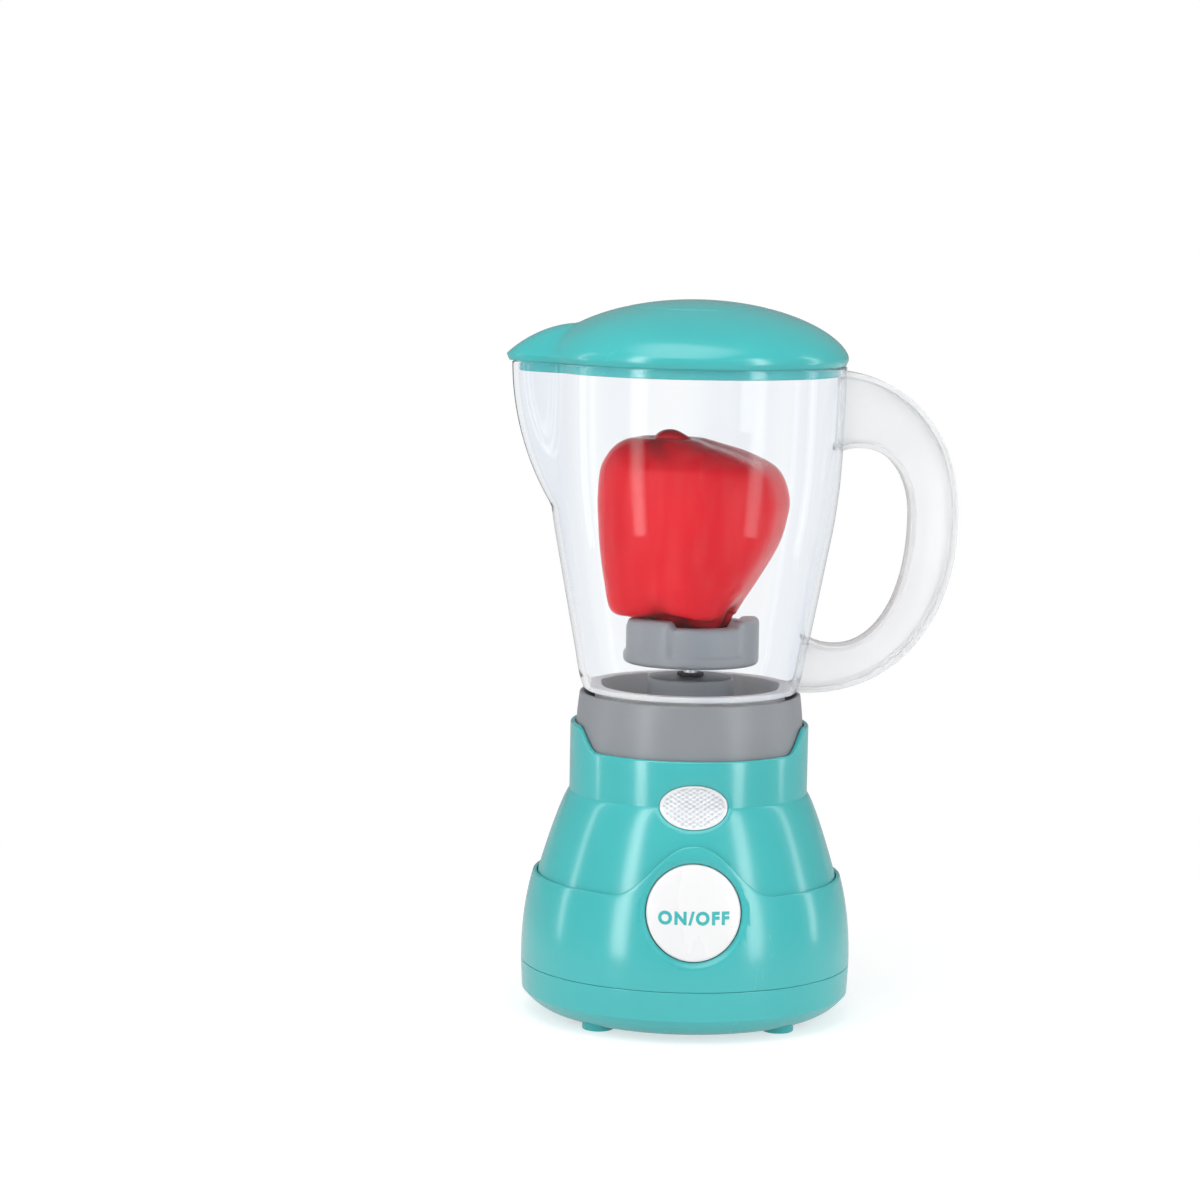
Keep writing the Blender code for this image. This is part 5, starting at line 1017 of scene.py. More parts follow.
def hairline_scratches():
    """Thin crossed scratches that lift the roughness here and there, as on handled smooth surfaces."""
    name = "hairline_scratches"
    if name in bpy.data.node_groups:
        return bpy.data.node_groups[name]
    outputs = (("Roughness", "Float"), ("Mask", "Float"))
    tree, start, end = effect_group(name, SCRATCHED_INPUTS, outputs)
    place = add_place(tree)
    lines = []
    for turn in SCRATCH_TURNS:
        mapped = add_mapping(tree, place, SCRATCH_STRETCH, turn)
        noise = add_noise(tree, mapped, start["Spread"], SCRATCH_DETAIL)
        lines.append(add_range(tree, noise, *SCRATCH_RANGE))
    patch = add_range(tree, add_noise(tree, place, *PATCH_NOISE), *PATCH_RANGE)
    total = add_math(tree, "MULTIPLY", add_math(tree, "MAXIMUM", *lines), patch)
    rise = add_math(tree, "MULTIPLY", total, start["Amount"])
    tree.links.new(add_math(tree, "ADD", start["Roughness"], rise), end["Roughness"])
    tree.links.new(total, end["Mask"])
    return tree


# Materials
def made_once(fill):
    """A maker of named materials from a function that fills a shader's tree: each name is made once."""

    def make(name, *values):
        held = bpy.data.materials.get(name)
        if held and held.get("dressed"):
            return held
        if held:
            held.name = f"{name}_frame"
        material = bpy.data.materials.new(name)
        material.use_nodes = True
        material["dressed"] = True
        tree = material.node_tree
        fill(tree, tree.nodes["Principled BSDF"], *values)
        return material

    return make


def mould(tree, shader, colour, roughness, drift, uneven, peel):
    """Moulded plastic's colour, gloss and orange peel on a shader; gives back its roughness."""
    values = {"Colour": colour, "Roughness": roughness, "Drift": drift, "Unevenness": uneven}
    made = add_group(tree, moulded_plastic(), values)
    tree.links.new(made["Colour"], shader.inputs["Base Color"])
    tree.links.new(made["Roughness"], shader.inputs["Roughness"])
    if peel:
        bump_into(tree, shader, made["Height"], peel)
    return made["Roughness"]


@made_once
def plastic(tree, shader, colour, roughness, drift, uneven, peel, coat):
    """Moulded plastic of one colour, with hairline scratches."""
    gloss = mould(tree, shader, (*colour, 1), roughness, drift, uneven, peel)
    scratched = add_group(tree, hairline_scratches(), {"Roughness": gloss, "Amount": SCRATCH_AMOUNT})
    tree.links.new(scratched["Roughness"], shader.inputs["Roughness"])
    set_inputs(shader, {"Coat Weight": coat, "Coat Roughness": COAT_ROUGHNESS, "IOR": PLASTIC_IOR})


@made_once
def clear_plastic(tree, shader, tint, edge):
    """Clear plastic: pale with faint upright bands face on, turning blue-grey at a glance by painted
    shade, rougher far out.
    """
    glance = add_node(tree, "ShaderNodeLayerWeight", {"Blend": GLANCE_BLEND}).outputs["Facing"]
    place = add_place(tree)
    flat = add_node(tree, "ShaderNodeVectorMath", {0: place, 1: (1, 1, 0)}, operation="MULTIPLY")
    reach = add_node(tree, "ShaderNodeVectorMath", {0: flat.outputs[0]}, operation="LENGTH")
    flow = add_noise(tree, add_mapping(tree, place, FLOW_STRETCH), *FLOW_NOISE)
    dim = dimmed(tint, CLEAR_FLOW_SHARES)
    face = add_mix(tree, add_range(tree, flow, *FLOW_RANGE), (*tint, 1), dim)
    # Painted shade: the jug turns blue-grey where it is seen at a glance
    colour = add_mix(tree, add_math(tree, "POWER", glance, GLANCE_POWER), face, (*edge, 1))
    frost = add_range(tree, reach.outputs["Value"], *FROST_REACH, *FROST_ROUGHNESSES)
    tree.links.new(colour, shader.inputs["Base Color"])
    tree.links.new(frost, shader.inputs["Roughness"])
    set_inputs(shader, {"Transmission Weight": 1.0, "IOR": CLEAR_IOR})
    bump_into(tree, shader, add_noise(tree, place, *RIPPLE_NOISE), RIPPLE_STRENGTH, RIPPLE_DISTANCE)


@made_once
def frosted_plastic(tree, shader, tint, clear_share, roughness):
    """Clear plastic that is milky where it is thick or finely ground."""
    mould(tree, shader, (*tint, 1), roughness, *MILKY_MOULD)
    set_inputs(shader, {"Transmission Weight": clear_share, "IOR": FROSTED_IOR})


@made_once
def lens_plastic(tree, shader, colour):
    """Bright faceted clear plastic over a pale reflector, darker in its prism grooves by painted shade.
    """
    # Painted shade: the lens turns darker where its prism grooves are deepest
    cut = add_range(tree, add_mark(tree, "cut"), *LENS_GROOVE_SHADE_RANGE)
    groove_shaded = add_mix(tree, cut, (*colour, 1), dimmed(colour, LENS_GROOVE_SHADE_SHARES))
    mould(tree, shader, groove_shaded, *LENS_MOULD)
    set_inputs(shader, LENS_GLOSS)


@made_once
def metal(tree, shader, colour, roughness):
    """Drawn or turned metal with fine lines along one direction."""
    lines = add_noise(tree, add_mapping(tree, add_place(tree), BRUSH_STRETCH), *BRUSH_NOISE)
    shade = add_range(tree, lines, *BRUSH_RANGE)
    dark = dimmed(colour, METAL_DARK_SHARES)
    tree.links.new(add_mix(tree, shade, dark, (*colour, 1)), shader.inputs["Base Color"])
    rough = add_range(tree, lines, *BRUSH_RANGE, roughness, roughness + BRUSH_ROUGHNESS)
    tree.links.new(rough, shader.inputs["Roughness"])
    set_inputs(shader, {"Metallic": 1.0})
    bump_into(tree, shader, lines, BRUSH_BUMP)


@made_once
def pepper_skin(tree, shader, colour, light, dark):
    """Glossy red skin with faint streaks along it, lighter at its edges by a painted sheen, and darker
    in its folds, its dent and its curl by painted shade.
    """
    streak = add_noise(tree, add_mapping(tree, add_place(tree), STREAK_STRETCH), *STREAK_NOISE)
    bright = add_range(tree, streak, *STREAK_RANGE, 0, STREAK_SHARE)
    skin = add_mix(tree, bright, (*colour, 1), (*light, 1))
    # Painted shade: the skin turns dark red in its folds, in the dent round its stalk and over the curl
    skin = add_mix(tree, add_range(tree, add_mark(tree, "fold_shade"), *FOLD_SHADE_RANGE), skin, (*dark, 1))
    # Painted sheen: the skin turns light red towards its glancing edges, as a reflection there would
    # look
    edge = add_node(tree, "ShaderNodeLayerWeight", {"Blend": SKIN_SHEEN_BLEND}).outputs["Facing"]
    skin = add_mix(tree, add_range(tree, edge, *SKIN_SHEEN_RANGE, 0, SKIN_SHEEN_SHARE), skin, (*light, 1))
    mould(tree, shader, skin, *SKIN_MOULD)
    set_inputs(shader, SKIN_GLOSS)


@made_once
def cell_jacket(tree, shader):
    """A battery's jacket: dark blue with a copper band near one end, and bare steel at both ends."""
    along = add_mark(tree, "along")
    band = add_range(tree, along, *CELL_BAND_SHARES)
    colour = add_mix(tree, band, CELL_BLUE, CELL_COPPER)
    near, far = (add_range(tree, along, *shares) for shares in CELL_END_SHARES)
    ends = add_math(tree, "MAXIMUM", near, far)
    mould(tree, shader, add_mix(tree, ends, colour, CELL_STEEL), *CELL_MOULD)
    bright = add_math(tree, "MAXIMUM", ends, add_math(tree, "MULTIPLY", band, COPPER_METALLIC))
    tree.links.new(bright, shader.inputs["Metallic"])


@made_once
def board_lacquer(tree, shader):
    """Green lacquer over copper tracks, with round tinned pads."""
    flat = add_mapping(tree, add_place(tree), turn=(math.pi / 2, 0, 0))
    inputs = {"Vector": flat, "Scale": TRACK_SCALE, "Mortar Size": TRACK_WIDTH_SHARE}
    inputs |= dict(zip(("Color1", "Color2", "Mortar"), BOARD_GREENS))
    tracks = add_node(tree, "ShaderNodeTexBrick", inputs)
    inputs = {"Vector": flat, "Scale": PAD_SCALE, "Randomness": PAD_RANDOMNESS}
    pads = add_node(tree, "ShaderNodeTexVoronoi", inputs)
    pad = add_range(tree, pads.outputs["Distance"], *PAD_RANGE)
    tree.links.new(add_mix(tree, pad, tracks.outputs[0], BOARD_TIN), shader.inputs["Base Color"])
    tree.links.new(pad, shader.inputs["Metallic"])
    set_inputs(shader, BOARD_GLOSS)
    bump_into(tree, shader, tracks.outputs["Fac"], TRACK_BUMP)


def finishes():
    """Every finish by its slot's name, with the colours that the sidebar shows."""
    looks = bpy.context.scene.toy_blender
    colours = {"teal": looks.teal, "grey": looks.grey, "white": looks.white, "black": BLACK}
    made = {name: plastic(name, colours[name], *values) for name, values in PLASTICS.items()}
    made["clear"] = clear_plastic("clear", looks.clear_face, looks.clear_glancing_shade)
    for name, values in FROSTED_PLASTICS.items():
        made[name] = frosted_plastic(name, looks.clear_face, *values)
    made["lens"] = lens_plastic("lens", looks.lens)
    made["red"] = pepper_skin("red", looks.red, looks.red_sheen_and_streaks, looks.red_fold_shade)
    for name, values in METALS.items():
        made[name] = metal(name, *values)
    made["board"] = board_lacquer("board")
    made["cell"] = cell_jacket("cell")
    return made


# The pan, its door and the cells
def pan_corner(inset):
    """The pan's rounded corner from its flat underside to its wall: a power of the run outwards."""
    run = BASE_RADIUS - PAN_CORNER_DRAFT - PAN_FLAT_RADIUS
    return [
        (
            PAN_FLAT_RADIUS + run * share - inset * share,
            UNDERSIDE + PAN_CORNER_RISE * share**PAN_CORNER_CURVE_SHARE + inset * (1 - share),
        )
        for share in np.linspace(0, 1, PAN_CORNER_STEPS)
    ]


def door_outline(room=0.0):
    """The door seen from above: a rectangle with a tongue for its screw."""
    x, y = DOOR_HALF_LENGTH + room, DOOR_HALF_WIDTH + room
    tongue_x, tongue_y = DOOR_TONGUE_HALF_WIDTH + room, DOOR_HALF_WIDTH + DOOR_TONGUE + room
    half = [(x, -y), (x, y), (tongue_x, y), (tongue_x, tongue_y)]
    return half + [(-across, along) for across, along in half[::-1]]


def screw_places():
    """Where the four closing screws stand, read from the frame."""
    corners = [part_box(f"housing_screw_{number}") for number in (1, 2, 3, 4)]
    return [((low[0] + high[0]) / 2, (low[1] + high[1]) / 2) for low, high in corners]


def build_pan(finish):
    """The tray: a turned shell with feet, screw wells and the battery box."""
    top = SEAM - SEAM_HALF_GAP
    outline = pan_corner(0) + [(BASE_RADIUS, top, FINE_EDGE), (BASE_RADIUS - WALL, top, FINE_EDGE)]
    pan = make_object("base_pan_shell", turned(outline + pan_corner(WALL)[::-1], closed=False))
    box_x = BOX_HALF_LENGTH + DOOR_LEDGE + BOX_WALL
    box_y = BOX_HALF_WIDTH + DOOR_LEDGE + BOX_WALL
    root = UNDERSIDE + WALL / 2
    carve(pan, [block((-box_x, -box_y, root), (box_x, box_y, BOX_TOP))], "UNION")
    boss_x = DOOR_TONGUE_HALF_WIDTH + BOX_WALL
    boss_y = DOOR_HALF_WIDTH + DOOR_TONGUE + GAP + BOX_WALL
    boss = block((-boss_x, box_y - BOX_WALL, root), (boss_x, boss_y, DOOR_TOP + DOOR_BOSS_RISE))
    carve(pan, [boss], "UNION")
    places = screw_places()
    feet = [post(FOOT_RADIUS, place, 0, UNDERSIDE + FOOT_ROOT, SOFT_EDGE) for place in FOOT_PLACES]
    carve(pan, feet, "UNION")
    carve(pan, [post(PAN_BOSS_RADIUS, place, root, top) for place in places], "UNION")
    carve(pan, [prism(door_outline(GAP), -OVERRUN, DOOR_TOP + GAP)])
    head = SCREW_HEAD_RADIUS + GAP
    bore = SCREW_RADIUS + GAP
    well = [
        (head + SOFT_EDGE, -OVERRUN),
        (head + SOFT_EDGE, UNDERSIDE),
        (head, UNDERSIDE + SOFT_EDGE),
        (head, SCREW_SEAT + GAP),
        (bore, SCREW_SEAT + GAP),
        (bore, SEAM + OVERRUN),
    ]
    cuts = [stacked(well, place) for place in places]
    end = DOOR_TOP + DOOR_SCREW_LENGTH
    cuts.append(post(DOOR_SCREW_RADIUS + GAP, (0, DOOR_SCREW_Y), -OVERRUN, end))
    inside = (BOX_HALF_LENGTH, BOX_HALF_WIDTH, BOX_CEILING)
    cuts.append(block((-BOX_HALF_LENGTH, -BOX_HALF_WIDTH, -OVERRUN), inside))
    carve(pan, cuts)
    dress(pan, finish["teal"], "base", ["base_pan"])


def build_door(finish):
    """The flat door with grip ridges and a sunk hole for its screw."""
    door = make_object("battery_door_panel", prism(door_outline(), UNDERSIDE, DOOR_TOP))
    bevelled(door, FINE_EDGE)
    x = np.linspace(-DOOR_RIDGE_HALF_LENGTH, DOOR_RIDGE_HALF_LENGTH, RIDGE_ROWS)
    z = np.full_like(x, UNDERSIDE + DOOR_RIDGE_RISE / 2)
    ridges = []
    for step in range(DOOR_RIDGES):
        y = np.full_like(x, (step - (DOOR_RIDGES - 1) / 2) * DOOR_RIDGE_PITCH)
        path = np.stack((x, y, z), -1)
        ridges.append(tube(path, DOOR_RIDGE_HALF_WIDTH, RIDGE_SIDES, DOOR_RIDGE_SECTION_SHARES))
    carve(door, ridges)
    seat = UNDERSIDE + DOOR_SCREW_HEAD_HEIGHT + GAP * DOOR_SEAT_PLAY_SHARE
    hole = [
        (DOOR_SCREW_HEAD_RADIUS + GAP, -OVERRUN),
        (DOOR_SCREW_HEAD_RADIUS + GAP, seat),
        (DOOR_SCREW_RADIUS + GAP, seat),
        (DOOR_SCREW_RADIUS + GAP, DOOR_TOP + OVERRUN),
    ]
    carve(door, [stacked(hole, (0, DOOR_SCREW_Y))])
    dress(door, finish["teal"], "door", ["battery_door"])


def build_cells(finish):
    """Three cells: a turned jacket with a crimped shoulder, a flat end and a nub, laid along X."""
    half = CELL_LENGTH / 2
    levels = [
        (CELL_RADIUS - 3 * CELL_CRIMP, -half + CELL_GROOVE, CELL_GROOVE),
        (CELL_RADIUS - 2 * CELL_CRIMP, -half, CELL_GROOVE),
        (CELL_RADIUS, -half, SOFT_EDGE),
        (CELL_RADIUS, half, SOFT_EDGE),
        (CELL_RADIUS - 2 * CELL_CRIMP, half, CELL_GROOVE),
        (CELL_RADIUS - 3 * CELL_CRIMP, half - CELL_GROOVE, CELL_GROOVE),
        (CELL_NUB_RADIUS, half - CELL_GROOVE, CELL_GROOVE),
        (CELL_NUB_RADIUS, half + CELL_NUB, FINE_EDGE),
    ]
    shape = stacked(levels, steps=CELL_STEPS)
    along = np.clip((shape[0][:, 2] + half) / CELL_LENGTH, 0, 1)
    for number, (row, way) in enumerate(((-1, 1), (0, -1), (1, 1)), 1):
        turn = Matrix.Rotation(way * math.pi / 2, 4, "Y")
        lie = Matrix.Translation((0, row * CELL_PITCH, CELL_HEIGHT)) @ turn
        cell = make_object(f"cell_{number}", moved(shape, lie))
        mark(cell, "along", along)
        dress(cell, finish["cell"], "base", [f"battery_cell_{number}"])


# The housings
def build_skirt(finish):
    """The lower housing: a turned shell with a wavy lip, and the button's tube and lipped well."""
    low = SEAM + SEAM_HALF_GAP

    def level(share, drop, inset):
        return following(lambda angle: low + (wave(angle) - drop - low) * share, skirt_radius, inset)

    outline = [(skirt_radius(low), low, FINE_EDGE)]
    outline += [level(share, BELL_OVERLAP, 0) for share in np.linspace(0, 1, SKIRT_ROWS)[1:]]
    outline += [
        lambda angle: (skirt_radius(wave(angle)), wave(angle), BROAD_EDGE),
        lambda angle: (bell_radius(wave(angle)) + BELL_PLAY, wave(angle) - FINE_EDGE, FINE_EDGE),
        lambda angle: (
            bell_radius(wave(angle) - BELL_OVERLAP) + BELL_PLAY,
            wave(angle) - BELL_OVERLAP - GAP,
        ),
    ]
    shares = np.linspace(1, 0, SKIRT_INNER_ROWS)
    outline += [level(share, BELL_OVERLAP + SOFT_EDGE, WALL) for share in shares]
    skirt = make_object("lower_housing_shell", turned(outline))
    tube_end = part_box("button_guide")[0][1] - GAP
    radii = np.linspace(POLE_RADIUS, TUBE_RADIUS, PLUG_ROWS)
    plug = [(radius, forward(skirt_radius, WALL / 2)) for radius in radii]
    plug += [(TUBE_RADIUS, tube_end), (POLE_RADIUS, tube_end)]
    carve(skirt, [axial(plug, BUTTON_HEIGHT, PLUG_STEPS)], "UNION")
    ahead = forward(skirt_radius, -OVERRUN)
    well = [(POLE_RADIUS, ahead), (WELL_RADIUS + 2 * WELL_LIP, ahead)]
    well += [
        (WELL_RADIUS + WELL_LIP * share, forward(skirt_radius, WELL_LIP_DEPTH * (1 - share)))
        for share in WELL_LIP_SHARES
    ]
    well += [(WELL_RADIUS, tube_end + OVERRUN), (POLE_RADIUS, tube_end + OVERRUN)]
    carve(skirt, [axial(well, BUTTON_HEIGHT, WELL_STEPS)])
    dress(skirt, finish["teal"], "base", ["lower_housing"])


def build_bell(finish):
    """The upper housing: a turned shell with bell, neck, ears and deck, and the lens's lipped hole."""

    def below(share, inset):
        return following(lambda angle: wave(angle) + (CREASE - wave(angle)) * share, bell_radius, inset)

    def start(inset):
        return following(lambda angle: wave(angle) - BELL_OVERLAP, bell_radius, inset)

    bore = COLLAR_RADIUS + GAP
    shares = 1 - np.linspace(1, 0, BELL_ROWS) ** BELL_ROW_SHARE
    outline = [start(0)] + [below(share, 0) for share in shares]
    outline += [(NECK_RADIUS, CREASE + NECK_HEIGHT * share) for share in NECK_ROW_SHARES]
    outline += [
        lambda angle: (NECK_RADIUS, ear_height(angle), BROAD_EDGE),
        lambda angle: (bore, ear_height(angle), SOFT_EDGE),
        (bore, DECK_TOP),
        (DECK_HOLE, DECK_TOP, FINE_EDGE),
        (DECK_HOLE, DECK_UNDER, FINE_EDGE),
        (NECK_RADIUS - NECK_WALL, DECK_UNDER, SOFT_EDGE),
    ]
    outline += [below(share, NECK_WALL) for share in shares[::-2]] + [start(NECK_WALL)]
    bell = make_object("upper_housing_shell", turned(outline))
    lip = LENS_LIP / LENS_HALF_HEIGHT
    ahead = forward(bell_radius, -OVERRUN)
    hole = [(LENS_HOLE_AXIS_SHARE, ahead), (1 + 2 * lip, ahead)]
    hole.append((1 + lip, forward(bell_radius, -LENS_LIP_DEPTH * LENS_LIP_START_SHARE)))
    for turn in np.linspace(*LENS_LIP_ANGLES, ARC_STEPS):
        depth = forward(bell_radius, LENS_LIP_DEPTH * (1 - math.cos(turn)))
        hole.append((1 + lip * (1 - math.sin(turn)), depth))
    hole += [(1, LENS_BACK), (LENS_HOLE_AXIS_SHARE, LENS_BACK)]
    wide, tall = LENS_HALF_WIDTH + GAP / 2, LENS_HALF_HEIGHT + GAP / 2
    carve(bell, [axial(hole, LENS_HEIGHT, LENS_HOLE_STEPS, wide, tall)])
    dress(bell, finish["teal"], "base", ["upper_housing"])


# The collar, the bush, the shaft and the rotor
def build_collar(finish):
    """The grey cup: a turned section with a bead at its rim, the jug's guide ring and a hollow boss."""
    rim = COLLAR_RADIUS - COLLAR_TAPER
    under = CUP_FLOOR - WALL
    bush_hole = BUSH_RADIUS + GAP
    outline = [
        (COLLAR_RADIUS, COLLAR_BOTTOM, FINE_EDGE),
        (COLLAR_RADIUS, COLLAR_BOTTOM + COLLAR_TAPER_START, COLLAR_TAPER_EASE),
        (rim, COLLAR_TOP, SOFT_EDGE),
        (CUP_RADIUS, COLLAR_TOP, SOFT_EDGE),
        (CUP_RADIUS, CUP_FLOOR, SOFT_EDGE),
        (RING_RADIUS, CUP_FLOOR, FINE_EDGE),
        (RING_RADIUS, CUP_FLOOR + RING_HEIGHT, SOFT_EDGE),
        (RING_RADIUS - RING_WIDTH, CUP_FLOOR + RING_HEIGHT, SOFT_EDGE),
        (RING_RADIUS - RING_WIDTH, CUP_FLOOR, FINE_EDGE),
        (BOSS_RADIUS, CUP_FLOOR, SOFT_EDGE),
        (BOSS_RADIUS, BOSS_TOP, BROAD_EDGE),
        (bush_hole, BOSS_TOP, FINE_EDGE),
        (bush_hole, BOSS_TOP - WALL, FINE_EDGE),
        (BOSS_RADIUS - WALL, BOSS_TOP - WALL, SOFT_EDGE),
        (BOSS_RADIUS - WALL, under, SOFT_EDGE),
        (COLLAR_RADIUS - WALL, under, SOFT_EDGE),
        (COLLAR_RADIUS - WALL, COLLAR_BOTTOM, FINE_EDGE),
    ]
    dress(make_object("collar_cup", turned(outline)), finish["grey"], "base", ["collar"])
    seat = BOSS_TOP + GAP
    bush = [
        (BUSH_RADIUS + BUSH_FLANGE, seat, FINE_EDGE),
        (BUSH_RADIUS + BUSH_FLANGE, seat + BUSH_FLANGE, FINE_EDGE),
        (SHAFT_BORE, seat + BUSH_FLANGE, FINE_EDGE),
        (SHAFT_BORE, seat - BUSH_LENGTH),
        (BUSH_RADIUS, seat - BUSH_LENGTH, FINE_EDGE),
        (BUSH_RADIUS, seat),
    ]
    dress(make_object("bush", turned(bush, steps=BUSH_STEPS)), finish["black"], "base", ["shaft_bush"])


def build_rotor(finish):
    """The rotor: a turned section whose wall rises and falls three times round, with a hub."""
    spacing = 2 * math.pi / ROTOR_WALL_COUNT
    floor = ROTOR_BOTTOM + ROTOR_FLOOR
    inner = ROTOR_RADIUS - ROTOR_WALL
    head = ROTOR_SCREW_HEAD_RADIUS + GAP
    hub_top = ROTOR_BOTTOM + HUB_HEIGHT

    def lug(angle):
        off = np.abs((angle - ROTOR_WALL_START + spacing / 2) % spacing - spacing / 2)
        run = ROTOR_WALL_END_ANGLE - ROTOR_WALL_FLAT_ANGLE
        return smooth_step((ROTOR_WALL_END_ANGLE - off) / run * 2)

    def wall_top(angle):
        return ROTOR_TOP - ROTOR_WALL_DIP * (1 - lug(angle))

    def outer(angle):
        return ROTOR_RADIUS - ROTOR_WALL_SET_IN * (1 - lug(angle))

    outline = [
        (SHAFT_BORE, ROTOR_BOTTOM, FINE_EDGE),
        (ROTOR_RADIUS, ROTOR_BOTTOM, ROTOR_CHAMFER),
        (ROTOR_RADIUS, floor, BROAD_EDGE),
        lambda angle: (outer(angle), floor + BROAD_EDGE, SOFT_EDGE),
        lambda angle: (outer(angle), wall_top(angle), 2 * BROAD_EDGE),
        lambda angle: (inner, wall_top(angle), 2 * BROAD_EDGE),
        (inner, floor, FINE_EDGE),
        (HUB_RADIUS, floor, SOFT_EDGE),
        (HUB_RADIUS, hub_top, SOFT_EDGE),
        (head, hub_top, FINE_EDGE),
        (head, HUB_SEAT, FINE_EDGE),
        (SHAFT_BORE, HUB_SEAT),
    ]
    rotor = make_object("rotor_disc", turned(outline, steps=ROTOR_STEPS))
    dress(rotor, finish["grey"], "drive", ["rotor"])
    low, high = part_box("output_shaft")
    shaft = post(SHAFT_RADIUS, (0, 0), low[2], high[2], FINE_EDGE, SHAFT_STEPS)
    dress(make_object("drive_shaft", shaft), finish["steel"], "drive", ["output_shaft"])


# The jug
def squared_turn(turn, wide, tall):
    """A point on a slightly squared oval: powers of the cosine and sine that keep their signs."""
    power = 2 / HANDLE_CURVE_SHARE
    across, up = np.cos(turn), np.sin(turn)
    return wide * np.sign(across) * np.abs(across) ** power, tall * np.sign(up) * np.abs(up) ** power


def handle_edge(turn, upper_x, lower_x, far_x, rise, drop):
    """One edge of the handle in the XZ plane: its own oval above and below the middle."""
    above = np.sin(turn) > 0
    centre = np.where(above, upper_x, lower_x)
    x, z = squared_turn(turn, far_x - centre, np.where(above, rise, drop))
    return np.stack((centre + x, np.zeros_like(turn), HANDLE_MIDDLE + z), -1)


def handle_solid():
    """The handle: an I section with rounded corners, carried between its inner and outer edges."""
    rise = JUG_TOP - HANDLE_TOP_DROP - HANDLE_MIDDLE
    drop = HANDLE_MIDDLE - JUG_BOTTOM
    outer_turn = np.linspace(*HANDLE_ANGLES, HANDLE_ROWS)
    inner_turn = np.linspace(*FINGER_ANGLES, HANDLE_ROWS)
    outer = handle_edge(outer_turn, HANDLE_UPPER_X, HANDLE_LOWER_X, HANDLE_OUTER_X, rise, drop)
    finger = (FINGER_UPPER_X, FINGER_LOWER_X, HANDLE_INNER_X, FINGER_RISE, FINGER_DROP)
    inner = handle_edge(inner_turn, *finger)
    flange = unit(outer - inner) * HANDLE_FLANGE
    half, web = HANDLE_THICKNESS / 2, HANDLE_WEB / 2
    near, far = inner + flange, outer - flange
    across = (inner, inner, near, near, far, far, outer, outer, far, far, near, near)
    sides = (-half, half, half, web, web, half, half, -half, -half, -web, -web, -half)
    flat, hollow = (SOFT_EDGE, SOFT_EDGE), (FINE_EDGE, BROAD_EDGE, BROAD_EDGE, FINE_EDGE)
    corners = np.array([edge + (0, side, 0) for edge, side in zip(across, sides)])
    grid = rounded(corners, flat + hollow + flat + hollow)
    return surface(np.swapaxes(grid, 0, 1))


def jug_ring(share, inset, cut=0.0, rise=0.0):
    """An outline entry on the jug's wall at a share of its height, this far in from its outer face."""
    height = JUG_BOTTOM + JUG_HEIGHT * share + rise
    return lambda angle: (jug_radius(share, angle, inset), height, cut)


def jug_section():
    """The jug's closed section: up the wall, over the rounded rim and back down the inside."""
    inner = JUG_FOOT_RADIUS - WALL
    shares = np.linspace(*JUG_ROW_SHARES, WALL_STEPS)
    outline = [(JUG_FOOT_RADIUS, JUG_BOTTOM, BROAD_EDGE)]
    outline += [jug_ring(share, 0) for share in shares]
    outline += [jug_ring(1.0, 0, SOFT_EDGE), jug_ring(1.0, WALL, SOFT_EDGE)]
    outline += [jug_ring(share, WALL) for share in shares[::-1] if share > JUG_FLOOR_SHARE]
    outline += [(inner, JUG_BOTTOM + JUG_LEDGE), (inner, JUG_BOTTOM)]
    return turned(outline)


def jug_foot():
    """The jug's frosted foot: a ledge inside the wall and the neck that stands in the collar."""
    neck = CUP_FLOOR + GAP
    floor = JUG_BOTTOM + JUG_LEDGE
    edge = JUG_FOOT_RADIUS - WALL - FOOT_JOIN
    return turned(
        [
            (JUG_NECK_RADIUS, neck, SOFT_EDGE),
            (JUG_NECK_RADIUS, JUG_BOTTOM, SOFT_EDGE),
            (edge, JUG_BOTTOM),
            (edge, floor),
            (JUG_NECK_BORE, floor, SOFT_EDGE),
            (JUG_NECK_BORE, neck, SOFT_EDGE),
        ]
    )


def jug_core():
    """A solid out to the middle of the jug's wall, which trims the handle's ends."""
    foot = JUG_NECK_BORE + WALL / 2
    outline = [(foot, CUP_FLOOR - OVERRUN), (foot, JUG_BOTTOM)]
    outline += [jug_ring(share, WALL / 2) for share in np.linspace(0, 1, CORE_ROWS)]
    outline.append(jug_ring(1.0, WALL / 2, rise=OVERRUN))
    return turned(outline, closed=False)


def build_jug(finish):
    """The clear jug, open at both ends: wall and spout, the handle rooted in the wall, and the foot."""
    handle = carve(make_object("jug_handle", handle_solid()), [jug_core()])
    jug = make_object("jug_moulding", jug_section())
    dress(jug, finish["clear"], "jug", ["jug"])
    dress(handle, finish["milky"], "jug", slot="clear")
    dress(make_object("jug_neck", jug_foot()), finish["frosted"], "jug", slot="clear")


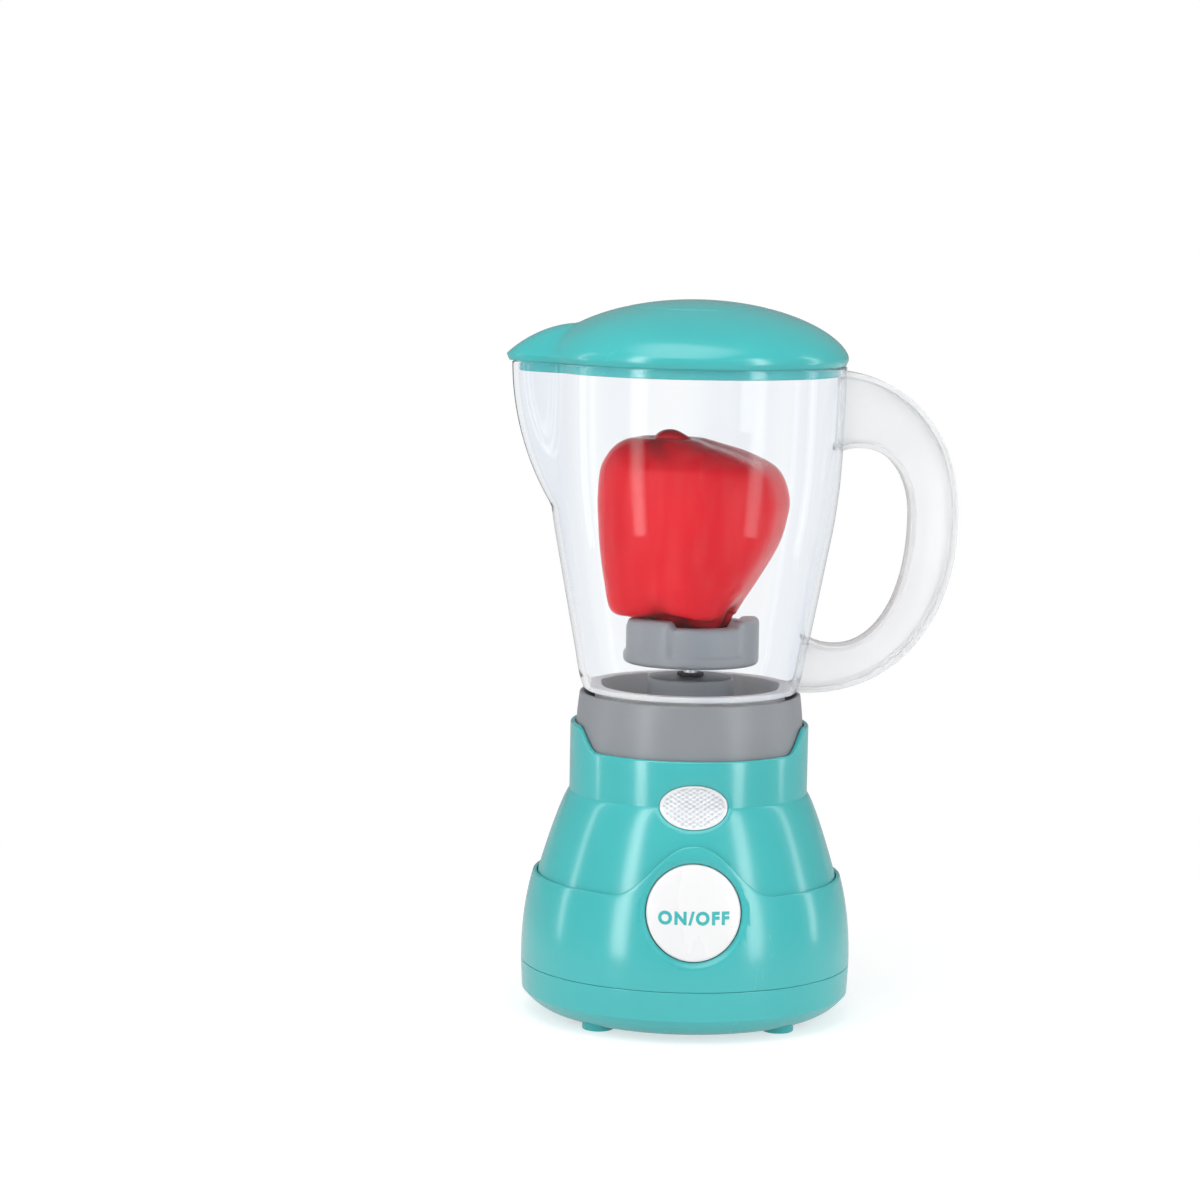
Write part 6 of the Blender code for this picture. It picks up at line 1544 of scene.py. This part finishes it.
def build_lid(finish):
    """The lid: over the dome with its round cap, down the rim band, and back under with its plug."""
    cap = LID_CAP_RADIUS
    start = cap + LID_CAP_STEP
    bottom = LID_SEAT - LID_PLUG_DEPTH

    def top(radius, at, drop=0.0, cut=0.0):
        return lambda angle: (radius, lid_height(at, angle) - drop, cut)

    def out(share):
        def entry(angle):
            radius = start + (lid_rim(angle) - LID_BAND_IN - start) * share
            return radius, lid_height(radius, angle)

        return entry

    def plug(depth, height, cut):
        return lambda angle: (jug_radius(1.0, angle, WALL) - LID_PLAY - depth, height, cut)

    def under(share):
        def entry(angle):
            radius = (jug_radius(1.0, angle, WALL) - LID_PLAY - LID_PLUG_WALL) * share
            return radius, lid_height(radius, angle) - LID_WALL

        return entry

    radii = np.linspace(POLE_RADIUS, cap - LID_CAP_STEP, LID_CAP_ROWS)
    outline = [top(radius, radius) for radius in radii]
    outline += [
        top(cap, cap - LID_CAP_STEP, FINE_EDGE, FINE_EDGE),
        top(cap + FINE_EDGE, start, LID_CAP_GROOVE, FINE_EDGE),
        top(start, start),
    ]
    outline += [out(share) for share in 1 - np.linspace(1, 0, LID_ROWS)[1:] ** LID_ROW_SHARE]
    outline += [
        lambda angle: (lid_rim(angle), LID_RIM_TOP, BROAD_EDGE),
        lambda angle: (lid_rim(angle) - LID_BAND_DRAFT, LID_SEAT, FINE_EDGE),
        plug(0, LID_SEAT, FINE_EDGE),
        plug(0, bottom, SOFT_EDGE),
        plug(LID_PLUG_WALL, bottom, SOFT_EDGE),
    ]
    outline += [under(share) for share in np.linspace(*LID_UNDER_SHARES, LID_UNDER_ROWS)]
    lid = make_object("lid_dome", turned(outline, closed=False, steps=LID_STEPS))
    dress(lid, finish["teal"], "lid", ["lid"])


def columns_of(table, steps):
    """A table's columns, eased between its rows at this many even steps, and the steps themselves."""
    table = np.array(table)
    keys = np.arange(len(table))
    at = np.linspace(0, len(table) - 1, steps)
    return [eased(keys, column, at) for column in table.T], at


def build_pepper(finish):
    """The pepper: ovals between two edges, swelling in four lobes with narrow folds between them."""
    columns, _ = columns_of(PEPPER_SHARES, PEPPER_ROWS)
    up, left, right = (column[:, None] for column in columns)
    middle, half = (left + right) / 2, np.maximum((right - left) / 2, PEPPER_LEAST_SHARE)
    turn = full_turn(PEPPER_STEPS)[None, :]
    lobe = np.cos(PEPPER_LOBES * (turn - PEPPER_LOBE_ANGLE))
    pinch = np.abs(np.sin(PEPPER_LOBES / 2 * (turn - PEPPER_LOBE_ANGLE))) ** PEPPER_CREASE_WIDTH_SHARE
    foot = smooth_step((PEPPER_FOOT_SHARE - up) / PEPPER_FOOT_RUN_SHARE)
    ends = foot + smooth_step((up - PEPPER_SHOULDER_SHARE) / PEPPER_SHOULDER_RUN_SHARE)
    crease = PEPPER_CREASE_SHARE * pinch * (PEPPER_CREASE_SIDE_SHARE + PEPPER_CREASE_END_SHARE * ends)
    swell = 1 + PEPPER_LOBE_SHARE * lobe * (1 + ends) - crease
    x = (middle + half * swell * np.cos(turn)) * PEPPER_RADIUS
    y = PEPPER_DEPTH_SHARE * half * swell * np.sin(turn) * PEPPER_RADIUS
    z = np.broadcast_to(PEPPER_SEAT + PEPPER_HEIGHT * up, x.shape)
    low = smooth_step((PEPPER_SAG_START_SHARE - up) / PEPPER_SAG_RUN_SHARE)
    sag = PEPPER_HEIGHT * PEPPER_SAG_SHARE * lobe * low * smooth_step(half / PEPPER_SAG_WIDTH_SHARE)
    pepper = make_object("pepper_body", surface(np.stack((x, y, z - sag), -1), along=False))
    # Painted shade: how dark the skin turns in its folds, more so near its ends, and in the dent round
    # the stalk
    dent = smooth_step((up - PEPPER_DENT_SHARE) / PEPPER_DENT_RUN_SHARE)
    fold_shade = np.clip(pinch * (FOLD_SHADE_SIDE_SHARE + FOLD_SHADE_END_SHARE * ends) + dent * FOLD_SHADE_DENT_SHARE, 0, 1)
    mark(pepper, "fold_shade", np.concatenate((fold_shade.ravel(), FOLD_SHADE_POLE_SHARES)))
    dress(pepper, finish["red"], "pepper", ["play_pepper"], sharp=PEPPER_SHARP_ANGLE)


def build_curl(finish):
    """The pepper's stump: a flattened tube that curls over its top and tapers at both ends."""
    (along, rise, thick), at = columns_of(CURL_SHARES, CURL_ROWS)
    front = CURL_FRONT_SHARE * PEPPER_RADIUS * np.sin(np.linspace(0, math.pi, len(at)))
    height = PEPPER_SEAT + PEPPER_HEIGHT * (rise - thick / 2)
    path = np.stack((along * PEPPER_RADIUS, -front, height), -1)
    fade = np.sqrt(np.clip(1 - (2 * at / at[-1] - 1) ** CURL_FADE_SHARE, CURL_TIP_SHARE, 1))
    radius = thick * fade * PEPPER_HEIGHT * CURL_THICKNESS_SHARE
    shape = tube(path, radius, CURL_SIDES, (1.0, CURL_DEPTH_SHARE))
    curl = make_object("pepper_curl", shape)
    # Painted shade: the curl is darkened all over
    mark(curl, "fold_shade", np.full(len(shape[0]), CURL_SHADE_SHARE))
    dress(curl, finish["red"], "pepper", sharp=PEPPER_SHARP_ANGLE)


# The button, its legend and its spring
def button_face(inset=0.0):
    """Depth of the button's face: the skirt's surface with a slight dome, moved in by inset."""
    base = forward(skirt_radius)

    def depth(x, z):
        bulge = 1 - (x**2 + (z - BUTTON_HEIGHT) ** 2) / BUTTON_RADIUS**2
        return base(x, z) - BUTTON_DOME * bulge + inset

    return depth


def build_button(finish):
    """The white cap: a domed face with a rounded edge, a skirt and a stem, all round one axis."""
    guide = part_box("button_guide")[0][1]
    cap_end = guide - BUTTON_TRAVEL - GAP
    stem_end = guide + WALL / 2
    inner = BUTTON_RADIUS - BUTTON_WALL
    flat = BUTTON_RADIUS - BUTTON_EDGE
    rings = [(radius, button_face()) for radius in np.linspace(POLE_RADIUS, flat, BUTTON_ROWS)]
    for turn in np.linspace(0, math.pi / 2, BUTTON_EDGE_STEPS)[1:]:
        radius = BUTTON_RADIUS - BUTTON_EDGE * (1 - math.sin(turn))
        rings.append((radius, button_face(BUTTON_EDGE * (1 - math.cos(turn)))))
    rings += [(radius, cap_end) for radius in (BUTTON_RADIUS, inner)]
    rings += [(radius, button_face(BUTTON_FACE_WALL)) for radius in (inner, STEM_RADIUS)]
    rings += [(STEM_RADIUS, stem_end), (POLE_RADIUS, stem_end)]
    cap = make_object("button_face", axial(rings, BUTTON_HEIGHT, BUTTON_STEPS))
    dress(cap, finish["white"], "button", ["button_cap"])


def build_legend(finish):
    """The raised words ON/OFF: flat letters sliced across and laid on the button's face."""
    text = bpy.data.curves.new("on_off", "FONT")
    text.body = "ON/OFF"
    text.align_x = "CENTER"
    text.align_y = "CENTER"
    text.size = LEGEND_HEIGHT
    text.offset = LEGEND_BOLD
    text.space_character = LEGEND_SPACING_SHARE
    text.resolution_u = LEGEND_CURVE_STEPS
    letters = placed("on_off", text)
    mesh = worked_out(letters)
    bpy.data.objects.remove(letters)
    flat = bmesh.new()
    flat.from_mesh(mesh)
    bmesh.ops.remove_doubles(flat, verts=flat.verts, dist=LEGEND_MERGE)
    across = np.array([vert.co.to_2d() for vert in flat.verts])
    low, high = across.min(0), across.max(0)
    for cut in np.linspace(low[0], high[0], LEGEND_SLICES)[1:-1]:
        whole = flat.verts[:] + flat.edges[:] + flat.faces[:]
        bmesh.ops.bisect_plane(flat, geom=whole, plane_co=(cut, 0, 0), plane_no=(1, 0, 0))
    flat.to_mesh(mesh)
    flat.free()
    scale = np.array((LEGEND_WIDTH, LEGEND_HEIGHT)) / (high - low)
    x, z = ((points_of(mesh)[:, :2] - (low + high) / 2) * scale).T
    z = BUTTON_HEIGHT - LEGEND_DROP + z
    y = button_face(-LEGEND_RISE)(x, z)
    mesh.vertices.foreach_set("co", np.stack((x, y, z), -1).ravel())
    mesh.update()
    legend = placed("button_legend", mesh)
    thick = legend.modifiers.new("thickness", "SOLIDIFY")
    thick.thickness = 3 * LEGEND_RISE
    thick.offset = -1
    dress(settled(legend), finish["teal"], "button")


def build_spring(finish):
    """The button's coil spring: a round wire along a helix."""
    low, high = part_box("button_spring")
    at = np.linspace(0, 1, SPRING_TURNS * SPRING_TURN_STEPS + 1)
    turn = 2 * math.pi * SPRING_TURNS * at
    start, end = low[1] + SPRING_WIRE, high[1] - SPRING_WIRE
    x = SPRING_RADIUS * np.cos(turn)
    z = BUTTON_HEIGHT + SPRING_RADIUS * np.sin(turn)
    path = np.stack((x, start + (end - start) * at, z), -1)
    spring = make_object("return_spring", tube(path, SPRING_WIRE, SPRING_SIDES))
    dress(spring, finish["steel"], "button", ["button_spring"])
    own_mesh(spring)


# The lens
def prism_grooves(x, z, share):
    """The lens's crossed grooves, 0 to 2: two slanted triangle waves that fade out at the plain rim."""
    drop = z - LENS_HEIGHT
    waves = [np.abs((x * PRISM_LEAN_SHARE + way * drop) / PRISM_PITCH % 1 * 2 - 1) for way in SIDES]
    return sum(waves) * smooth_step((PRISM_RIM_SHARE - share) / PRISM_FADE_SHARE)


def lens_plug(start, end, wide, tall):
    """An oval plug behind the lens's face, between two depths."""
    rings = [(LENS_AXIS_SHARE, start), (1, start), (1, end), (LENS_AXIS_SHARE, end)]
    return axial(rings, LENS_HEIGHT, PLUG_STEPS, wide, tall)


def build_lens(finish):
    """The oval lens: a face cut in diamond prisms inside a plain rim, a plug, a flange and a pocket."""

    def face(inset, share):
        base = forward(bell_radius, LENS_RECESS)
        return lambda x, z: base(x, z) + inset + PRISM_DEPTH * prism_grooves(x, z, share)

    rings = [(share, face(0.0, share)) for share in np.linspace(*LENS_FACE_SHARES, LENS_ROWS)]
    for turn in np.linspace(0, math.pi / 2, ARC_STEPS):
        share = LENS_EDGE_SHARE + (1 - LENS_EDGE_SHARE) * math.sin(turn)
        rings.append((share, face(LENS_EDGE * (1 - math.cos(turn)), 1)))
    front = LENS_BACK - LENS_FLANGE_THICKNESS
    rings += [(1, front), (LENS_AXIS_SHARE, front)]
    oval = axial(rings, LENS_HEIGHT, LENS_STEPS, LENS_HALF_WIDTH, LENS_HALF_HEIGHT)
    lens = make_object("lens_face", oval)
    wide, tall = LENS_HALF_WIDTH + LENS_FLANGE, LENS_HALF_HEIGHT + LENS_FLANGE
    carve(lens, [lens_plug(front - GAP, LENS_BACK, wide, tall)], "UNION")
    pocket = (LENS_BACK + OVERRUN, LENS_BACK - POCKET_DEPTH, POCKET_HALF_WIDTH, POCKET_HALF_HEIGHT)
    carve(lens, [lens_plug(*pocket)])
    x, _, z = points_of(lens.data).T
    share = np.hypot(x / LENS_HALF_WIDTH, (z - LENS_HEIGHT) / LENS_HALF_HEIGHT)
    # The prism grooves' depth, which the lens's material turns into painted shade
    mark(lens, "cut", prism_grooves(x, z, share) / 2)
    dress(lens, finish["lens"], "base", ["lamp_lens"], sharp=LENS_SHARP_ANGLE)


# Screws, each with its axis, its head's height and its shank
THREAD_PITCH = 0.0009
THREAD_SHARE = 0.22
CROSS_HALF_WIDTH_SHARE = 0.17
CROSS_REACH_SHARE = 0.62
CROSS_DEPTH_SHARE = 0.55
CROSS_FADE_SHARE = 0.06
CROSS_END_FADE_SHARE = 0.1
HEAD_SIDE_SHARE = 0.55
HEAD_AXIS_SHARE = 0.02
TIP_SHARE = 0.12
GEARBOX_SCREW_RADIUS = 0.0012
GEARBOX_HEAD_HEIGHT = 0.0015
LAMP_SCREW_RADIUS = 0.001
ROTOR_SCREW_RADIUS = 0.0012
SCREW_KINDS = (
    ("housing_screw", ("1", "2", "3", "4"), (0, 0, 1), SCREW_RADIUS, SCREW_HEAD_HEIGHT, "base"),
    ("gearbox_screw", ("1", "2", "3"), (0, 0, 1), GEARBOX_SCREW_RADIUS, GEARBOX_HEAD_HEIGHT, "base"),
    ("guide_screw", ("left", "right"), (0, -1, 0), DOOR_SCREW_RADIUS, DOOR_SCREW_HEAD_HEIGHT, "base"),
    ("lamp_screw", ("left", "right"), (0, -1, 0), LAMP_SCREW_RADIUS, DOOR_SCREW_HEAD_HEIGHT, "base"),
    ("battery_door_screw", ("",), (0, 0, 1), DOOR_SCREW_RADIUS, DOOR_SCREW_HEAD_HEIGHT, "door"),
    ("rotor_screw", ("",), (0, 0, -1), ROTOR_SCREW_RADIUS, ROTOR_SCREW_HEAD_HEIGHT, "drive"),
)


def screw_solid(length, shank, head_radius, head_height):
    """A screw along +Z: a domed head with a crossed recess, and a shank that follows a helix."""
    turn = full_turn(SCREW_STEPS)[None, :]
    share = np.linspace(HEAD_AXIS_SHARE, 1, SCREW_HEAD_ROWS)[:, None]
    radius = head_radius * share
    x, y = radius * np.cos(turn), radius * np.sin(turn)
    near = np.minimum(np.abs(x), np.abs(y)) / head_radius
    far = np.maximum(np.abs(x), np.abs(y)) / head_radius
    slot = smooth_step((CROSS_HALF_WIDTH_SHARE - near) / CROSS_FADE_SHARE)
    slot = slot * smooth_step((CROSS_REACH_SHARE - far) / CROSS_END_FADE_SHARE)
    bulge = np.sqrt(np.clip(1 - share**2, 0, 1))
    dome = head_height * (HEAD_SIDE_SHARE + (1 - HEAD_SIDE_SHARE) * bulge)
    face = -dome + slot * head_height * CROSS_DEPTH_SHARE
    head = np.stack((x, y, np.broadcast_to(face, x.shape)), -1)
    seat = np.stack((x[-1], y[-1], np.zeros(turn.shape[1])), -1)[None]
    rows = np.linspace(0, 1, SCREW_ROWS)[:, None]
    z = length * rows
    taper = np.clip((1 - rows) * length / (2 * shank), TIP_SHARE, 1)
    thread = np.abs(((z / THREAD_PITCH - turn / (2 * math.pi)) % 1) * 2 - 1)
    reach = shank * (1 - THREAD_SHARE * thread) * taper
    body = np.stack((reach * np.cos(turn), reach * np.sin(turn), np.broadcast_to(z, reach.shape)), -1)
    return surface(np.concatenate((head, seat, body)))


def build_screws(finish):
    """Every screw, placed by its node's box: the head at one end, the shank's tip at the other."""
    for kind, labels, axis, shank, head_height, body in SCREW_KINDS:
        for label in labels:
            name = f"{kind}_{label}" if label else kind
            low, high = (Vector(corner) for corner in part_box(name))
            along = Vector(axis)
            sizes = high - low
            run = abs(sizes.dot(along))
            head_radius = sorted(sizes)[1] / 2
            middle = (low + high) / 2
            seat = middle - along * (run / 2 - head_height)
            turn = along.to_track_quat("Z", "Y").to_matrix().to_4x4()
            solid = screw_solid(run - head_height, shank, head_radius, head_height)
            piece = make_object(f"{name}_fine", moved(solid, Matrix.Translation(seat) @ turn))
            dress(piece, finish["steel"], body, [name])


# What stays inside, on the frame's own shapes
INSIDE_FINISHES = {
    "battery_contact_minus": "steel",
    "battery_contact_plus": "steel",
    "battery_link_left": "steel",
    "battery_link_right": "steel",
    "button_guide": "white",
    "circuit_board": "board",
    "gearbox_case": "grey",
    "gearbox_cover": "grey",
    "idler_axle": "steel",
    "idler_gear": "white",
    "lamp_bulb": "lens",
    "lamp_holder": "white",
    "motor": "can",
    "motor_pinion": "brass",
    "motor_shaft": "steel",
    "output_gear": "white",
    "switch_body": "black",
    "switch_plunger": "red",
}


def finish_inside(finish):
    """Procedural finishes on the frame's own pieces."""
    for name, slot in INSIDE_FINISHES.items():
        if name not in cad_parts:
            raise RuntimeError(f"the frame has no {name}")
        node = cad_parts[name]
        if not node.material_slots:
            raise RuntimeError(f"{name} has no material slot")
        for place in node.material_slots:
            place.material = finish[slot]


# The ground, the light and the camera
def blank_tree(data):
    """The emptied node tree of a material or a world."""
    data.use_nodes = True
    data.node_tree.nodes.clear()
    return data.node_tree


def glow(tree, strength):
    """White light that a surface gives."""
    return add_node(tree, "ShaderNodeEmission", {"Color": WHITE, "Strength": strength}).outputs[0]


def choose(tree, factor, first, second):
    """A shader that turns from the first into the second as a factor goes from 0 to 1."""
    return add_node(tree, "ShaderNodeMixShader", {0: factor, 1: first, 2: second}).outputs[0]


def kinds_of_ray(tree):
    """The kinds of ray, and 1 for those from the camera, straight or through something clear."""
    path = add_node(tree, "ShaderNodeLightPath").outputs
    return path, add_math(tree, "MAXIMUM", path["Is Camera Ray"], path["Is Transmission Ray"])


def floor_material():
    """Pale and lifted near the piece, glowing white far from it, and clear from below."""
    looks = bpy.context.scene.toy_blender
    material = bpy.data.materials.new("floor")
    tree = blank_tree(material)
    far = add_node(tree, "ShaderNodeVectorMath", {0: add_place(tree)}, operation="LENGTH")
    clear = add_range(tree, far.outputs["Value"], FLOOR_CLEAR_START, FLOOR_CLEAR_END)
    _, seen = kinds_of_ray(tree)
    level = add_range(tree, seen, 0, 1, FLOOR_GLOW_SHARE, 1)
    pale = add_node(tree, "ShaderNodeBsdfDiffuse", {"Color": (*looks.floor, 1)}).outputs[0]
    lift = glow(tree, add_math(tree, "MULTIPLY", level, looks.floor_lift))
    near = add_node(tree, "ShaderNodeAddShader", {0: pale, 1: lift}).outputs[0]
    shown = choose(tree, clear, near, glow(tree, level))
    below = add_node(tree, "ShaderNodeNewGeometry").outputs["Backfacing"]
    through = add_node(tree, "ShaderNodeBsdfTransparent").outputs[0]
    add_node(tree, "ShaderNodeOutputMaterial", {"Surface": choose(tree, below, shown, through)})
    return material


def build_floor():
    """A round floor of rings about its middle point, seen from above only."""
    rings = len(FLOOR_RINGS)
    turn = full_turn(FLOOR_STEPS)[None, :]
    reach = np.array(FLOOR_RINGS)[:, None]
    grid = np.stack((reach * np.cos(turn), reach * np.sin(turn), np.zeros((rings, FLOOR_STEPS))), -1)
    points = np.vstack((grid.reshape(-1, 3), (0, 0, 0)))
    index = np.arange(rings * FLOOR_STEPS).reshape(rings, FLOOR_STEPS)
    low, high = index[:-1], index[1:]
    quads = np.stack((low, high, np.roll(high, -1, 1), np.roll(low, -1, 1)), -1).reshape(-1, 4)
    fan = np.stack((index[0], np.roll(index[0], -1), np.full(FLOOR_STEPS, index.size)), -1)
    floor = make_object("floor", (points, quads.tolist() + fan.tolist()))
    floor.data.materials.append(floor_material())


def build_world():
    """A plain world: white where it is seen or seen through, and a soft fill for the rest."""
    looks = bpy.context.scene.toy_blender
    world = bpy.data.worlds.new("studio")
    bpy.context.scene.world = world
    tree = blank_tree(world)
    path, seen = kinds_of_ray(tree)
    fill = add_range(tree, path["Is Glossy Ray"], 0, 1, looks.fill, looks.gloss)
    shades = [
        add_node(tree, "ShaderNodeBackground", {"Color": WHITE, "Strength": strength}).outputs[0]
        for strength in (fill, 1.0)
    ]
    add_node(tree, "ShaderNodeOutputWorld", {"Surface": choose(tree, seen, *shades)})


def softbox_glow(name, level):
    """White light whose strength follows the softbox's own spread, on its front only."""
    material = bpy.data.materials.new(name)
    tree = blank_tree(material)
    back = add_node(tree, "ShaderNodeNewGeometry").outputs["Backfacing"]
    strength = add_math(tree, "MULTIPLY", add_mark(tree, "spread"), level)
    strength = add_math(tree, "MULTIPLY", strength, add_math(tree, "SUBTRACT", 1.0, back))
    add_node(tree, "ShaderNodeOutputMaterial", {"Surface": glow(tree, strength)})
    return material


def add_softbox(name, place, aim, size, level):
    """A flat grid turned to a point, bright in its middle and fading out to its edges."""
    run = Vector(aim) - Vector(place)
    stand = Matrix.Translation(place) @ run.to_track_quat("-Z", "Y").to_matrix().to_4x4()
    even = np.linspace(-1, 1, SOFTBOX_STEPS)
    across, up = np.meshgrid(even, even)
    flat = np.stack((across * size[0] / 2, up * size[1] / 2, np.zeros_like(up)), -1)
    index = np.arange(SOFTBOX_STEPS**2).reshape(SOFTBOX_STEPS, SOFTBOX_STEPS)
    faces = np.stack((index[:-1, :-1], index[1:, :-1], index[1:, 1:], index[:-1, 1:]), -1)
    box = make_object(name, moved((flat.reshape(-1, 3), faces.reshape(-1, 4).tolist()), stand))
    spread = 1
    for off, start in zip((across, up), SOFTBOX_FADE_SHARES):
        spread = spread * (1 - smooth_step((np.abs(off) - start) / (1 - start)))
    mark(box, "spread", spread.ravel())
    box.data.materials.append(softbox_glow(name, level))
    box.visible_camera = False


def build_softboxes():
    """Upright strips in front and beside, left and right, and a broad soft one overhead."""
    level = bpy.context.scene.toy_blender.box_level
    for name, place, aim, size, share in SOFTBOXES:
        add_softbox(name, place, aim, size, level * share)


def build_camera():
    """A camera in front and a little above, turned so that the piece is off the middle, and rolled."""
    side, front = math.sin(CAMERA_AZIMUTH), math.cos(CAMERA_AZIMUTH)
    level = math.cos(CAMERA_PITCH)
    ahead = Vector((-side * level, front * level, -math.sin(CAMERA_PITCH)))
    right = ahead.cross(Vector((0, 0, 1))).normalized()
    up = right.cross(ahead)
    focal = PHOTO_WIDTH * CAMERA_LENS / CAMERA_SENSOR
    yaw = math.atan((PHOTO_MIDDLE - PHOTO_WIDTH / 2) / focal)
    turn = Matrix.Rotation(yaw, 3, up)
    ahead, right = turn @ ahead, turn @ right
    roll = Matrix.Rotation(CAMERA_ROLL, 3, ahead)
    data = bpy.data.cameras.new("camera")
    data.lens = CAMERA_LENS
    data.sensor_width = CAMERA_SENSOR
    camera = placed("camera", data)
    stand = Matrix((roll @ right, roll @ up, -ahead)).transposed().to_4x4()
    stand.translation = (side * CAMERA_DISTANCE, -front * CAMERA_DISTANCE, CAMERA_HEIGHT)
    camera.matrix_world = stand
    bpy.context.scene.camera = camera


# The add-on
def colour_value(label, about, default):
    """A colour that the sidebar shows."""
    return bpy.props.FloatVectorProperty(
        name=label, description=about, subtype="COLOR", size=3, min=0, max=1, default=default
    )


def level_value(label, about, default, top):
    """A strength that the sidebar shows."""
    return bpy.props.FloatProperty(name=label, description=about, default=default, min=0, max=top)


class ToyBlenderLooks(bpy.types.PropertyGroup):
    """Colours and light that a user would change."""

    teal: colour_value("Teal", "Housings, pan and lid", (0.055, 0.47, 0.475))
    grey: colour_value("Grey", "Collar and rotor", (0.265, 0.28, 0.3))
    white: colour_value("White", "Button and inner plates", (0.84, 0.84, 0.845))
    red: colour_value("Red", "The pepper's skin", (0.72, 0.006, 0.016))
    # Light red: the painted sheen at the pepper's glancing edges, and its streaks
    red_sheen_and_streaks: colour_value("Light red", "Edges and streaks of the pepper", (0.86, 0.12, 0.11))
    # Dark red: the painted shade in the pepper's folds and over its curl
    red_fold_shade: colour_value("Dark red", "Folds and curl of the pepper", (0.4, 0.006, 0.014))
    clear_face: colour_value("Clear, face on", "The jug at right angles", (0.97, 0.98, 0.99))
    # The painted blue-grey shade of the jug at glancing angles
    clear_glancing_shade: colour_value("Clear, glancing", "The jug at its edges", (0.72, 0.78, 0.84))
    lens: colour_value("Lens", "The lamp's lens", (0.93, 0.94, 0.96))
    floor: colour_value("Floor", "The pale floor", (0.55, 0.55, 0.555))
    floor_lift: level_value("Floor lift", "Light that the seen floor adds", 0.6, 1)
    fill: level_value("Fill", "Strength of the plain fill light", 0.47, 2)
    gloss: level_value("Gloss", "Strength of the studio in reflections", 0.3, 1)
    box_level: level_value("Softbox level", "Strength of the softboxes at their middles", 7.0, 50)


class PieceOperator:
    """What every piece's operator shares: it builds its pieces with the finishes."""

    bl_options = {"REGISTER", "UNDO"}
    makers = ()

    def execute(self, context):
        finish = finishes()
        for maker in self.makers:
            maker(finish)
        return {"FINISHED"}


class BuildUnderside(PieceOperator, bpy.types.Operator):
    """Build the pan, its door and the cells"""

    bl_idname = "toy_blender.underside"
    bl_label = "Pan, door and cells"
    makers = (build_pan, build_door, build_cells)


class BuildHousings(PieceOperator, bpy.types.Operator):
    """Build the skirt and the bell"""

    bl_idname = "toy_blender.housings"
    bl_label = "Housings"
    makers = (build_skirt, build_bell)


class BuildDrive(PieceOperator, bpy.types.Operator):
    """Build the collar, the bush, the shaft and the rotor"""

    bl_idname = "toy_blender.drive"
    bl_label = "Collar and rotor"
    makers = (build_collar, build_rotor)


class BuildJug(PieceOperator, bpy.types.Operator):
    """Build the clear jug with its handle"""

    bl_idname = "toy_blender.jug"
    bl_label = "Jug"
    makers = (build_jug,)


class BuildLid(PieceOperator, bpy.types.Operator):
    """Build the lid"""

    bl_idname = "toy_blender.lid"
    bl_label = "Lid"
    makers = (build_lid,)


class BuildPepper(PieceOperator, bpy.types.Operator):
    """Build the play pepper"""

    bl_idname = "toy_blender.pepper"
    bl_label = "Pepper"
    makers = (build_pepper, build_curl)


class BuildButton(PieceOperator, bpy.types.Operator):
    """Build the button, its words and its spring"""

    bl_idname = "toy_blender.button"
    bl_label = "Button"
    makers = (build_button, build_legend, build_spring)


class BuildLens(PieceOperator, bpy.types.Operator):
    """Build the lamp's lens"""

    bl_idname = "toy_blender.lens"
    bl_label = "Lens"
    makers = (build_lens,)


class BuildScrews(PieceOperator, bpy.types.Operator):
    """Build every screw"""

    bl_idname = "toy_blender.screws"
    bl_label = "Screws"
    makers = (build_screws,)


class FinishInside(PieceOperator, bpy.types.Operator):
    """Give the inner pieces their finishes"""

    bl_idname = "toy_blender.inside"
    bl_label = "Inner pieces"
    makers = (finish_inside,)


class BuildStage(bpy.types.Operator):
    """Build the floor, the light and the camera"""

    bl_idname = "toy_blender.stage"
    bl_label = "Stage"

    def execute(self, context):
        build_camera()
        build_world()
        build_softboxes()
        build_floor()
        context.scene.view_settings.view_transform = "Standard"
        return {"FINISHED"}


OPERATORS = (
    BuildStage,
    BuildUnderside,
    BuildHousings,
    BuildDrive,
    BuildJug,
    BuildLid,
    BuildPepper,
    BuildButton,
    BuildLens,
    BuildScrews,
    FinishInside,
)


class ToyBlenderPanel(bpy.types.Panel):
    """The sidebar's list of pieces and colours"""

    bl_idname = "VIEW3D_PT_toy_blender"
    bl_label = "Toy blender"
    bl_space_type = "VIEW_3D"
    bl_region_type = "UI"
    bl_category = "Toy blender"

    def draw(self, context):
        for key in ToyBlenderLooks.__annotations__:
            self.layout.prop(context.scene.toy_blender, key)
        for operator in OPERATORS:
            self.layout.operator(operator.bl_idname)


CLASSES = (ToyBlenderLooks, *OPERATORS, ToyBlenderPanel)


def register():
    for kind in CLASSES:
        bpy.utils.register_class(kind)
    bpy.types.Scene.toy_blender = bpy.props.PointerProperty(type=ToyBlenderLooks)


def unregister():
    del bpy.types.Scene.toy_blender
    for kind in reversed(CLASSES):
        bpy.utils.unregister_class(kind)


def main():
    """Registers the add-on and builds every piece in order."""
    register()
    for operator in OPERATORS:
        group, _, name = operator.bl_idname.partition(".")
        getattr(getattr(bpy.ops, group), name)()


if __name__ == "__main__":
    main()
